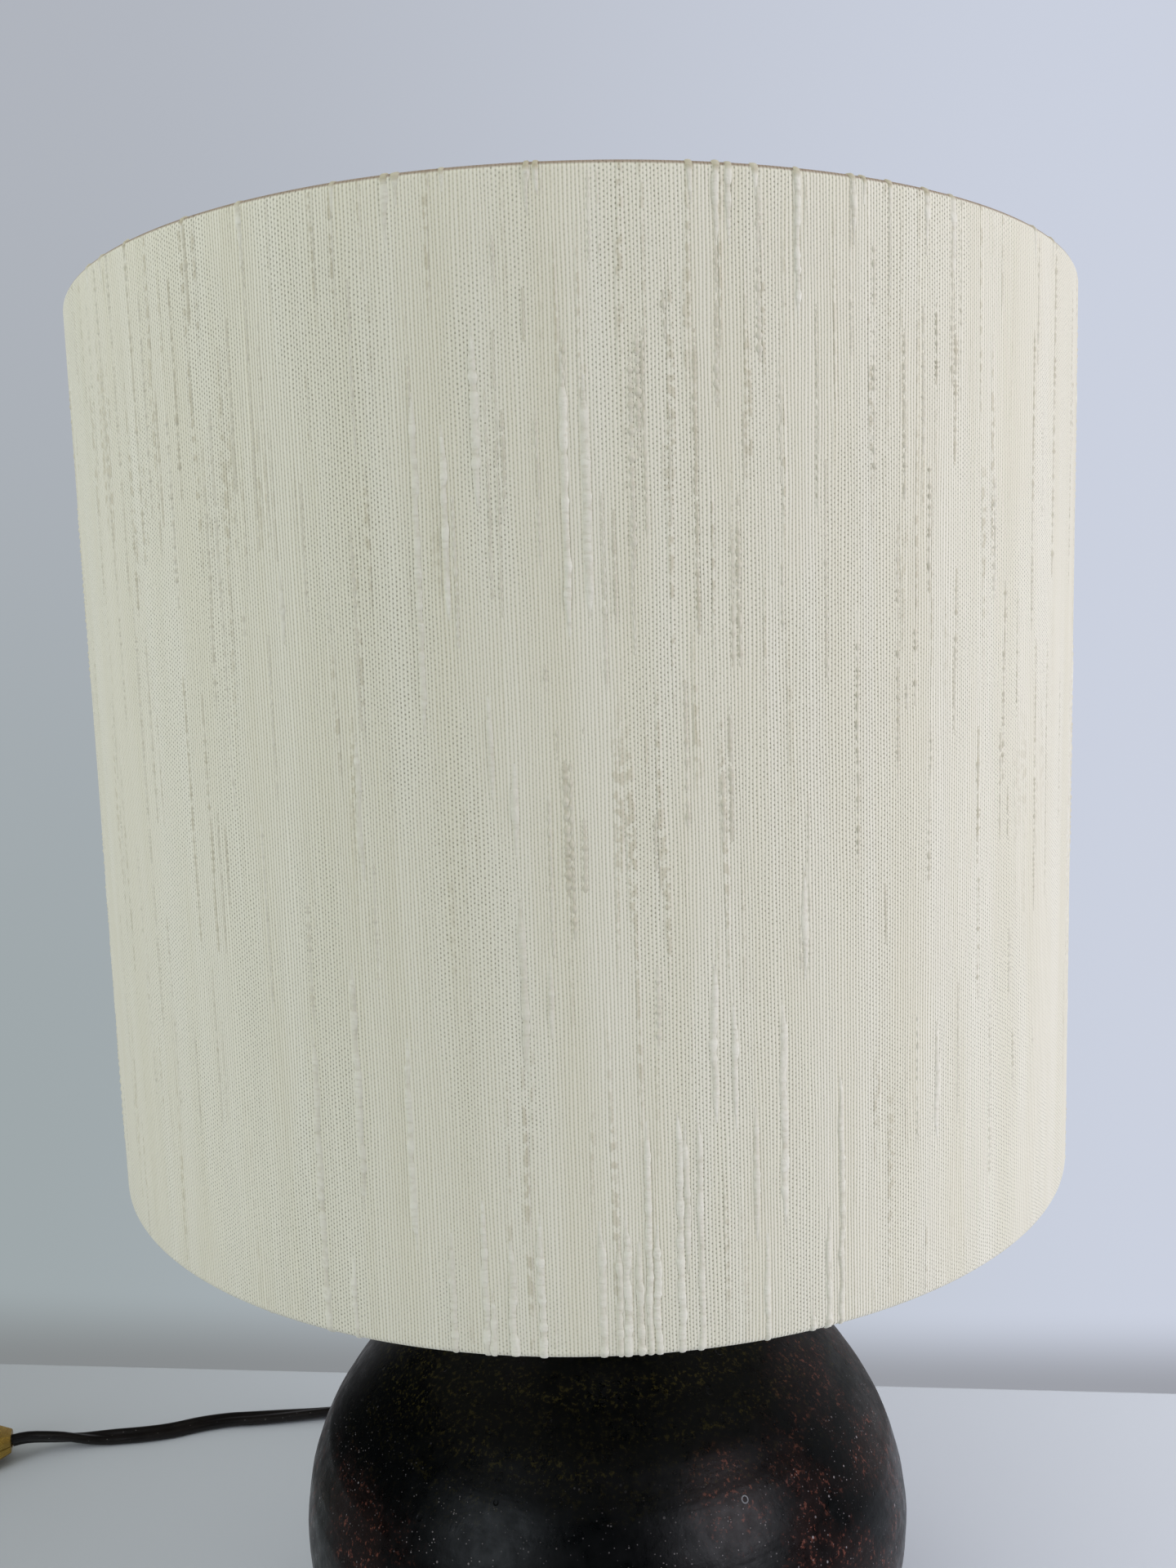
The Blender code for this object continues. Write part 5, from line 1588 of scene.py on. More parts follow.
    def build_rest(self) -> tuple[bpy.types.Object, list[Vector]]:
        """Makes the cord from the switch through the coil to the plug.

        Returns:
            The piece and the points that it follows.
        """
        path, first, last = self.rest_route()
        start = line_length(path[: first + 1])
        end = line_length(path[: last + 1])
        whole = line_length(path)
        lean = self.coil_lean
        keys = ((0.0, 0.0), (0.012, 0.0), (start, lean), (end, lean), (whole - 0.004, 0.0), (whole, 0.0))
        path = self.lifted(path, self.turns_along(path, keys))
        fine = smooth_route([path[0], *path, path[-1]], self.fine_step * 1.35)[1:-1]
        turns = self.turns_along(fine, keys)
        bm = swept(self.lifted(fine, turns), self.outline(), turns)
        nodes = ["cord_tail", "cord_coil", "cord_end"]
        return set_down("flex_coil", bm, FLEX, Body.BASE, nodes, 60.0), path

    def build_inner(self) -> None:
        """Makes the cord inside the ball, from the sleeve up to the lampholder."""
        route = [
            (0, 0.0887350, 0.018),
            (0, 0.0687350, 0.018),
            (0, 0.0482, 0.018),
            (0, 0.0377, 0.018),
            (0, 0.022, 0.0285),
            (0, 0.0058, 0.0616),
            (0, 0, 0.1053),
            (0, 0, 0.1386),
            (0, 0, 0.1491068),
        ]
        path = smooth_route(route, self.fine_step * 2)
        bm = swept(path, [(x * 0.70, y * 1.1) for x, y in self.outline()], side=Vector((1, 0, 0)))
        set_down("flex_inner", bm, FLEX, Body.BASE, ["inner_cord"], 60.0)

    def build(self) -> None:
        """Makes all three lengths."""
        self.lead, self.lead_path = self.build_lead()
        self.rest, self.rest_path = self.build_rest()
        self.build_inner()


@dataclass
class CoilTie:
    """The flat band that holds the coil, with its free end lapped over."""

    centre: Pair = COIL_CENTRE
    ring: float = COIL_RADIUS
    half_width: float = 0.01135
    low: float = 0.00087
    high: float = 0.01090
    ease: float = 0.0022
    band: float = 0.008
    thick: float = 0.0007
    angle: float = math.radians(20)

    def build(self) -> bpy.types.Object:
        """Makes the band.

        Returns:
            The piece.
        """
        middle = (self.low + self.high) / 2
        half = (self.high - self.low) / 2
        grow = self.thick / 2
        section = []
        for sx, sz, first in ((1, 1, 0), (-1, 1, 90), (-1, -1, 180), (1, -1, 270)):
            corner = (sx * (self.half_width - self.ease), sz * (half - self.ease))
            reach = self.ease + grow
            section += arc(corner, (reach, reach), math.radians(first), math.radians(first + 90), 6)
        lap = [(x, z + self.thick * 1.05) for x, z in section[3:9]]
        points = section[4:] + section[:5] + lap[1:]
        spoke = Vector((math.cos(self.angle), math.sin(self.angle), 0))
        across = UP.cross(spoke)
        centre = Vector((*self.centre, middle))
        path = [centre + spoke * (self.ring + x) + UP * z for x, z in points]
        outline = rectangle((-self.band / 2, -grow), (self.band / 2, grow), grow * 0.8, 2)
        bm = bmesh.new()
        rings = []
        for i, place in enumerate(path):
            along = (path[min(i + 1, len(path) - 1)] - path[max(i - 1, 0)]).normalized()
            out = across.cross(along).normalized()
            rings.append([place + across * x + out * y for x, y in outline])
        extrude_rings(bm, rings)
        return set_down("tie_band", bm, TIE, Body.BASE, ["coil_tie"], 40.0)


# The ball, its foot and the neck


@dataclass
class Ball:
    """The thrown stoneware ball with its foot, its neck and the hole for the cord."""

    radius: float = 0.086
    half_height: float = 0.0664
    wall: float = 0.0065
    foot_radius: float = 0.047
    foot_z: float = 0.0023
    centre_z: float = 0.0579068
    crown_z: float = 0.1243068
    neck_radius: float = 0.018
    neck_z: float = 0.1393068
    flare: float = 0.011
    bore: float = 0.008
    ceiling_z: float = 0.1159
    ceiling_radius: float = 0.020
    floor_thick: float = 0.007
    floor_hole: float = 0.022
    recess: float = 0.0015
    ring_width: float = 0.009
    hole_height: float = 0.018
    hole_radius: float = 0.0051
    felt_radius: float = 0.043
    felt_thick: float = 0.002
    steps: int = 176
    lip: float = 0.0016
    craters: tuple[Pair, ...] = ((912, 1836), (637, 1908))
    crater_rim: tuple[Pair, ...] = (
        (0, -0.0003),
        (0.00055, -0.00028),
        (0.00066, 0.00008),
        (0.00080, 0.00015),
        (0.00094, 0.00008),
        (0.00104, -0.0003),
    )

    def section(self) -> list[Pair]:
        """Gives the wall's section, with rounded foot and lip.

        Returns:
            Its (radius, height) points.
        """
        start = -math.acos(self.foot_radius / self.radius)
        shoulder = math.acos((self.neck_radius + self.flare) / self.radius)
        middle = (0, self.centre_z)
        outside = arc(middle, (self.radius, self.half_height), start, shoulder, 84)
        foot_start = (self.foot_radius - 0.0022, self.foot_z)
        foot = bow(foot_start, (self.foot_radius - 0.0002, self.foot_z), outside[1], 4)
        neck, top = self.neck_radius, self.neck_z
        flare = bow(outside[-1], (neck, self.crown_z - 0.0012), (neck, self.crown_z + self.flare / 2), 9)
        lip = bow((neck, top - self.lip), (neck, top), (neck - self.lip, top), 4)
        rise = [(neck, flare[-1][1] + (lip[0][1] - flare[-1][1]) * i / 3) for i in (1, 2)]
        inner_radius = self.radius - self.wall
        inner_half = self.half_height - self.wall
        floor_z = self.foot_z + self.floor_thick
        inner_start = math.acos(self.ceiling_radius / inner_radius)
        inner_end = math.asin((floor_z - self.centre_z) / inner_half)
        inside = arc(middle, (inner_radius, inner_half), inner_start, inner_end, 22)
        foot_inner = self.foot_radius - self.ring_width
        under = [
            (self.floor_hole, floor_z),
            (self.floor_hole, self.foot_z + self.recess),
            (foot_inner - 0.0006, self.foot_z + self.recess),
            (foot_inner + 0.0006, self.foot_z),
        ]
        collar = [(self.bore, top), (self.bore, self.ceiling_z)]
        return foot + outside[2:] + flare[1:] + rise + lip + collar + inside + under

    def thrown(self, place: Vector) -> Vector:
        """Gives a spot of the outside the marks of the thrower's hands.

        Args:
            place: the spot on the plain form.

        Returns:
            The spot on the thrown form.
        """
        if reach_of(place) < self.foot_radius - 0.001 or place.z < self.foot_z + 0.002:
            return place
        angle = math.atan2(place.y, place.x)
        turn = place.z * 620 + angle * 0.9
        marks = noise.noise(Vector((turn * 0.35, 3.1, 0.4 * math.cos(angle)))) * 0.00022
        marks += math.sin(turn * 1.4 + 2.0 * noise.noise(Vector((place.z * 40, 0.3, 1.7)))) * 0.00005
        slow = noise.noise(Vector((place.x * 16, place.y * 16, place.z * 16 + 5))) * 0.00035
        outward = Vector((place.x, place.y, (place.z - self.centre_z) * 1.6)).normalized()
        fade = smooth_step((place.z - self.foot_z) / 0.012) * smooth_step((self.neck_z - place.z) / 0.018)
        return place + outward * (marks + slow) * fade

    def cut_hole(self, bm: bmesh.types.BMesh) -> bmesh.types.BMesh:
        """Cuts the cord's hole through the back of the wall.

        Args:
            bm: the ball, which is used up.

        Returns:
            The cut ball.
        """
        near, far = 0.048, self.radius + 0.004
        tool = spun([(0, near), (self.hole_radius, near), (self.hole_radius, far), (0, far)], 40, False)
        put(tool, along_z((0, 0, self.hole_height), Vector((0, 1, 0))))
        made = []
        for name, body in (("uncut_ball", bm), ("hole_tool", tool)):
            mesh = bpy.data.meshes.new(name)
            body.to_mesh(mesh)
            body.free()
            made.append(bpy.data.objects.new(name, mesh))
            bpy.context.scene.collection.objects.link(made[-1])
        cut = made[0].modifiers.new("hole", "BOOLEAN")
        cut.operation = "DIFFERENCE"
        cut.solver = "EXACT"
        cut.object = made[1]
        finished = bmesh.new()
        finished.from_object(made[0], bpy.context.evaluated_depsgraph_get())
        for thing in made:
            bpy.data.objects.remove(thing, do_unlink=True)
        return finished

    def build_craters(self, view: Viewpoint) -> None:
        """Makes the burst bubbles of the glaze as small raised rims.

        Args:
            view: the camera that shows where they are.
        """
        parts = []
        for x, y in self.craters:
            ray = view.ray(x, y)
            place = Vector(view.place)
            scale = Vector((1 / self.radius, 1 / self.radius, 1 / self.half_height))
            start = Vector([a * b for a, b in zip(place - Vector((0, 0, self.centre_z)), scale)])
            way = Vector([a * b for a, b in zip(ray, scale)])
            b, c = 2 * start.dot(way), start.dot(start) - 1
            inside = b * b - 4 * way.dot(way) * c
            if inside < 0:
                continue
            hit = place + ray * ((-b - math.sqrt(inside)) / (2 * way.dot(way)))
            out = Vector([(v - o) * s * s for v, o, s in zip(hit, (0, 0, self.centre_z), scale)])
            parts.append(put(spun(self.crater_rim, 20, False), along_z(hit, out.normalized())))
        set_down("glaze_bubbles", joined(parts), BUBBLE, Body.BASE, sharp=80.0)

    def build_felt(self) -> None:
        """Makes the felt pad under the foot, its edge a little ragged."""
        edge, top = self.felt_radius, self.felt_thick
        bm = spun(eased([(0, 0, 0), (edge, 0, 0.0006), (edge, top, 0.0004), (0, top, 0)]), 200)

        def fray(place: Vector) -> Vector:
            """Pulls a spot of the edge in or out by a thread's width.

            Args:
                place: a spot of the plain form.

            Returns:
                The spot on the frayed form.
            """
            if reach_of(place) < edge - 0.002:
                return place
            return outwards(place, noise.noise(place * 900) * 0.00025)

        set_down("felt_foot", shaped(bm, fray), FELT, Body.BASE, ["felt_pad"])

    def build(self, view: Viewpoint) -> None:
        """Makes the ball, its bubbles and its pad.

        Args:
            view: the photograph's camera.
        """
        bm = shaped(spun(self.section(), self.steps), self.thrown)
        set_down("stoneware_ball", self.cut_hole(bm), GLAZE, Body.BASE, ["ball_body"], 40.0)
        self.build_craters(view)
        self.build_felt()


@dataclass
class CordSleeve:
    """The tapered strain relief in the back of the ball, ringed so that it bends."""

    mouth: float = 0.088735
    outer_wall: float = 0.068735
    face: float = 0.0492
    back: float = 0.0472
    root: float = 0.0048
    tip: float = 0.0036
    flange: float = 0.0066
    bore: float = 0.00245
    ease: float = 0.0003
    groove: float = 0.00045
    height: float = 0.018
    grooves: int = 5

    def build(self) -> bpy.types.Object:
        """Makes the sleeve.

        Returns:
            The piece.
        """
        flange, ease, tip = self.flange, self.ease, self.tip
        section = [(self.bore, self.back), (flange - ease, self.back), (flange, self.back + ease)]
        section += [(flange, self.face - ease), (flange - ease, self.face), (self.root, self.face)]
        section += [(self.root, self.outer_wall)]
        length = self.mouth - self.outer_wall
        start = 0.004
        pitch = (length - start - 0.002) / self.grooves
        for i in range(self.grooves):
            for share, depth in ((0.0, 0.0), (0.18, self.groove), (0.42, self.groove), (0.60, 0.0)):
                along = start + pitch * (i + share)
                radius = self.root + (tip - self.root) * along / length
                section.append((radius - depth, self.outer_wall + along))
        section += bow((tip, self.mouth - 0.0006), (tip, self.mouth), (tip - 0.0005, self.mouth), 3)
        section += [(self.bore, self.mouth)]
        bm = spun(section, 48)

        def flatten(place: Vector) -> Vector:
            """Makes the bore oval, to suit the flat cord.

            Args:
                place: a spot of the plain form.

            Returns:
                The spot on the oval form.
            """
            if reach_of(place) > self.bore + 0.00015:
                return place
            return Vector((place.x * 1.22, place.y * 0.74, place.z))

        put(shaped(bm, flatten), along_z((0, 0, self.height), Vector((0, 1, 0))))
        return set_down("flex_sleeve", bm, FLEX, Body.BASE, ["cord_sleeve"], 30.0)


# The lampholder


@dataclass
class Lampholder:
    """The bakelite holder with its brass neck cap, threaded skirt and two shade rings."""

    neck_radius: float = 0.018
    cap_top: float = 0.1408068
    cap_thick: float = 0.0012
    cap_skirt: float = 0.007
    base_z: float = 0.1411068
    base_radius: float = 0.009
    radius: float = 0.0193
    wall: float = 0.0028
    cap_height: float = 0.024
    height: float = 0.056
    boss: float = 0.008
    lip: float = 0.002
    clear: float = 0.0053
    mouth: float = 0.0139
    seat_z: float = 0.1803068
    hub_top: float = 0.1821068
    ring_width: float = 0.005
    ring_thick: float = 0.0055
    band: float = 0.008
    flutes: int = 32
    flute_depth: float = 0.00045
    notches: int = 16
    notch_depth: float = 0.00085
    notch_reach: float = 0.0016
    thread_pitch: float = 0.0024
    thread_depth: float = 0.00026
    insert_low: float = 0.1657068
    insert_top: float = 0.1727068
    insert_bore: float = 0.0018
    shell_inner: float = 0.0133
    shell_high: float = 0.1948
    shell_wave: float = 0.00045
    strip: Pair = (0.005, 0.0005)
    steps: int = 128

    def build_neck_cap(self) -> None:
        """Makes the brass cap over the ball's neck."""
        inner = self.neck_radius + GAP
        outer = inner + self.cap_thick
        bead = outer + 0.0002
        under = self.cap_top - self.cap_thick
        low = self.cap_top - self.cap_skirt
        corners = [
            (self.clear, under, 0),
            (inner, under, 0.0010),
            (inner, low, 0.0002),
            (bead, low, 0.0003),
            (bead, low + 0.0009, 0.0003),
            (outer, low + 0.0012, 0.0002),
            (outer, self.cap_top, 0.0016),
            (self.clear, self.cap_top, 0.0003),
        ]
        bm = spun(eased(corners, 5), self.steps)
        set_down("brass_neck_cap", bm, BRASS, Body.BASE, ["neck_cap"], 30.0)

    def build_holder_cap(self) -> None:
        """Makes the holder's domed lower half, with its moulded grip flutes."""
        inner = self.radius - self.wall
        low, base, outer = self.base_z, self.base_radius, self.radius
        dome, boss_top, top = low + self.lip, low + self.boss, low + self.cap_height
        foot = [(self.clear, low), (base - 0.0005, low), (base, low + 0.0005)]
        outside = bow((base, dome), (outer, dome), (outer, top - self.band), 12)
        band = [(outer, top - self.band + 0.0067 * i / 6) for i in range(1, 7)]
        rim = bow((outer, top - 0.0009), (outer, top), (outer - 0.0006, top), 3)
        inside = bow((inner, top), (inner, boss_top), (self.clear, boss_top), 8)
        bm = spun(foot + outside + band + rim + inside, 160)
        start, end = top - self.band - 0.0005, top - 0.0010

        def flute(place: Vector) -> Vector:
            """Presses shallow upright flutes into the straight band.

            Args:
                place: a spot of the plain form.

            Returns:
                The spot on the fluted form.
            """
            if reach_of(place) < outer - 0.0003 or not start < place.z < end:
                return place
            fade = smooth_step((place.z - start) / 0.0015) * smooth_step((end - place.z) / 0.0008)
            turn = math.atan2(place.y, place.x) / TURN
            return outwards(place, -self.flute_depth * crest(self.flutes * turn + 0.5) * fade)

        set_down("bakelite_cap", shaped(bm, flute), BAKELITE, Body.BASE, ["holder_cap"], 40.0)

    def build_holder_body(self) -> None:
        """Makes the holder's skirt with the thread that the shade rings run on."""
        inner = self.radius - self.wall
        low = self.base_z + self.cap_height + GAP
        high = self.base_z + self.height
        outer, mouth, rows = self.radius, self.mouth, 96
        outside = [(outer, low + 0.0004 + (high - low - 0.0014) * i / rows) for i in range(rows + 1)]
        section = [(inner, low), (outer - 0.0004, low)] + outside
        section += bow((outer - 0.0001, high - 0.0006), (outer, high), (outer - 0.0012, high), 3)
        section += [(mouth + 0.0004, high), (mouth, high - 0.0004)]
        section += [(mouth, high - self.lip), (inner, high - self.lip)]
        bm = spun(section, 96)

        def thread(place: Vector) -> Vector:
            """Winds the thread onto the outside.

            Args:
                place: a spot of the plain form.

            Returns:
                The spot on the threaded form.
            """
            if reach_of(place) < outer - 0.0001:
                return place
            start = smooth_step((place.z - low - 0.003) / 0.002)
            end = smooth_step((high - 0.0015 - place.z) / 0.0015)
            ridge = smooth_step(0.5 + 0.9 * math.cos(TURN * winding(place, self.thread_pitch)))
            return outwards(place, self.thread_depth * ridge * start * end)

        set_down("bakelite_skirt", shaped(bm, thread), BAKELITE, Body.BASE, ["holder_body"], 40.0)

    def build_rings(self) -> None:
        """Makes both shade rings, with notches for the fingers."""
        inner = self.radius + GAP
        outer = inner + self.ring_width
        for name, node, low in (
            ("shade_nut_lower", "shade_ring_lower", self.seat_z - self.ring_thick),
            ("shade_nut_upper", "shade_ring_upper", self.hub_top + GAP),
        ):
            high = low + self.ring_thick
            corners = [
                (inner, low, 0.0003),
                (outer, low, 0.0009),
                (outer, high, 0.0009),
                (inner, high, 0.0003),
            ]
            bm = spun(eased(corners, 4), 192)

            def notch(place: Vector) -> Vector:
                """Presses a finger notch where the ring's lobes meet.

                Args:
                    place: a spot of the plain form.

                Returns:
                    The spot on the notched form.
                """
                depth = reach_of(place) - outer + self.notch_reach
                if depth < 0:
                    return place
                lobe = crest(self.notches * math.atan2(place.y, place.x) / TURN) ** 3
                return outwards(place, -self.notch_depth * lobe * smooth_step(depth / 0.0014))

            set_down(name, shaped(bm, notch), BAKELITE, Body.BASE, [node], 40.0)

    def build_inside(self) -> None:
        """Makes the china insert, the threaded brass shell and the spring contact."""
        edge = self.radius - self.wall - GAP
        bore, low, top = self.insert_bore, self.insert_low, self.insert_top
        corners = [(bore, low, 0), (edge, low, 0.0004), (edge, top, 0.0006), (bore, top, 0.0004)]
        set_down("china_insert", spun(eased(corners), 96), CHINA, Body.BASE, ["holder_insert"], 35.0)
        low = top + GAP
        inner, outer = self.shell_inner, self.shell_inner + 0.0005
        rows = 54
        climb = [low + 0.0008 + (self.shell_high - low - 0.0008) * i / rows for i in range(rows + 1)]
        section = [(outer + 0.0014, low), (outer + 0.0014, low + 0.0005)]
        section += [(outer, z) for z in climb] + [(inner, z) for z in climb[::-1]] + [(inner, low)]
        bm = spun(section, 72)

        def thread(place: Vector) -> Vector:
            """Rolls the bulb's thread into the thin shell.

            Args:
                place: a spot of the plain form.

            Returns:
                The spot on the threaded form.
            """
            if reach_of(place) > outer + 0.0002 or place.z < low + 0.0007:
                return place
            fade = smooth_step((place.z - low - 0.002) / 0.002)
            return outwards(place, self.shell_wave * crest(winding(place, BULB_PITCH)) * fade)

        set_down("brass_thread_shell", shaped(bm, thread), BRASS, Body.BASE, ["thread_shell"], 50.0)
        wide, thick = (size / 2 for size in self.strip)
        tongue = low + 0.0021
        path = bow((-0.008, 0, low), (-0.0026, 0, low), (-0.0014, 0, low + 0.0006), 4)
        path += bow((0.0002, 0, tongue - 0.0004), (0.001, 0, tongue), (0.0025, 0, tongue), 3)
        path += [(0.004, 0, tongue - 0.0004)]
        points = [Vector((x, y, z + thick)) for x, y, z in path]
        bm = swept(points, rectangle((-wide, -thick), (wide, thick), 0.0001, 2))
        set_down("spring_contact", bm, BRASS, Body.BASE, ["centre_contact"], 35.0)

    def build(self) -> None:
        """Makes the holder."""
        self.build_neck_cap()
        self.build_holder_cap()
        self.build_holder_body()
        self.build_rings()
        self.build_inside()


# The bulb


@dataclass
class Bulb:
    """A clear glass bulb with a screw cap, a glass mount and a hung filament."""

    low: float = 0.1759068
    length: float = 0.105
    radius: float = 0.030
    glass: float = 0.0009
    shoulder: float = math.radians(-38)
    cap_radius: float = 0.0130
    cap_wall: float = 0.0010
    cap_length: float = 0.0225
    insulator: float = 0.0045
    pitch: float = BULB_PITCH
    depth: float = 0.0006
    threads: int = 5
    contact_radius: float = 0.004
    contact_thick: float = 0.0012
    stem_radius: float = 0.0028
    stem_height: float = 0.034
    stem_tip: float = 0.0022
    filament_rise: float = 0.012
    filament_span: float = 0.013
    filament_turns: int = 56
    filament_radius: float = 0.00028
    filament_wire: float = 0.00009
    support_wire: float = 0.0003

    def envelope(self, inset: float) -> list[Pair]:
        """Gives the glass's outline from the neck to the crown, drawn in by an inset.

        Args:
            inset: how far inside the glass's outer face the outline runs.

        Returns:
            Its (radius, height) points.
        """
        neck = self.cap_radius - self.cap_wall - GAP - inset
        centre = self.low + self.length - self.radius
        radius = self.radius - inset
        foot = self.low + self.insulator + self.cap_length / 2
        mouth = self.low + self.insulator + self.cap_length
        shoulder = (radius * math.cos(self.shoulder), centre + radius * math.sin(self.shoulder))
        slope = math.tan(QUARTER + self.shoulder)
        corner = shoulder[1] - (shoulder[0] - neck) * slope
        throat = bow((neck, mouth), (neck, max(mouth, corner)), shoulder, 14)
        crown = arc((0, centre), (radius, radius), self.shoulder, QUARTER, 30)
        crown[-1] = (0, centre + radius)
        return [(neck, foot)] + throat + crown[1:]

    def build_glass(self) -> None:
        """Makes the envelope and the mount inside it."""
        outline = self.envelope(0)[::-1] + self.envelope(self.glass)
        bm = spun(outline, 96, False)
        set_down("clear_envelope", bm, BULB_GLASS, Body.BULB, ["bulb_glass"], 50.0)
        base = self.low + self.insulator + self.cap_length / 2
        top = base + self.stem_height
        flare = self.cap_radius - self.cap_wall - 2 * GAP - self.glass
        stem, tip = self.stem_radius, self.stem_tip
        section = [(0, base), (flare, base), (flare, base + self.glass)]
        shoulder = (flare * 0.9, base + self.glass * 1.6)
        section += bow(shoulder, (stem, base + flare * 0.5), (stem, base + flare * 1.4), 8)
        section += [(stem * 0.9, top - 0.010), (stem * 0.75, top - 0.004)]
        section += arc((0, top - tip), (stem * 0.8, tip), -0.3, QUARTER, 6)
        section[-1] = (0, top)
        set_down("glass_mount", spun(section, 40, False), BULB_GLASS, Body.BULB, ["bulb_stem"], 50.0)

    def build_cap(self) -> None:
        """Makes the rolled metal cap, the black glass under it and the soldered contact."""
        low = self.low + self.insulator
        high = low + self.cap_length
        inner = self.cap_radius - self.cap_wall
        root = self.cap_radius - self.depth
        rows = 110
        outside = [(root, low + 0.0003 + (self.cap_length - 0.0011) * i / rows) for i in range(rows + 1)]
        rim = [(root + 0.00035, high - 0.0004), (root + 0.0002, high)]
        section = [(inner, low), (root - 0.0003, low)] + outside + rim + [(inner, high)]
        bm = spun(section, 84)
        first = low + self.pitch / 2
        last = first + self.threads * self.pitch

        def thread(place: Vector) -> Vector:
            """Rolls the round thread into the cap.

            Args:
                place: a spot of the plain form.

            Returns:
                The spot on the threaded form.
            """
            if reach_of(place) < root - 0.0001 or place.z > high - 0.0006:
                return place
            fade = smooth_step((place.z - first) / 0.003) * smooth_step((last - place.z) / 0.003)
            return outwards(place, self.depth * crest(winding(place, self.pitch)) * fade)

        set_down("rolled_cap", shaped(bm, thread), CAP_METAL, Body.BULB, ["bulb_cap"], 50.0)
        edge, rim, thick = inner - GAP, self.contact_radius, self.contact_thick
        under = self.low + thick + GAP
        section = [(0, under)] + bow((rim, under), (edge * 0.75, under + 0.0006), (edge, low - GAP), 6)
        section += [(edge, low + thick), (0, low + thick)]
        bm = spun(section, 72, False)
        set_down("cap_glass", bm, BLACK_GLASS, Body.BULB, ["bulb_insulator"], 40.0)
        low = self.low
        section = [(0, low)]
        section += bow((rim * 0.45, low + 0.00003), (rim * 0.98, low + 0.0002), (rim, low + 0.0008), 5)
        section += [(rim, low + thick), (0, low + thick)]
        bm = spun(section, 48, False)
        set_down("solder_contact", bm, SOLDER, Body.BULB_LIFT, ["bulb_contact"], 40.0)

    def build_filament(self) -> None:
        """Makes the support wires and the coiled filament that they hold."""
        top = self.low + self.insulator + self.cap_length / 2 + self.stem_height
        start = top - self.stem_radius
        side = self.stem_radius + 0.0007
        rise = top + self.filament_rise
        span = self.filament_span
        parts = []
        for sign in (-1, 1):
            route = [
                (sign * side, 0, start - 0.003),
                (sign * side, 0, start),
                (sign * (side + 0.003), 0, start + 0.006),
                (sign * (span - 0.001), 0, rise - 0.003),
                (sign * span, 0, rise - 0.0004),
                (sign * span, 0, rise),
            ]
            path = smooth_route(route, 0.0008)
            parts.append(swept(path, circle(self.support_wire, 8), side=Vector((0, 1, 0))))
        bend = bow((-span, 0, rise), (0, span * 1.4, rise), (span, 0, rise), 40)
        line = [Vector(spot) for spot in bend]
        coil = []
        count = self.filament_turns * 8
        for i in range(count + 1):
            place = i / count * (len(line) - 1)
            first = min(int(place), len(line) - 2)
            spot = line[first].lerp(line[first + 1], place - first)
            across = (line[first + 1] - line[first]).normalized().cross(UP)
            angle = TURN * self.filament_turns * i / count
            spoke = across * math.cos(angle) + UP * math.sin(angle)
            coil.append(spot + spoke * self.filament_radius)
        parts.append(swept(coil, circle(self.filament_wire, 5)))
        set_down("hung_filament", joined(parts), TUNGSTEN, Body.BULB, ["bulb_filament"], 60.0)

    def build(self) -> None:
        """Makes the bulb."""
        self.build_glass()
        self.build_cap()
        self.build_filament()


# The shade


class Slub(Enum):
    """How a thick yarn lies in the cloth."""

    RAISED = "slub_yarns"
    FAINT = "slub_streaks"
    BEADED = "slub_ladders"


# The least and the most of each kind's half width, of its height and of its tint
SLUB_LIMITS = {
    Slub.RAISED: ((0.00072, 0.00098), (0.00016, 0.00027), (0.0, 0.15)),
    Slub.FAINT: ((0.00038, 0.00062), (0.00011, 0.00016), (0.32, 0.55)),
    Slub.BEADED: ((0.00052, 0.00080), (0.00016, 0.00025), (0.40, 0.68)),
}


@dataclass(frozen=True)
class Column:
    """A thick yarn as the photograph shows it: its place across, its two ends and its kind."""

    x: float
    top: float
    bottom: float
    kind: Slub = Slub.FAINT


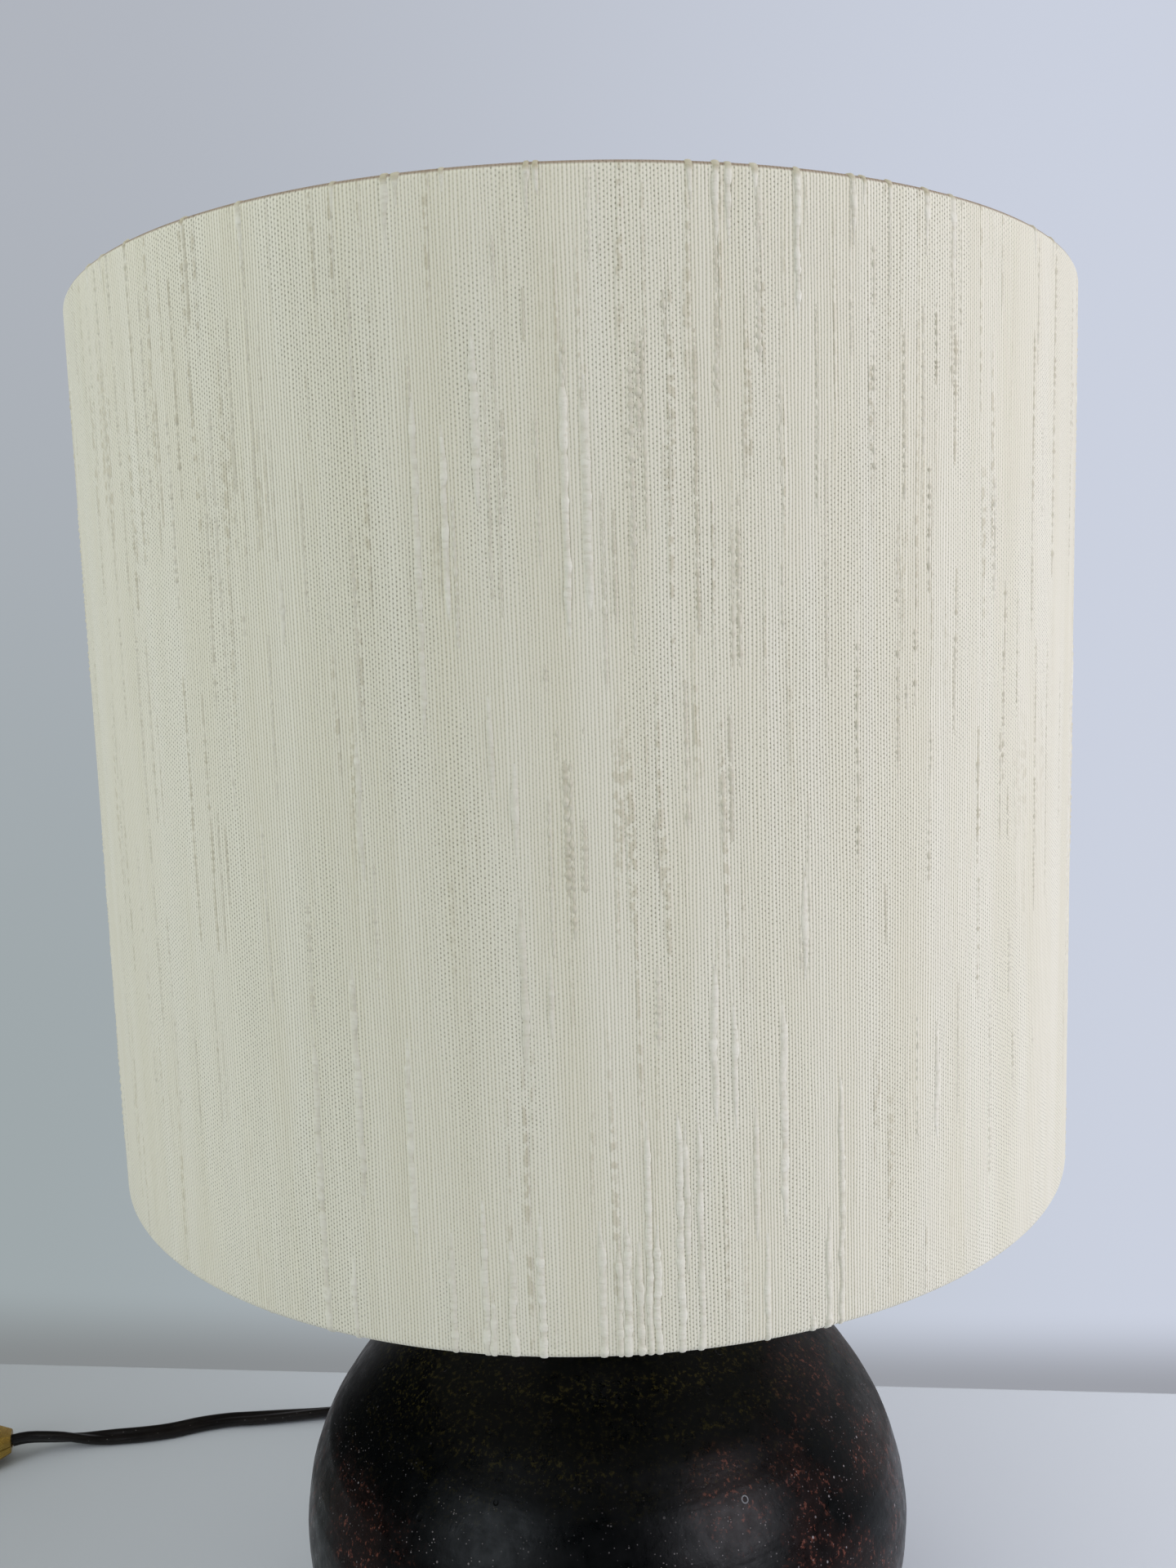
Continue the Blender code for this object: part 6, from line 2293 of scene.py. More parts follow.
def seen_columns() -> list[Column]:
    """Lists the thick yarns that were read off the photograph.

    Returns:
        The yarns.
    """
    raised = (
        (393, 1270, 1632), (438, 1180, 1480), (435, 1540, 1640), (504, 1272, 1530),
        (555, 1510, 1658), (594, 1470, 1662), (604, 1580, 1662), (628, 1520, 1660),
        (663, 1488, 1667), (738, 1495, 1667), (760, 1515, 1665), (769, 1490, 1665),
        (784, 1520, 1665), (795, 1373, 1665), (806, 1500, 1665), (834, 1362, 1664),
        (841, 1375, 1560), (858, 1362, 1658), (875, 1180, 1375), (900, 1230, 1382),
        (926, 1355, 1520), (940, 1510, 1645), (960, 1226, 1500), (997, 1590, 1635),
        (1015, 1478, 1630), (1031, 1318, 1622), (674, 1180, 1272), (641, 1100, 1310),
        (630, 935, 1050), (600, 850, 980), (581, 400, 628), (692, 430, 780), (718, 458, 757),
        (977, 200, 400), (545, 520, 760), (512, 480, 900), (440, 900, 1080), (1148, 1250, 1400),
        (985, 1060, 1200), (330, 1590, 1622), (345, 700, 790), (105, 280, 360), (121, 270, 350),
        (152, 290, 330), (222, 255, 300), (292, 230, 330), (405, 205, 260), (470, 200, 300),
        (482, 198, 255), (540, 190, 240), (645, 185, 265), (656, 185, 240), (845, 185, 250),
        (877, 185, 300), (893, 190, 300), (925, 195, 240), (1045, 205, 300), (1058, 208, 250),
        (1090, 215, 260), (1136, 225, 300), (1168, 230, 340), (1268, 265, 330), (1290, 275, 330),
    )
    faint = (
        (95, 520, 590), (112, 328, 590), (91, 357, 470), (118, 900, 1180), (123, 770, 1035),
        (124, 610, 740), (146, 850, 1080), (160, 1180, 1390), (172, 1018, 1155), (182, 1185, 1240),
        (189, 1237, 1340), (197, 870, 1015), (208, 1120, 1235), (218, 1240, 1365),
        (242, 1258, 1390), (262, 740, 870), (266, 1174, 1375), (275, 1240, 1370), (272, 990, 1170),
        (279, 1010, 1120), (280, 740, 1000), (283, 380, 610), (305, 250, 680), (321, 380, 608),
        (299, 740, 790), (334, 774, 985), (327, 1005, 1240), (380, 1100, 1260), (372, 590, 760),
        (430, 340, 560), (436, 650, 900), (460, 1050, 1210), (500, 430, 520), (558, 600, 800),
        (598, 470, 740), (609, 400, 760), (616, 500, 640), (603, 280, 350), (659, 500, 700),
        (640, 350, 420), (668, 810, 850), (675, 970, 1180), (682, 880, 935), (690, 400, 480),
        (715, 890, 915), (720, 205, 330), (740, 600, 850), (753, 623, 766), (775, 623, 806),
        (803, 990, 1070), (813, 350, 420), (821, 485, 645), (841, 824, 1025), (877, 200, 500),
        (897, 640, 820), (911, 500, 600), (956, 433, 600), (959, 680, 780), (1001, 367, 640),
        (1012, 555, 850), (1042, 217, 450), (1050, 743, 820), (1090, 221, 376), (1085, 1075, 1160),
        (991, 970, 1200), (981, 1128, 1195), (1124, 1235, 1400), (1135, 233, 320),
        (1138, 976, 1090), (1140, 870, 960), (1173, 1200, 1375), (1177, 245, 500),
        (1198, 1060, 1230), (1212, 1209, 1450), (1246, 720, 880), (1264, 1250, 1285),
        (1281, 780, 1095), (1311, 343, 720), (1297, 820, 1010), (1277, 500, 640), (140, 1300, 1400),
        (1240, 1240, 1330),
    )
    beaded = (
        (129, 312, 740), (144, 305, 740), (151, 740, 900), (165, 294, 700), (166, 620, 760),
        (178, 354, 640), (182, 740, 1250), (186, 770, 1010), (195, 474, 650), (211, 500, 750),
        (214, 338, 620), (228, 273, 403), (236, 824, 1165), (254, 543, 750), (258, 845, 1165),
        (264, 497, 750), (701, 930, 1160), (716, 1000, 1100), (694, 930, 1100), (774, 436, 700),
        (781, 400, 560), (789, 400, 660), (806, 1180, 1285), (853, 400, 784), (877, 413, 503),
        (886, 944, 1035), (895, 860, 1035), (905, 600, 820), (929, 217, 445), (1051, 800, 1065),
        (1071, 290, 590), (1100, 640, 760), (1100, 780, 960), (1108, 400, 620), (1111, 833, 870),
        (1121, 760, 865), (1131, 368, 560), (1138, 560, 730), (1147, 368, 475), (1166, 270, 480),
        (1169, 780, 900), (1170, 390, 572), (1171, 690, 825), (1198, 887, 1060), (1218, 584, 735),
        (1225, 890, 1030), (1229, 780, 960), (1231, 710, 815), (1234, 960, 1030),
        (1236, 1128, 1225), (1264, 613, 775), (1267, 780, 1120), (1272, 290, 450), (1266, 400, 620),
        (1291, 294, 710),
    )
    lists = {Slub.RAISED: raised, Slub.FAINT: faint, Slub.BEADED: beaded}
    return [Column(x, top, bottom, kind) for kind, rows in lists.items() for x, top, bottom in rows]


@dataclass
class Shade:
    """The drum shade: cloth rolled over two wire rings, a liner, and the spider that carries it."""

    radius: float = 0.125
    height: float = 0.211
    rim_z: float = 0.1713068
    cloth_thick: float = 0.0006
    liner_thick: float = 0.0004
    wire: float = 0.00175
    roll: float = 0.00235
    hem: float = 0.008
    ring_radius: float = 0.12235
    hub_z: float = 0.1806068
    hub_inner: float = 0.0202
    hub_width: float = 0.007
    hub_thick: float = 0.0015
    arm: float = 0.0016
    first_arm: float = math.radians(90)
    fold: float = 0.0012
    low_slack: float = 0.0004
    high_slack: float = 0.0002
    hidden_yarns: int = 250
    steps: int = 300
    wall_rows: int = 16
    seed: int = 20
    yarn_over: float = 0.0030
    lap: float = 0.010
    lap_over: float = 0.0040
    lap_proud: float = 0.00035
    liner_lap: float = 0.012
    arms: int = 3
    solder: Triple = (0.0027, 0.0027, 0.0017)

    @property
    def low_ring(self) -> float:
        """Gives the lower wire's height."""
        return self.rim_z + self.cloth_thick / 2 + self.roll

    @property
    def high_ring(self) -> float:
        """Gives the upper wire's height."""
        return self.rim_z + self.height - self.cloth_thick / 2 - self.roll

    @property
    def low_turn(self) -> float:
        """Gives the height at which the cloth turns in under the lower wire."""
        return self.rim_z + self.cloth_thick / 2 - self.low_slack + self.fold

    @property
    def span(self) -> float:
        """Gives the height of the cloth's wall between its two turns."""
        top = self.rim_z + self.height - self.cloth_thick / 2 + self.high_slack - self.fold
        return top - self.low_turn

    def middle_line(self) -> tuple[list[Vector], int]:
        """Gives the cloth's middle line, from the lower hem up the wall to the upper hem.

        Returns:
            The points, and the number of the one where the wall starts.
        """
        outer = self.radius - self.cloth_thick / 2
        inner = self.ring_radius - self.roll
        low, high, fold = self.low_turn, self.low_turn + self.span, self.fold
        turn = (fold, fold)
        foot = [(inner, self.low_ring + fold / 2)]
        foot += arc((inner + fold, low), turn, 2 * QUARTER, 3 * QUARTER, 4)
        foot += arc((outer - fold, low), turn, -QUARTER, 0, 5)
        wall = [(outer, low + self.span * i / self.wall_rows) for i in range(1, self.wall_rows)]
        head = arc((outer - fold, high), turn, 0, QUARTER, 5)
        head += arc((inner + fold, high), turn, QUARTER, 2 * QUARTER, 4)
        hem = [(inner, high + (self.high_ring - self.hem - high) * i / 3) for i in (1, 2, 3)]
        return [Vector(p) for p in foot + wall + head + hem], len(foot) - 1

    def map_cloth(self, bm: bmesh.types.BMesh, along: dict[Pair, float]) -> None:
        """Lays the cloth's map: metres round the shade from the seam, and metres up the cloth.

        Args:
            bm: the cloth.
            along: how far up the cloth each point of its section lies.
        """
        sheet = bm.loops.layers.uv.new("cloth")
        whole = TURN * self.radius
        for face in bm.faces:
            spots = []
            for loop in face.loops:
                place = loop.vert.co
                key = (round(reach_of(place), 5), round(place.z, 5))
                if key not in along:
                    near = min(along, key=lambda item: abs(item[0] - key[0]) + abs(item[1] - key[1]))
                    along[key] = along[near]
                turn = (math.atan2(place.y, place.x) - QUARTER) % TURN
                spots.append((loop, turn / TURN * whole, along[key]))
            far = max(spot[1] for spot in spots)
            for loop, across, up in spots:
                wrapped = whole if far > whole * 0.75 and across < whole * 0.25 else 0.0
                loop[sheet].uv = (across + wrapped, up)

    def build_cloth(self) -> bpy.types.Object:
        """Makes the cloth, with its map.

        Returns:
            The piece.
        """
        line, first = self.middle_line()
        half = self.cloth_thick / 2
        outer, inner, lengths = [], [], [0.0]
        for i, point in enumerate(line):
            ahead = line[min(i + 1, len(line) - 1)] - line[max(i - 1, 0)]
            across = Vector((-ahead.y, ahead.x)).normalized() * half
            outer.append(point - across)
            inner.append(point + across)
            if i:
                lengths.append(lengths[-1] + (point - line[i - 1]).length)
        section = [tuple(p) for p in outer + inner[::-1]]
        ups = [length - lengths[first] for length in lengths + lengths[::-1]]
        bm = spun(section, self.steps)
        self.map_cloth(bm, {(round(p[0], 5), round(p[1], 5)): up for p, up in zip(section, ups)})
        shaped(bm, self.settle)
        return set_down("slub_cloth", bm, CLOTH, Body.SHADE, ["shade_fabric"], 60.0)

    def settle(self, place: Vector) -> Vector:
        """Lets the bonded cloth, and the yarns on it, wander by a hair's width.

        Args:
            place: a spot of the plain form.

        Returns:
            The spot on the settled form.
        """
        low, high = self.low_turn, self.low_turn + self.span
        if not low < place.z < high:
            return place
        fade = smooth_step((place.z - low) / 0.02) * smooth_step((high - place.z) / 0.02)
        pull = noise.noise(Vector((place.x * 22, place.y * 22, place.z * 9))) * 0.00022 * fade
        return outwards(place, pull)

    def spot(self, angle: float, rise: float, proud: float) -> Vector:
        """Finds a spot on the cloth's outside.

        Args:
            angle: where round the shade.
            rise: how far up the cloth from its lower turn; below 0 it goes round and under the turn.
            proud: how far off the cloth.

        Returns:
            The spot.
        """
        past = -rise if rise < 0 else max(0.0, rise - self.span)
        bend = self.fold + self.cloth_thick / 2
        turn = min(past / bend, QUARTER)
        level = max(0.0, past - bend * QUARTER)
        corner = self.radius - bend
        reach = corner + (bend + proud) * math.cos(turn) - level
        lift = (bend + proud) * math.sin(turn)
        height = self.low_turn - lift if rise < 0 else self.low_turn + min(rise, self.span) + lift
        return self.settle(Vector((math.cos(angle) * reach, math.sin(angle) * reach, height)))

    def yarn(
        self, angle: float, low: float, high: float, kind: Slub, dice: random.Random
    ) -> bmesh.types.BMesh:
        """Makes one thick yarn on the cloth.

        Args:
            angle: where round the shade.
            low: its lower end, as a rise from the cloth's lower turn.
            high: its upper end.
            kind: how it lies.
            dice: the source of its chances.

        Returns:
            The yarn.
        """
        raised = kind is Slub.RAISED
        width, proud, tinted = (dice.uniform(*limit) for limit in SLUB_LIMITS[kind])
        bead = dice.uniform(0.0012, 0.0020)
        phase = dice.uniform(0, 100)
        count = max(6, round((high - low) / (0.0008 if raised else 0.00045)))
        reach = 0.007 if raised else 0.003
        sway = 0.00035 if raised else 0.00016
        rings, tints = [], []
        for i in range(count + 1):
            rise = low + (high - low) * i / count
            foot = 1.0 if low < 0 else smooth_step((rise - low) / reach)
            head = 1.0 if high > self.span else smooth_step((high - rise) / reach)
            fade = min(foot, head)
            knot = min(1.0, max(0.0, 0.5 + 0.9 * noise.noise(Vector((rise * 850, phase, 0.5)))))
            if raised:
                edge = 0.00007 if rise < 0 or rise > self.span else 0.0
                aside = width * (0.70 + 0.45 * knot) * (0.4 + 0.6 * fade)
                lift = proud * (0.55 + 0.6 * knot) * fade + edge
                tints.append(tinted + 0.25 * (1 - knot) + (0.7 if rise > self.span else 0.0))
            else:
                drift = noise.noise(Vector((rise * 150, phase, 4.5)))
                pulse = smooth_step(0.48 + 0.56 * math.cos(TURN * (rise / bead + 1.6 * drift)))
                aside = width * (0.62 + 0.55 * pulse * knot)
                sunk = 0.30 if knot < 0.18 else 0.0
                lift = proud * (0.95 * pulse * (0.5 + knot) + 0.10 - sunk) * fade - 0.00001
                tints.append(tinted * (0.60 + 0.35 * knot + 0.20 * (1 - pulse)))
            wobble = noise.noise(Vector((rise * 160, phase, 2.5))) * sway
            sink = min(-0.00015, lift - 0.00012)
            if raised:
                top = ((-0.62, lift * 0.74), (0.0, lift), (0.62, lift * 0.74))
            else:
                top = ((-0.42, lift), (0.42, lift))
            shares = ((-1.0, sink), *top, (1.0, sink))
            turns = [(angle + (wobble + aside * share) / self.radius, height) for share, height in shares]
            rings.append([self.spot(turn, rise, height) for turn, height in turns])
        bm = bmesh.new()
        tint = bm.verts.layers.float.new("tint")
        for row, value in zip(extrude_rings(bm, rings), tints):
            for vert in row:
                vert[tint] = min(1.0, max(0.0, value))
        return bm

    def build_yarns(self, view: Viewpoint) -> list[bpy.types.Object]:
        """Lays the thick yarns: those of the photograph, and their like round the rest of the shade.

        Args:
            view: the photograph's camera.

        Returns:
            The pieces.
        """
        dice = random.Random(self.seed)
        over = self.yarn_over
        strips: dict[Slub, list[bmesh.types.BMesh]] = {kind: [] for kind in Slub}
        for column in seen_columns():
            middle = view.on_drum(column.x, (column.top + column.bottom) / 2, self.radius)
            if middle is None:
                continue
            ends = []
            for y in (column.bottom, column.top):
                hit = view.on_drum(column.x, y, self.radius)
                rise = (hit[1] if hit else middle[1]) - self.low_turn
                ends.append(min(self.span + over, max(-over, rise)))
            strips[column.kind].append(self.yarn(middle[0], ends[0], ends[1], column.kind, dice))
        for _ in range(self.hidden_yarns):
            angle = dice.uniform(math.radians(-28), math.radians(208))
            kind = dice.choices(list(Slub), (0.30, 0.42, 0.28))[0]
            low = dice.uniform(-0.02, self.span - 0.01)
            high = min(self.span + over, low + dice.uniform(0.012, 0.045))
            strips[kind].append(self.yarn(angle, max(-over, low), high, kind, dice))
        return [set_down(kind.value, joined(strips[kind]), YARN, Body.SHADE, sharp=70.0) for kind in Slub]

    def build_seam(self) -> bpy.types.Object:
        """Makes the lapped joint of the cloth, up the back.

        Returns:
            The piece.
        """
        bm = bmesh.new()
        rings = []
        rows = 90
        half = self.lap / 2 / self.radius
        for i in range(rows + 1):
            rise = -self.lap_over + (self.span + 2 * self.lap_over) * i / rows
            edge = noise.noise(Vector((rise * 260, 7.0, 1.0))) * 0.0002 / self.radius
            row = []
            for share in (-1.0, -0.94, -0.5, 0.0, 0.5, 0.94, 1.0):
                proud = -0.0001 if abs(share) == 1.0 else self.lap_proud
                row.append(self.spot(QUARTER + half * share + edge * share, rise, proud))
            rings.append(row)
        extrude_rings(bm, rings)
        sheet = bm.loops.layers.uv.new("cloth")
        for face in bm.faces:
            for loop in face.loops:
                place = loop.vert.co
                turn = math.atan2(place.y, place.x) - QUARTER
                loop[sheet].uv = (turn * self.radius, place.z - self.low_turn)
        return set_down("cloth_lap", bm, CLOTH, Body.SHADE, sharp=50.0)

    def build_liner(self) -> None:
        """Makes the milky liner behind the cloth."""
        outer = self.radius - self.cloth_thick - GAP
        inner = outer - self.liner_thick
        low = self.low_ring + self.roll
        high = self.high_ring - self.roll
        rows = 24
        climb = [low + (high - low) * i / rows for i in range(rows + 1)]
        bm = spun([(inner, z) for z in climb] + [(outer, z) for z in climb[::-1]], 240)
        set_down("milky_liner", bm, LINER, Body.SHADE, ["shade_liner"], 40.0)
        half, deep = self.liner_lap / 2, self.lap_proud
        shares = ((-1, 0.0), (-0.96, deep), (0, deep), (0.96, deep), (1, 0.0), (0, -0.0001))
        lap = []
        for z in climb:
            row = []
            for share, depth in shares:
                turn = QUARTER + 0.06 + share * half / inner
                reach = inner - depth
                row.append(Vector((math.cos(turn) * reach, math.sin(turn) * reach, z)))
            lap.append(row)
        bm = bmesh.new()
        extrude_rings(bm, lap)
        set_down("liner_lap", bm, LINER, Body.SHADE, sharp=40.0)

    def build_wires(self) -> None:
        """Makes both wire rings, the hub and the three arms of the spider."""
        for name, node, z in (
            ("wire_ring_low", "bottom_ring", self.low_ring),
            ("wire_ring_high", "top_ring", self.high_ring),
        ):
            section = [(self.ring_radius + r, z + h) for r, h in circle(self.wire, 14)]
            set_down(name, spun(section, 240), ENAMEL, Body.SHADE, [node], 60.0)
        outer = self.hub_inner + self.hub_width
        high = self.hub_z + self.hub_thick
        hub = spun(rectangle((self.hub_inner, self.hub_z), (outer, high), 0.0005), 120)
        set_down("spider_hub", hub, ENAMEL, Body.SHADE, ["shade_hub"], 40.0)
        start = outer + GAP
        first_z = self.hub_z + self.hub_thick / 2
        last_z = self.low_ring + self.wire + GAP + self.arm
        reach = self.ring_radius - start
        dip = (last_z - first_z) * 0.08
        for number in range(self.arms):
            angle = self.first_arm + TURN * number / self.arms
            outward = Vector((math.cos(angle), math.sin(angle), 0))
            side = UP.cross(outward)
            line = [(0.0, first_z), (0.06, first_z)]
            line += bow((0.08, first_z), (0.12, first_z), (0.18, first_z + dip), 4)
            line += bow((0.82, last_z - dip), (0.88, last_z), (0.93, last_z), 4)
            line += [(1.0, last_z)]
            points = [outward * (start + reach * s) + Vector((0, 0, z)) for s, z in line]
            parts = [swept(even_points(points, 0.0022), circle(self.arm, 14), side=side)]
            for place, size in ((points[-1], 1.0), (points[0] + outward * 0.0008, 0.9)):
                blob = bmesh.new()
                bmesh.ops.create_icosphere(blob, subdivisions=3, radius=1.0)
                shaped(blob, lambda p: p * (1 + 0.12 * noise.noise(p * 2.2 + Vector((number, 3, 1)))))
                bmesh.ops.scale(blob, vec=Vector(self.solder) * size, verts=blob.verts)
                bmesh.ops.translate(blob, vec=place - Vector((0, 0, 0.0006)), verts=blob.verts)
                parts.append(blob)
            name, node = f"spider_wire_{number + 1}", f"spider_arm_{number + 1}"
            set_down(name, joined(parts), ENAMEL, Body.SHADE, [node], 60.0)

    def build(self, view: Viewpoint) -> None:
        """Makes the shade.

        Args:
            view: the photograph's camera.
        """
        cloth = self.build_cloth()
        extras = self.build_yarns(view) + [self.build_seam()]
        self.build_liner()
        self.build_wires()
        flat = (TURN * self.radius + self.lap, line_length(self.middle_line()[0]))


# The switch on the cord


@dataclass
class InlineSwitch:
    """The gold switch on the cord, modelled about its middle with +X along the cord."""

    centre: Triple = (-0.255545, 0.091736, 0.00715)
    heading: float = CORD_HEADING
    length: float = 0.062
    width: float = 0.0205
    height: float = 0.0150
    axis_share: float = 0.47
    pivot_share: float = 0.50
    tilt: float = math.radians(8)
    rocker_length: float = 0.0190
    rocker_width: float = 0.0092
    rocker_proud: float = 0.0009
    rib_half: float = 0.00028
    screw_place: float = 0.0175
    screw_head: Pair = (0.0021, 0.0012)
    screw_shank: float = 0.0012
    slot_half: Pair = (0.0019, 0.00034)
    slot_depth: float = 0.0006

    def frame(self) -> Matrix:
        """Gives the switch's own frame."""
        return Matrix.Translation(Vector(self.centre)) @ Matrix.Rotation(self.heading, 4, "Z")

    def softened_copy(self, node: str) -> bmesh.types.BMesh:
        """Takes a copy of a shell of the model and rounds its edges.

        Args:
            node: the shell's name.

        Returns:
            The rounded copy.
        """
        source = frame["nodes"][node]
        bm = bmesh.new()
        bm.from_mesh(source.data)
        bmesh.ops.remove_doubles(bm, verts=bm.verts, dist=0.000004)
        bmesh.ops.dissolve_limit(bm, angle_limit=math.radians(1.5), verts=bm.verts, edges=bm.edges)
        edges = [
            edge
            for edge in bm.edges
            if len(edge.link_faces) == 2
            and edge.calc_face_angle(0) > math.radians(14)
            and edge.calc_length() > 0.0012
        ]
        soften(bm, edges, 0.00022)
        return bm

    def build_rocker(self) -> bpy.types.Object:
        """Makes the rocker, dished along its top and ribbed at both ends.

        Returns:
            The piece.
        """
        top = self.height * (1 - self.axis_share)
        pivot_z = top * self.pivot_share
        half = self.rocker_length / 2
        middle = top - pivot_z + self.rocker_proud
        horn = middle + self.rocker_proud
        skirt = -0.0024
        foot = half * 0.8
        outline = [(-half, horn), (-half, 0), (-foot, skirt), (foot, skirt), (half, 0), (half, horn)]
        dish = 12
        for i in range(1, dish):
            x = half - 2 * half * i / dish
            outline.append((x, middle + self.rocker_proud * (x / half) ** 2))
        wide = self.rocker_width / 2
        bm = bmesh.new()
        verts = [bm.verts.new((x, -wide, z)) for x, z in outline]
        face = bm.faces.new(verts)
        moved = bmesh.ops.extrude_face_region(bm, geom=[face])["geom"]
        far = [item for item in moved if isinstance(item, bmesh.types.BMVert)]
        bmesh.ops.translate(bm, vec=(0, 2 * wide, 0), verts=far)
        bmesh.ops.recalc_face_normals(bm, faces=bm.faces)
        sharp = [e for e in bm.edges if e.calc_face_angle(0) > math.radians(20)]
        soften(bm, sharp, 0.0004, 3)
        parts = [bm]
        for side in (-1, 1):
            for i in range(4):
                x = side * (half - 0.0018 - i * 0.0012)
                z = middle + self.rocker_proud * (x / half) ** 2
                low = (x - self.rib_half, -wide + 0.0014, z - 0.0003)
                high = (x + self.rib_half, wide - 0.0014, z + 0.00022)
                parts.append(block(low, high, 0.0002))
        rocker = joined(parts)
        pivot = self.frame() @ Matrix.Translation(Vector((0, 0, pivot_z)))
        put(rocker, pivot @ Matrix.Rotation(-self.tilt, 4, "Y"))
        return set_down("gold_rocker", rocker, GOLD, Body.ROCKER, ["switch_rocker"], 35.0)

    def build_screws(self) -> list[bpy.types.Object]:
        """Makes the two slotted screws in the underside.

        Returns:
            The pieces.
        """
        top = self.height * (1 - self.axis_share) * 0.50
        bottom = -self.height * self.axis_share * 0.80
        head, thick = self.screw_head
        shank = self.screw_shank
        seat = bottom + thick
        half_long, half_wide = self.slot_half
        made = []
        for number, side in ((1, -1), (2, 1)):
            corners = [
                (0, bottom, 0),
                (head, bottom, 0.0003),
                (head, seat, 0.0002),
                (shank, seat, 0),
                (shank, top, 0.0003),
                (0, top, 0),
            ]
            bm = spun(eased(corners), 40)
            for vert in bm.verts:
                x, y, z = vert.co
                if abs(x) < half_long and abs(y) < half_wide and z < bottom + 0.0001:
                    vert.co.z += self.slot_depth
            put(bm, self.frame() @ Matrix.Translation(Vector((side * self.screw_place, 0, 0))))
            name, node = f"slotted_screw_{number}", f"switch_screw_{number}"
            made.append(set_down(name, bm, STEEL, Body.BASE, [node], 30.0))
        return made

    def build(self) -> list[bpy.types.Object]:
        """Makes the switch.

        Returns:
            The pieces that ride on the cord.
        """
        shells = [
            set_down(name, self.softened_copy(node), GOLD, Body.BASE, [node], 30.0)
            for name, node in (("gold_cover", "switch_cover"), ("gold_base", "switch_base"))
        ]
        return shells + [self.build_rocker()] + self.build_screws()


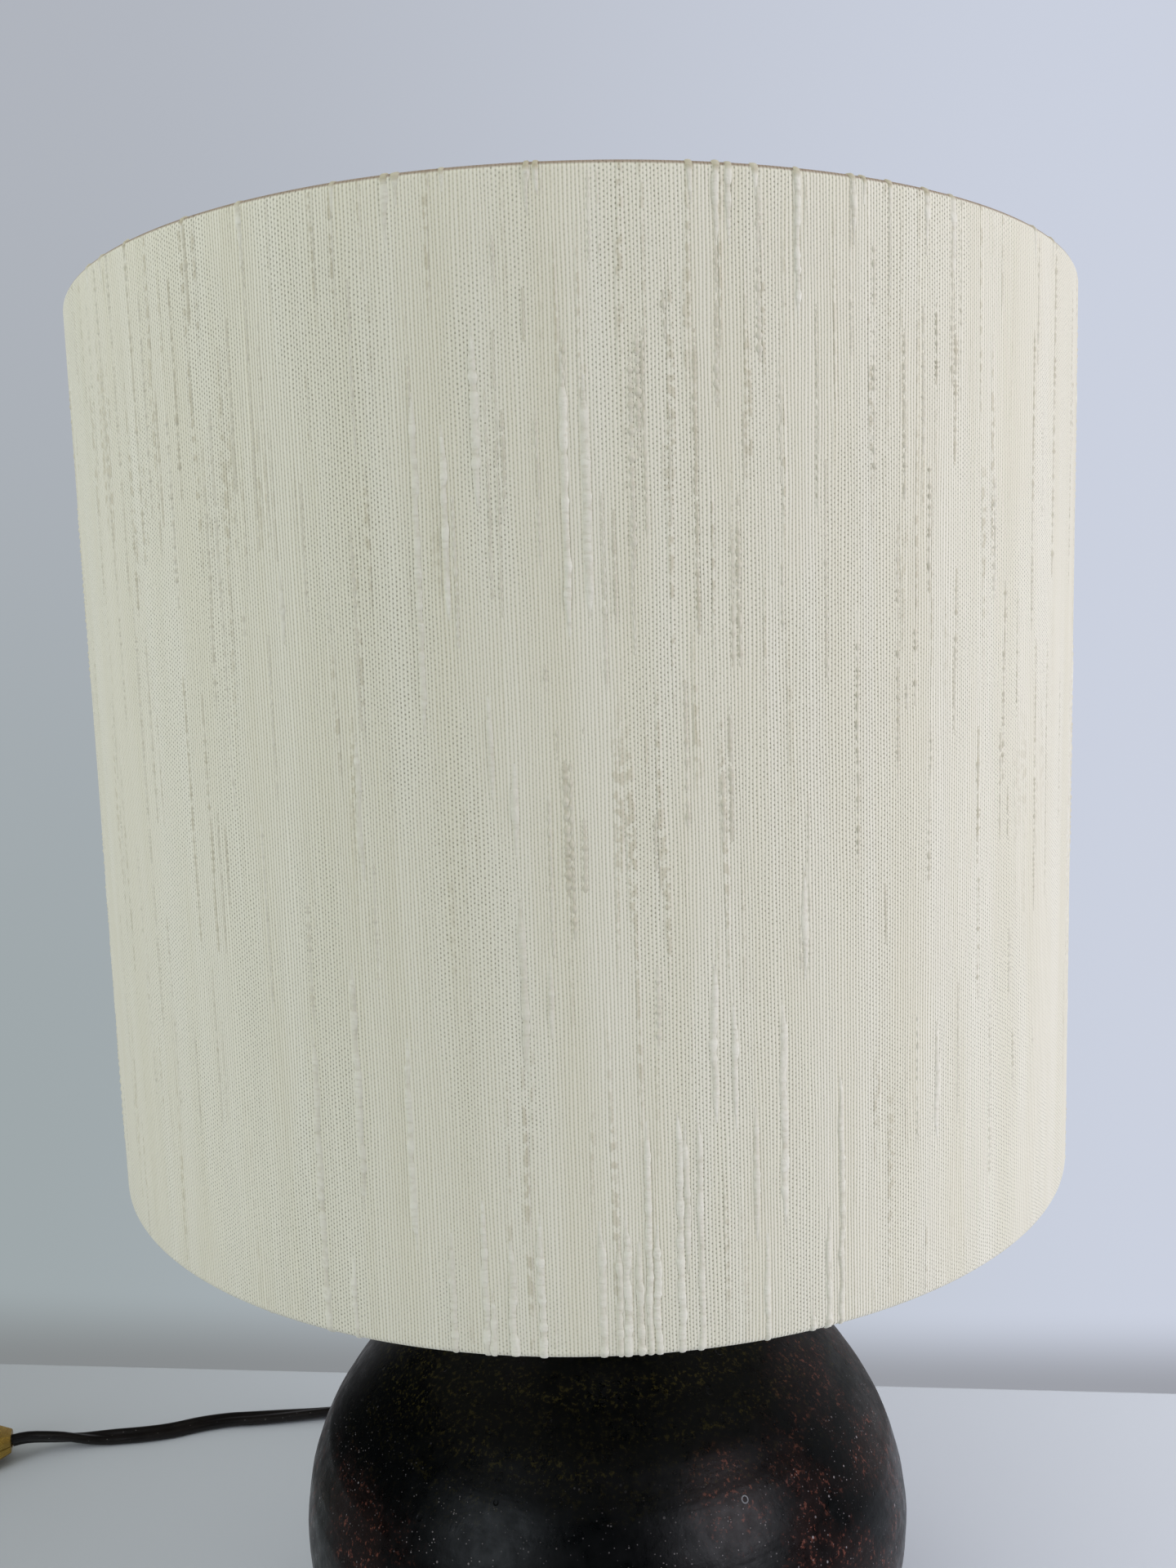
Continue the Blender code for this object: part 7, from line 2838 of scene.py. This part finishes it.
@dataclass
class Plug:
    """The flat two-pin plug, modelled about its boot's mouth with +X towards the pins."""

    centre: Triple = (-0.289988, -0.040863, 0.00695)
    along: Triple = (0.754562, -0.656228, 0.0)
    width: float = 0.0353
    thick: float = 0.0137
    depth: float = 0.036
    boot: float = 0.022
    tip_width: float = 0.0084
    tip_thick: float = 0.0070
    pin_radius: float = 0.002
    pin_length: float = 0.019
    pin_seat: float = 0.008
    spacing: float = 0.0186
    sleeve: float = 0.0100
    boot_grooves: float = 0.0006
    rib_half: Pair = (0.00045, 0.0072)

    def frame(self) -> Matrix:
        """Gives the plug's own frame."""
        turn = math.atan2(self.along[1], self.along[0])
        return Matrix.Translation(Vector(self.centre)) @ Matrix.Rotation(turn, 4, "Z")

    def ring(self, x: float, half_width: float, half_thick: float) -> list[Vector]:
        """Gives a section that is flat above and below and round at both sides.

        Args:
            x: how far along the plug it stands.
            half_width: half of its width.
            half_thick: half of its thickness.

        Returns:
            Its points.
        """
        side = max(0.0, half_width - half_thick)
        radii = (half_thick, half_thick)
        right = arc((side, 0), radii, -QUARTER, QUARTER, 10)
        left = arc((-side, 0), radii, QUARTER, 3 * QUARTER, 10)
        return [Vector((x, y, z)) for y, z in right + left]

    def build_body(self) -> bpy.types.Object:
        """Makes the moulded body with its ringed boot and its ribbed grip.

        Returns:
            The piece.
        """
        wide, tall, face = self.width / 2, self.thick / 2, self.boot + self.depth
        rows = []
        count = 30
        for i in range(count + 1):
            share = i / count
            grow = (1 + 0.45 * share) / 2
            groove = self.boot_grooves if i % 5 in (2, 3) and 1 < i < count - 2 else 0.0
            rows.append((self.boot * share, self.tip_width * grow - groove, self.tip_thick * grow - groove))
        _, start_wide, start_tall = rows[-1]
        keys_wide = ((0.0, start_wide), (0.20, wide * 0.60), (0.46, wide * 0.95), (0.62, wide), (1.0, wide))
        keys_tall = ((0.0, start_tall), (0.22, tall * 0.94), (0.42, tall), (1.0, tall))
        count = 29
        for i in range(1, count):
            share = i / count
            x = self.boot + self.depth * share
            rows.append((x, between(keys_wide, share), between(keys_tall, share)))
        for back, inset in ((0.0006, 0.0), (0.0001, 0.0003), (0.0, 0.0008), (0.0, 0.0026)):
            rows.append((face - back, wide - inset, tall - inset))
        bm = bmesh.new()
        extrude_rings(bm, [self.ring(*row) for row in rows])
        parts = [bm]
        half_x, half_y = self.rib_half
        for side, under, over in ((-1, 0.0, 0.0006), (1, -0.0006, 0.0004)):
            z = side * tall
            for i in range(6):
                x = self.boot + self.depth * (0.50 + 0.055 * i)
                low, high = (x - half_x, -half_y, z + under), (x + half_x, half_y, z + over)
                parts.append(block(low, high, 0.0002))
        body = joined(parts)
        put(body, self.frame())
        return set_down("moulded_plug", body, FLEX, Body.BASE, ["plug_body"], 35.0)

    def build_pins(self) -> list[bpy.types.Object]:
        """Makes the two pins with their half sleeves.

        Returns:
            The pieces.
        """
        face = self.boot + self.depth
        radius, length, neck = self.pin_radius, self.pin_length, self.sleeve
        core, bore = radius - 0.0004, radius - 0.0003
        made = []
        for number, side in ((1, -1), (2, 1)):
            place = self.frame() @ Matrix.Translation(Vector((face, side * self.spacing / 2, 0)))
            turn = place @ UP.rotation_difference(Vector((1, 0, 0))).to_matrix().to_4x4()
            section = [(0, -self.pin_seat), (core, -self.pin_seat), (core, neck)]
            section += [(radius, neck + 0.0002), (radius, length - radius)]
            section += arc((0, length - radius), (radius, radius), 0.2, QUARTER, 7)
            section[-1] = (0, length)
            pin = put(spun(section, 40, False), turn)
            name, node = f"plug_pin_brass_{number}", f"plug_pin_{number}"
            made.append(set_down(name, pin, BRASS, Body.BASE, [node], 40.0))
            corners = [(bore, -0.002, 0), (radius, -0.002, 0), (radius, neck, 0.0002), (bore, neck, 0)]
            sleeve = put(spun(eased(corners, 2), 40), turn)
            made.append(set_down(f"plug_pin_sleeve_{number}", sleeve, FLEX, Body.BASE, sharp=40.0))
        return made

    def build(self) -> list[bpy.types.Object]:
        """Makes the plug.

        Returns:
            The pieces that ride on the cord.
        """
        return [self.build_body()] + self.build_pins()


# The model's own nodes


class KeptNodes:
    """The small inner nodes whose own shape is right: they stay and get a finish."""

    def dress(self) -> None:
        """Gives every node of the model the finish of its own slot."""
        slots = {row["node"]: row["material_slot"] for row in frame["record"]["subparts"]}
        for name, node in frame["nodes"].items():
            finish = FINISHES[slots[name]]
            for slot in node.material_slots:
                slot.material = finish.material()
            LOG.info("%s: %s on the model's own node", name, finish.slot)


def main() -> None:
    """Builds the room, then each sub-assembly in order."""
    logging.basicConfig(level=logging.INFO, format="%(name)s %(message)s")
    view = Viewpoint()
    view.set_up()
    Studio().set_up(Vector(view.place))
    KeptNodes().dress()
    flex = Flex()
    flex.build()
    tie = CoilTie().build()
    switch = InlineSwitch().build()
    plug = Plug().build()
    Shade().build(view)
    Ball().build(view)
    CordSleeve().build()
    Lampholder().build()
    Bulb().build()


if __name__ == "__main__":
    main()
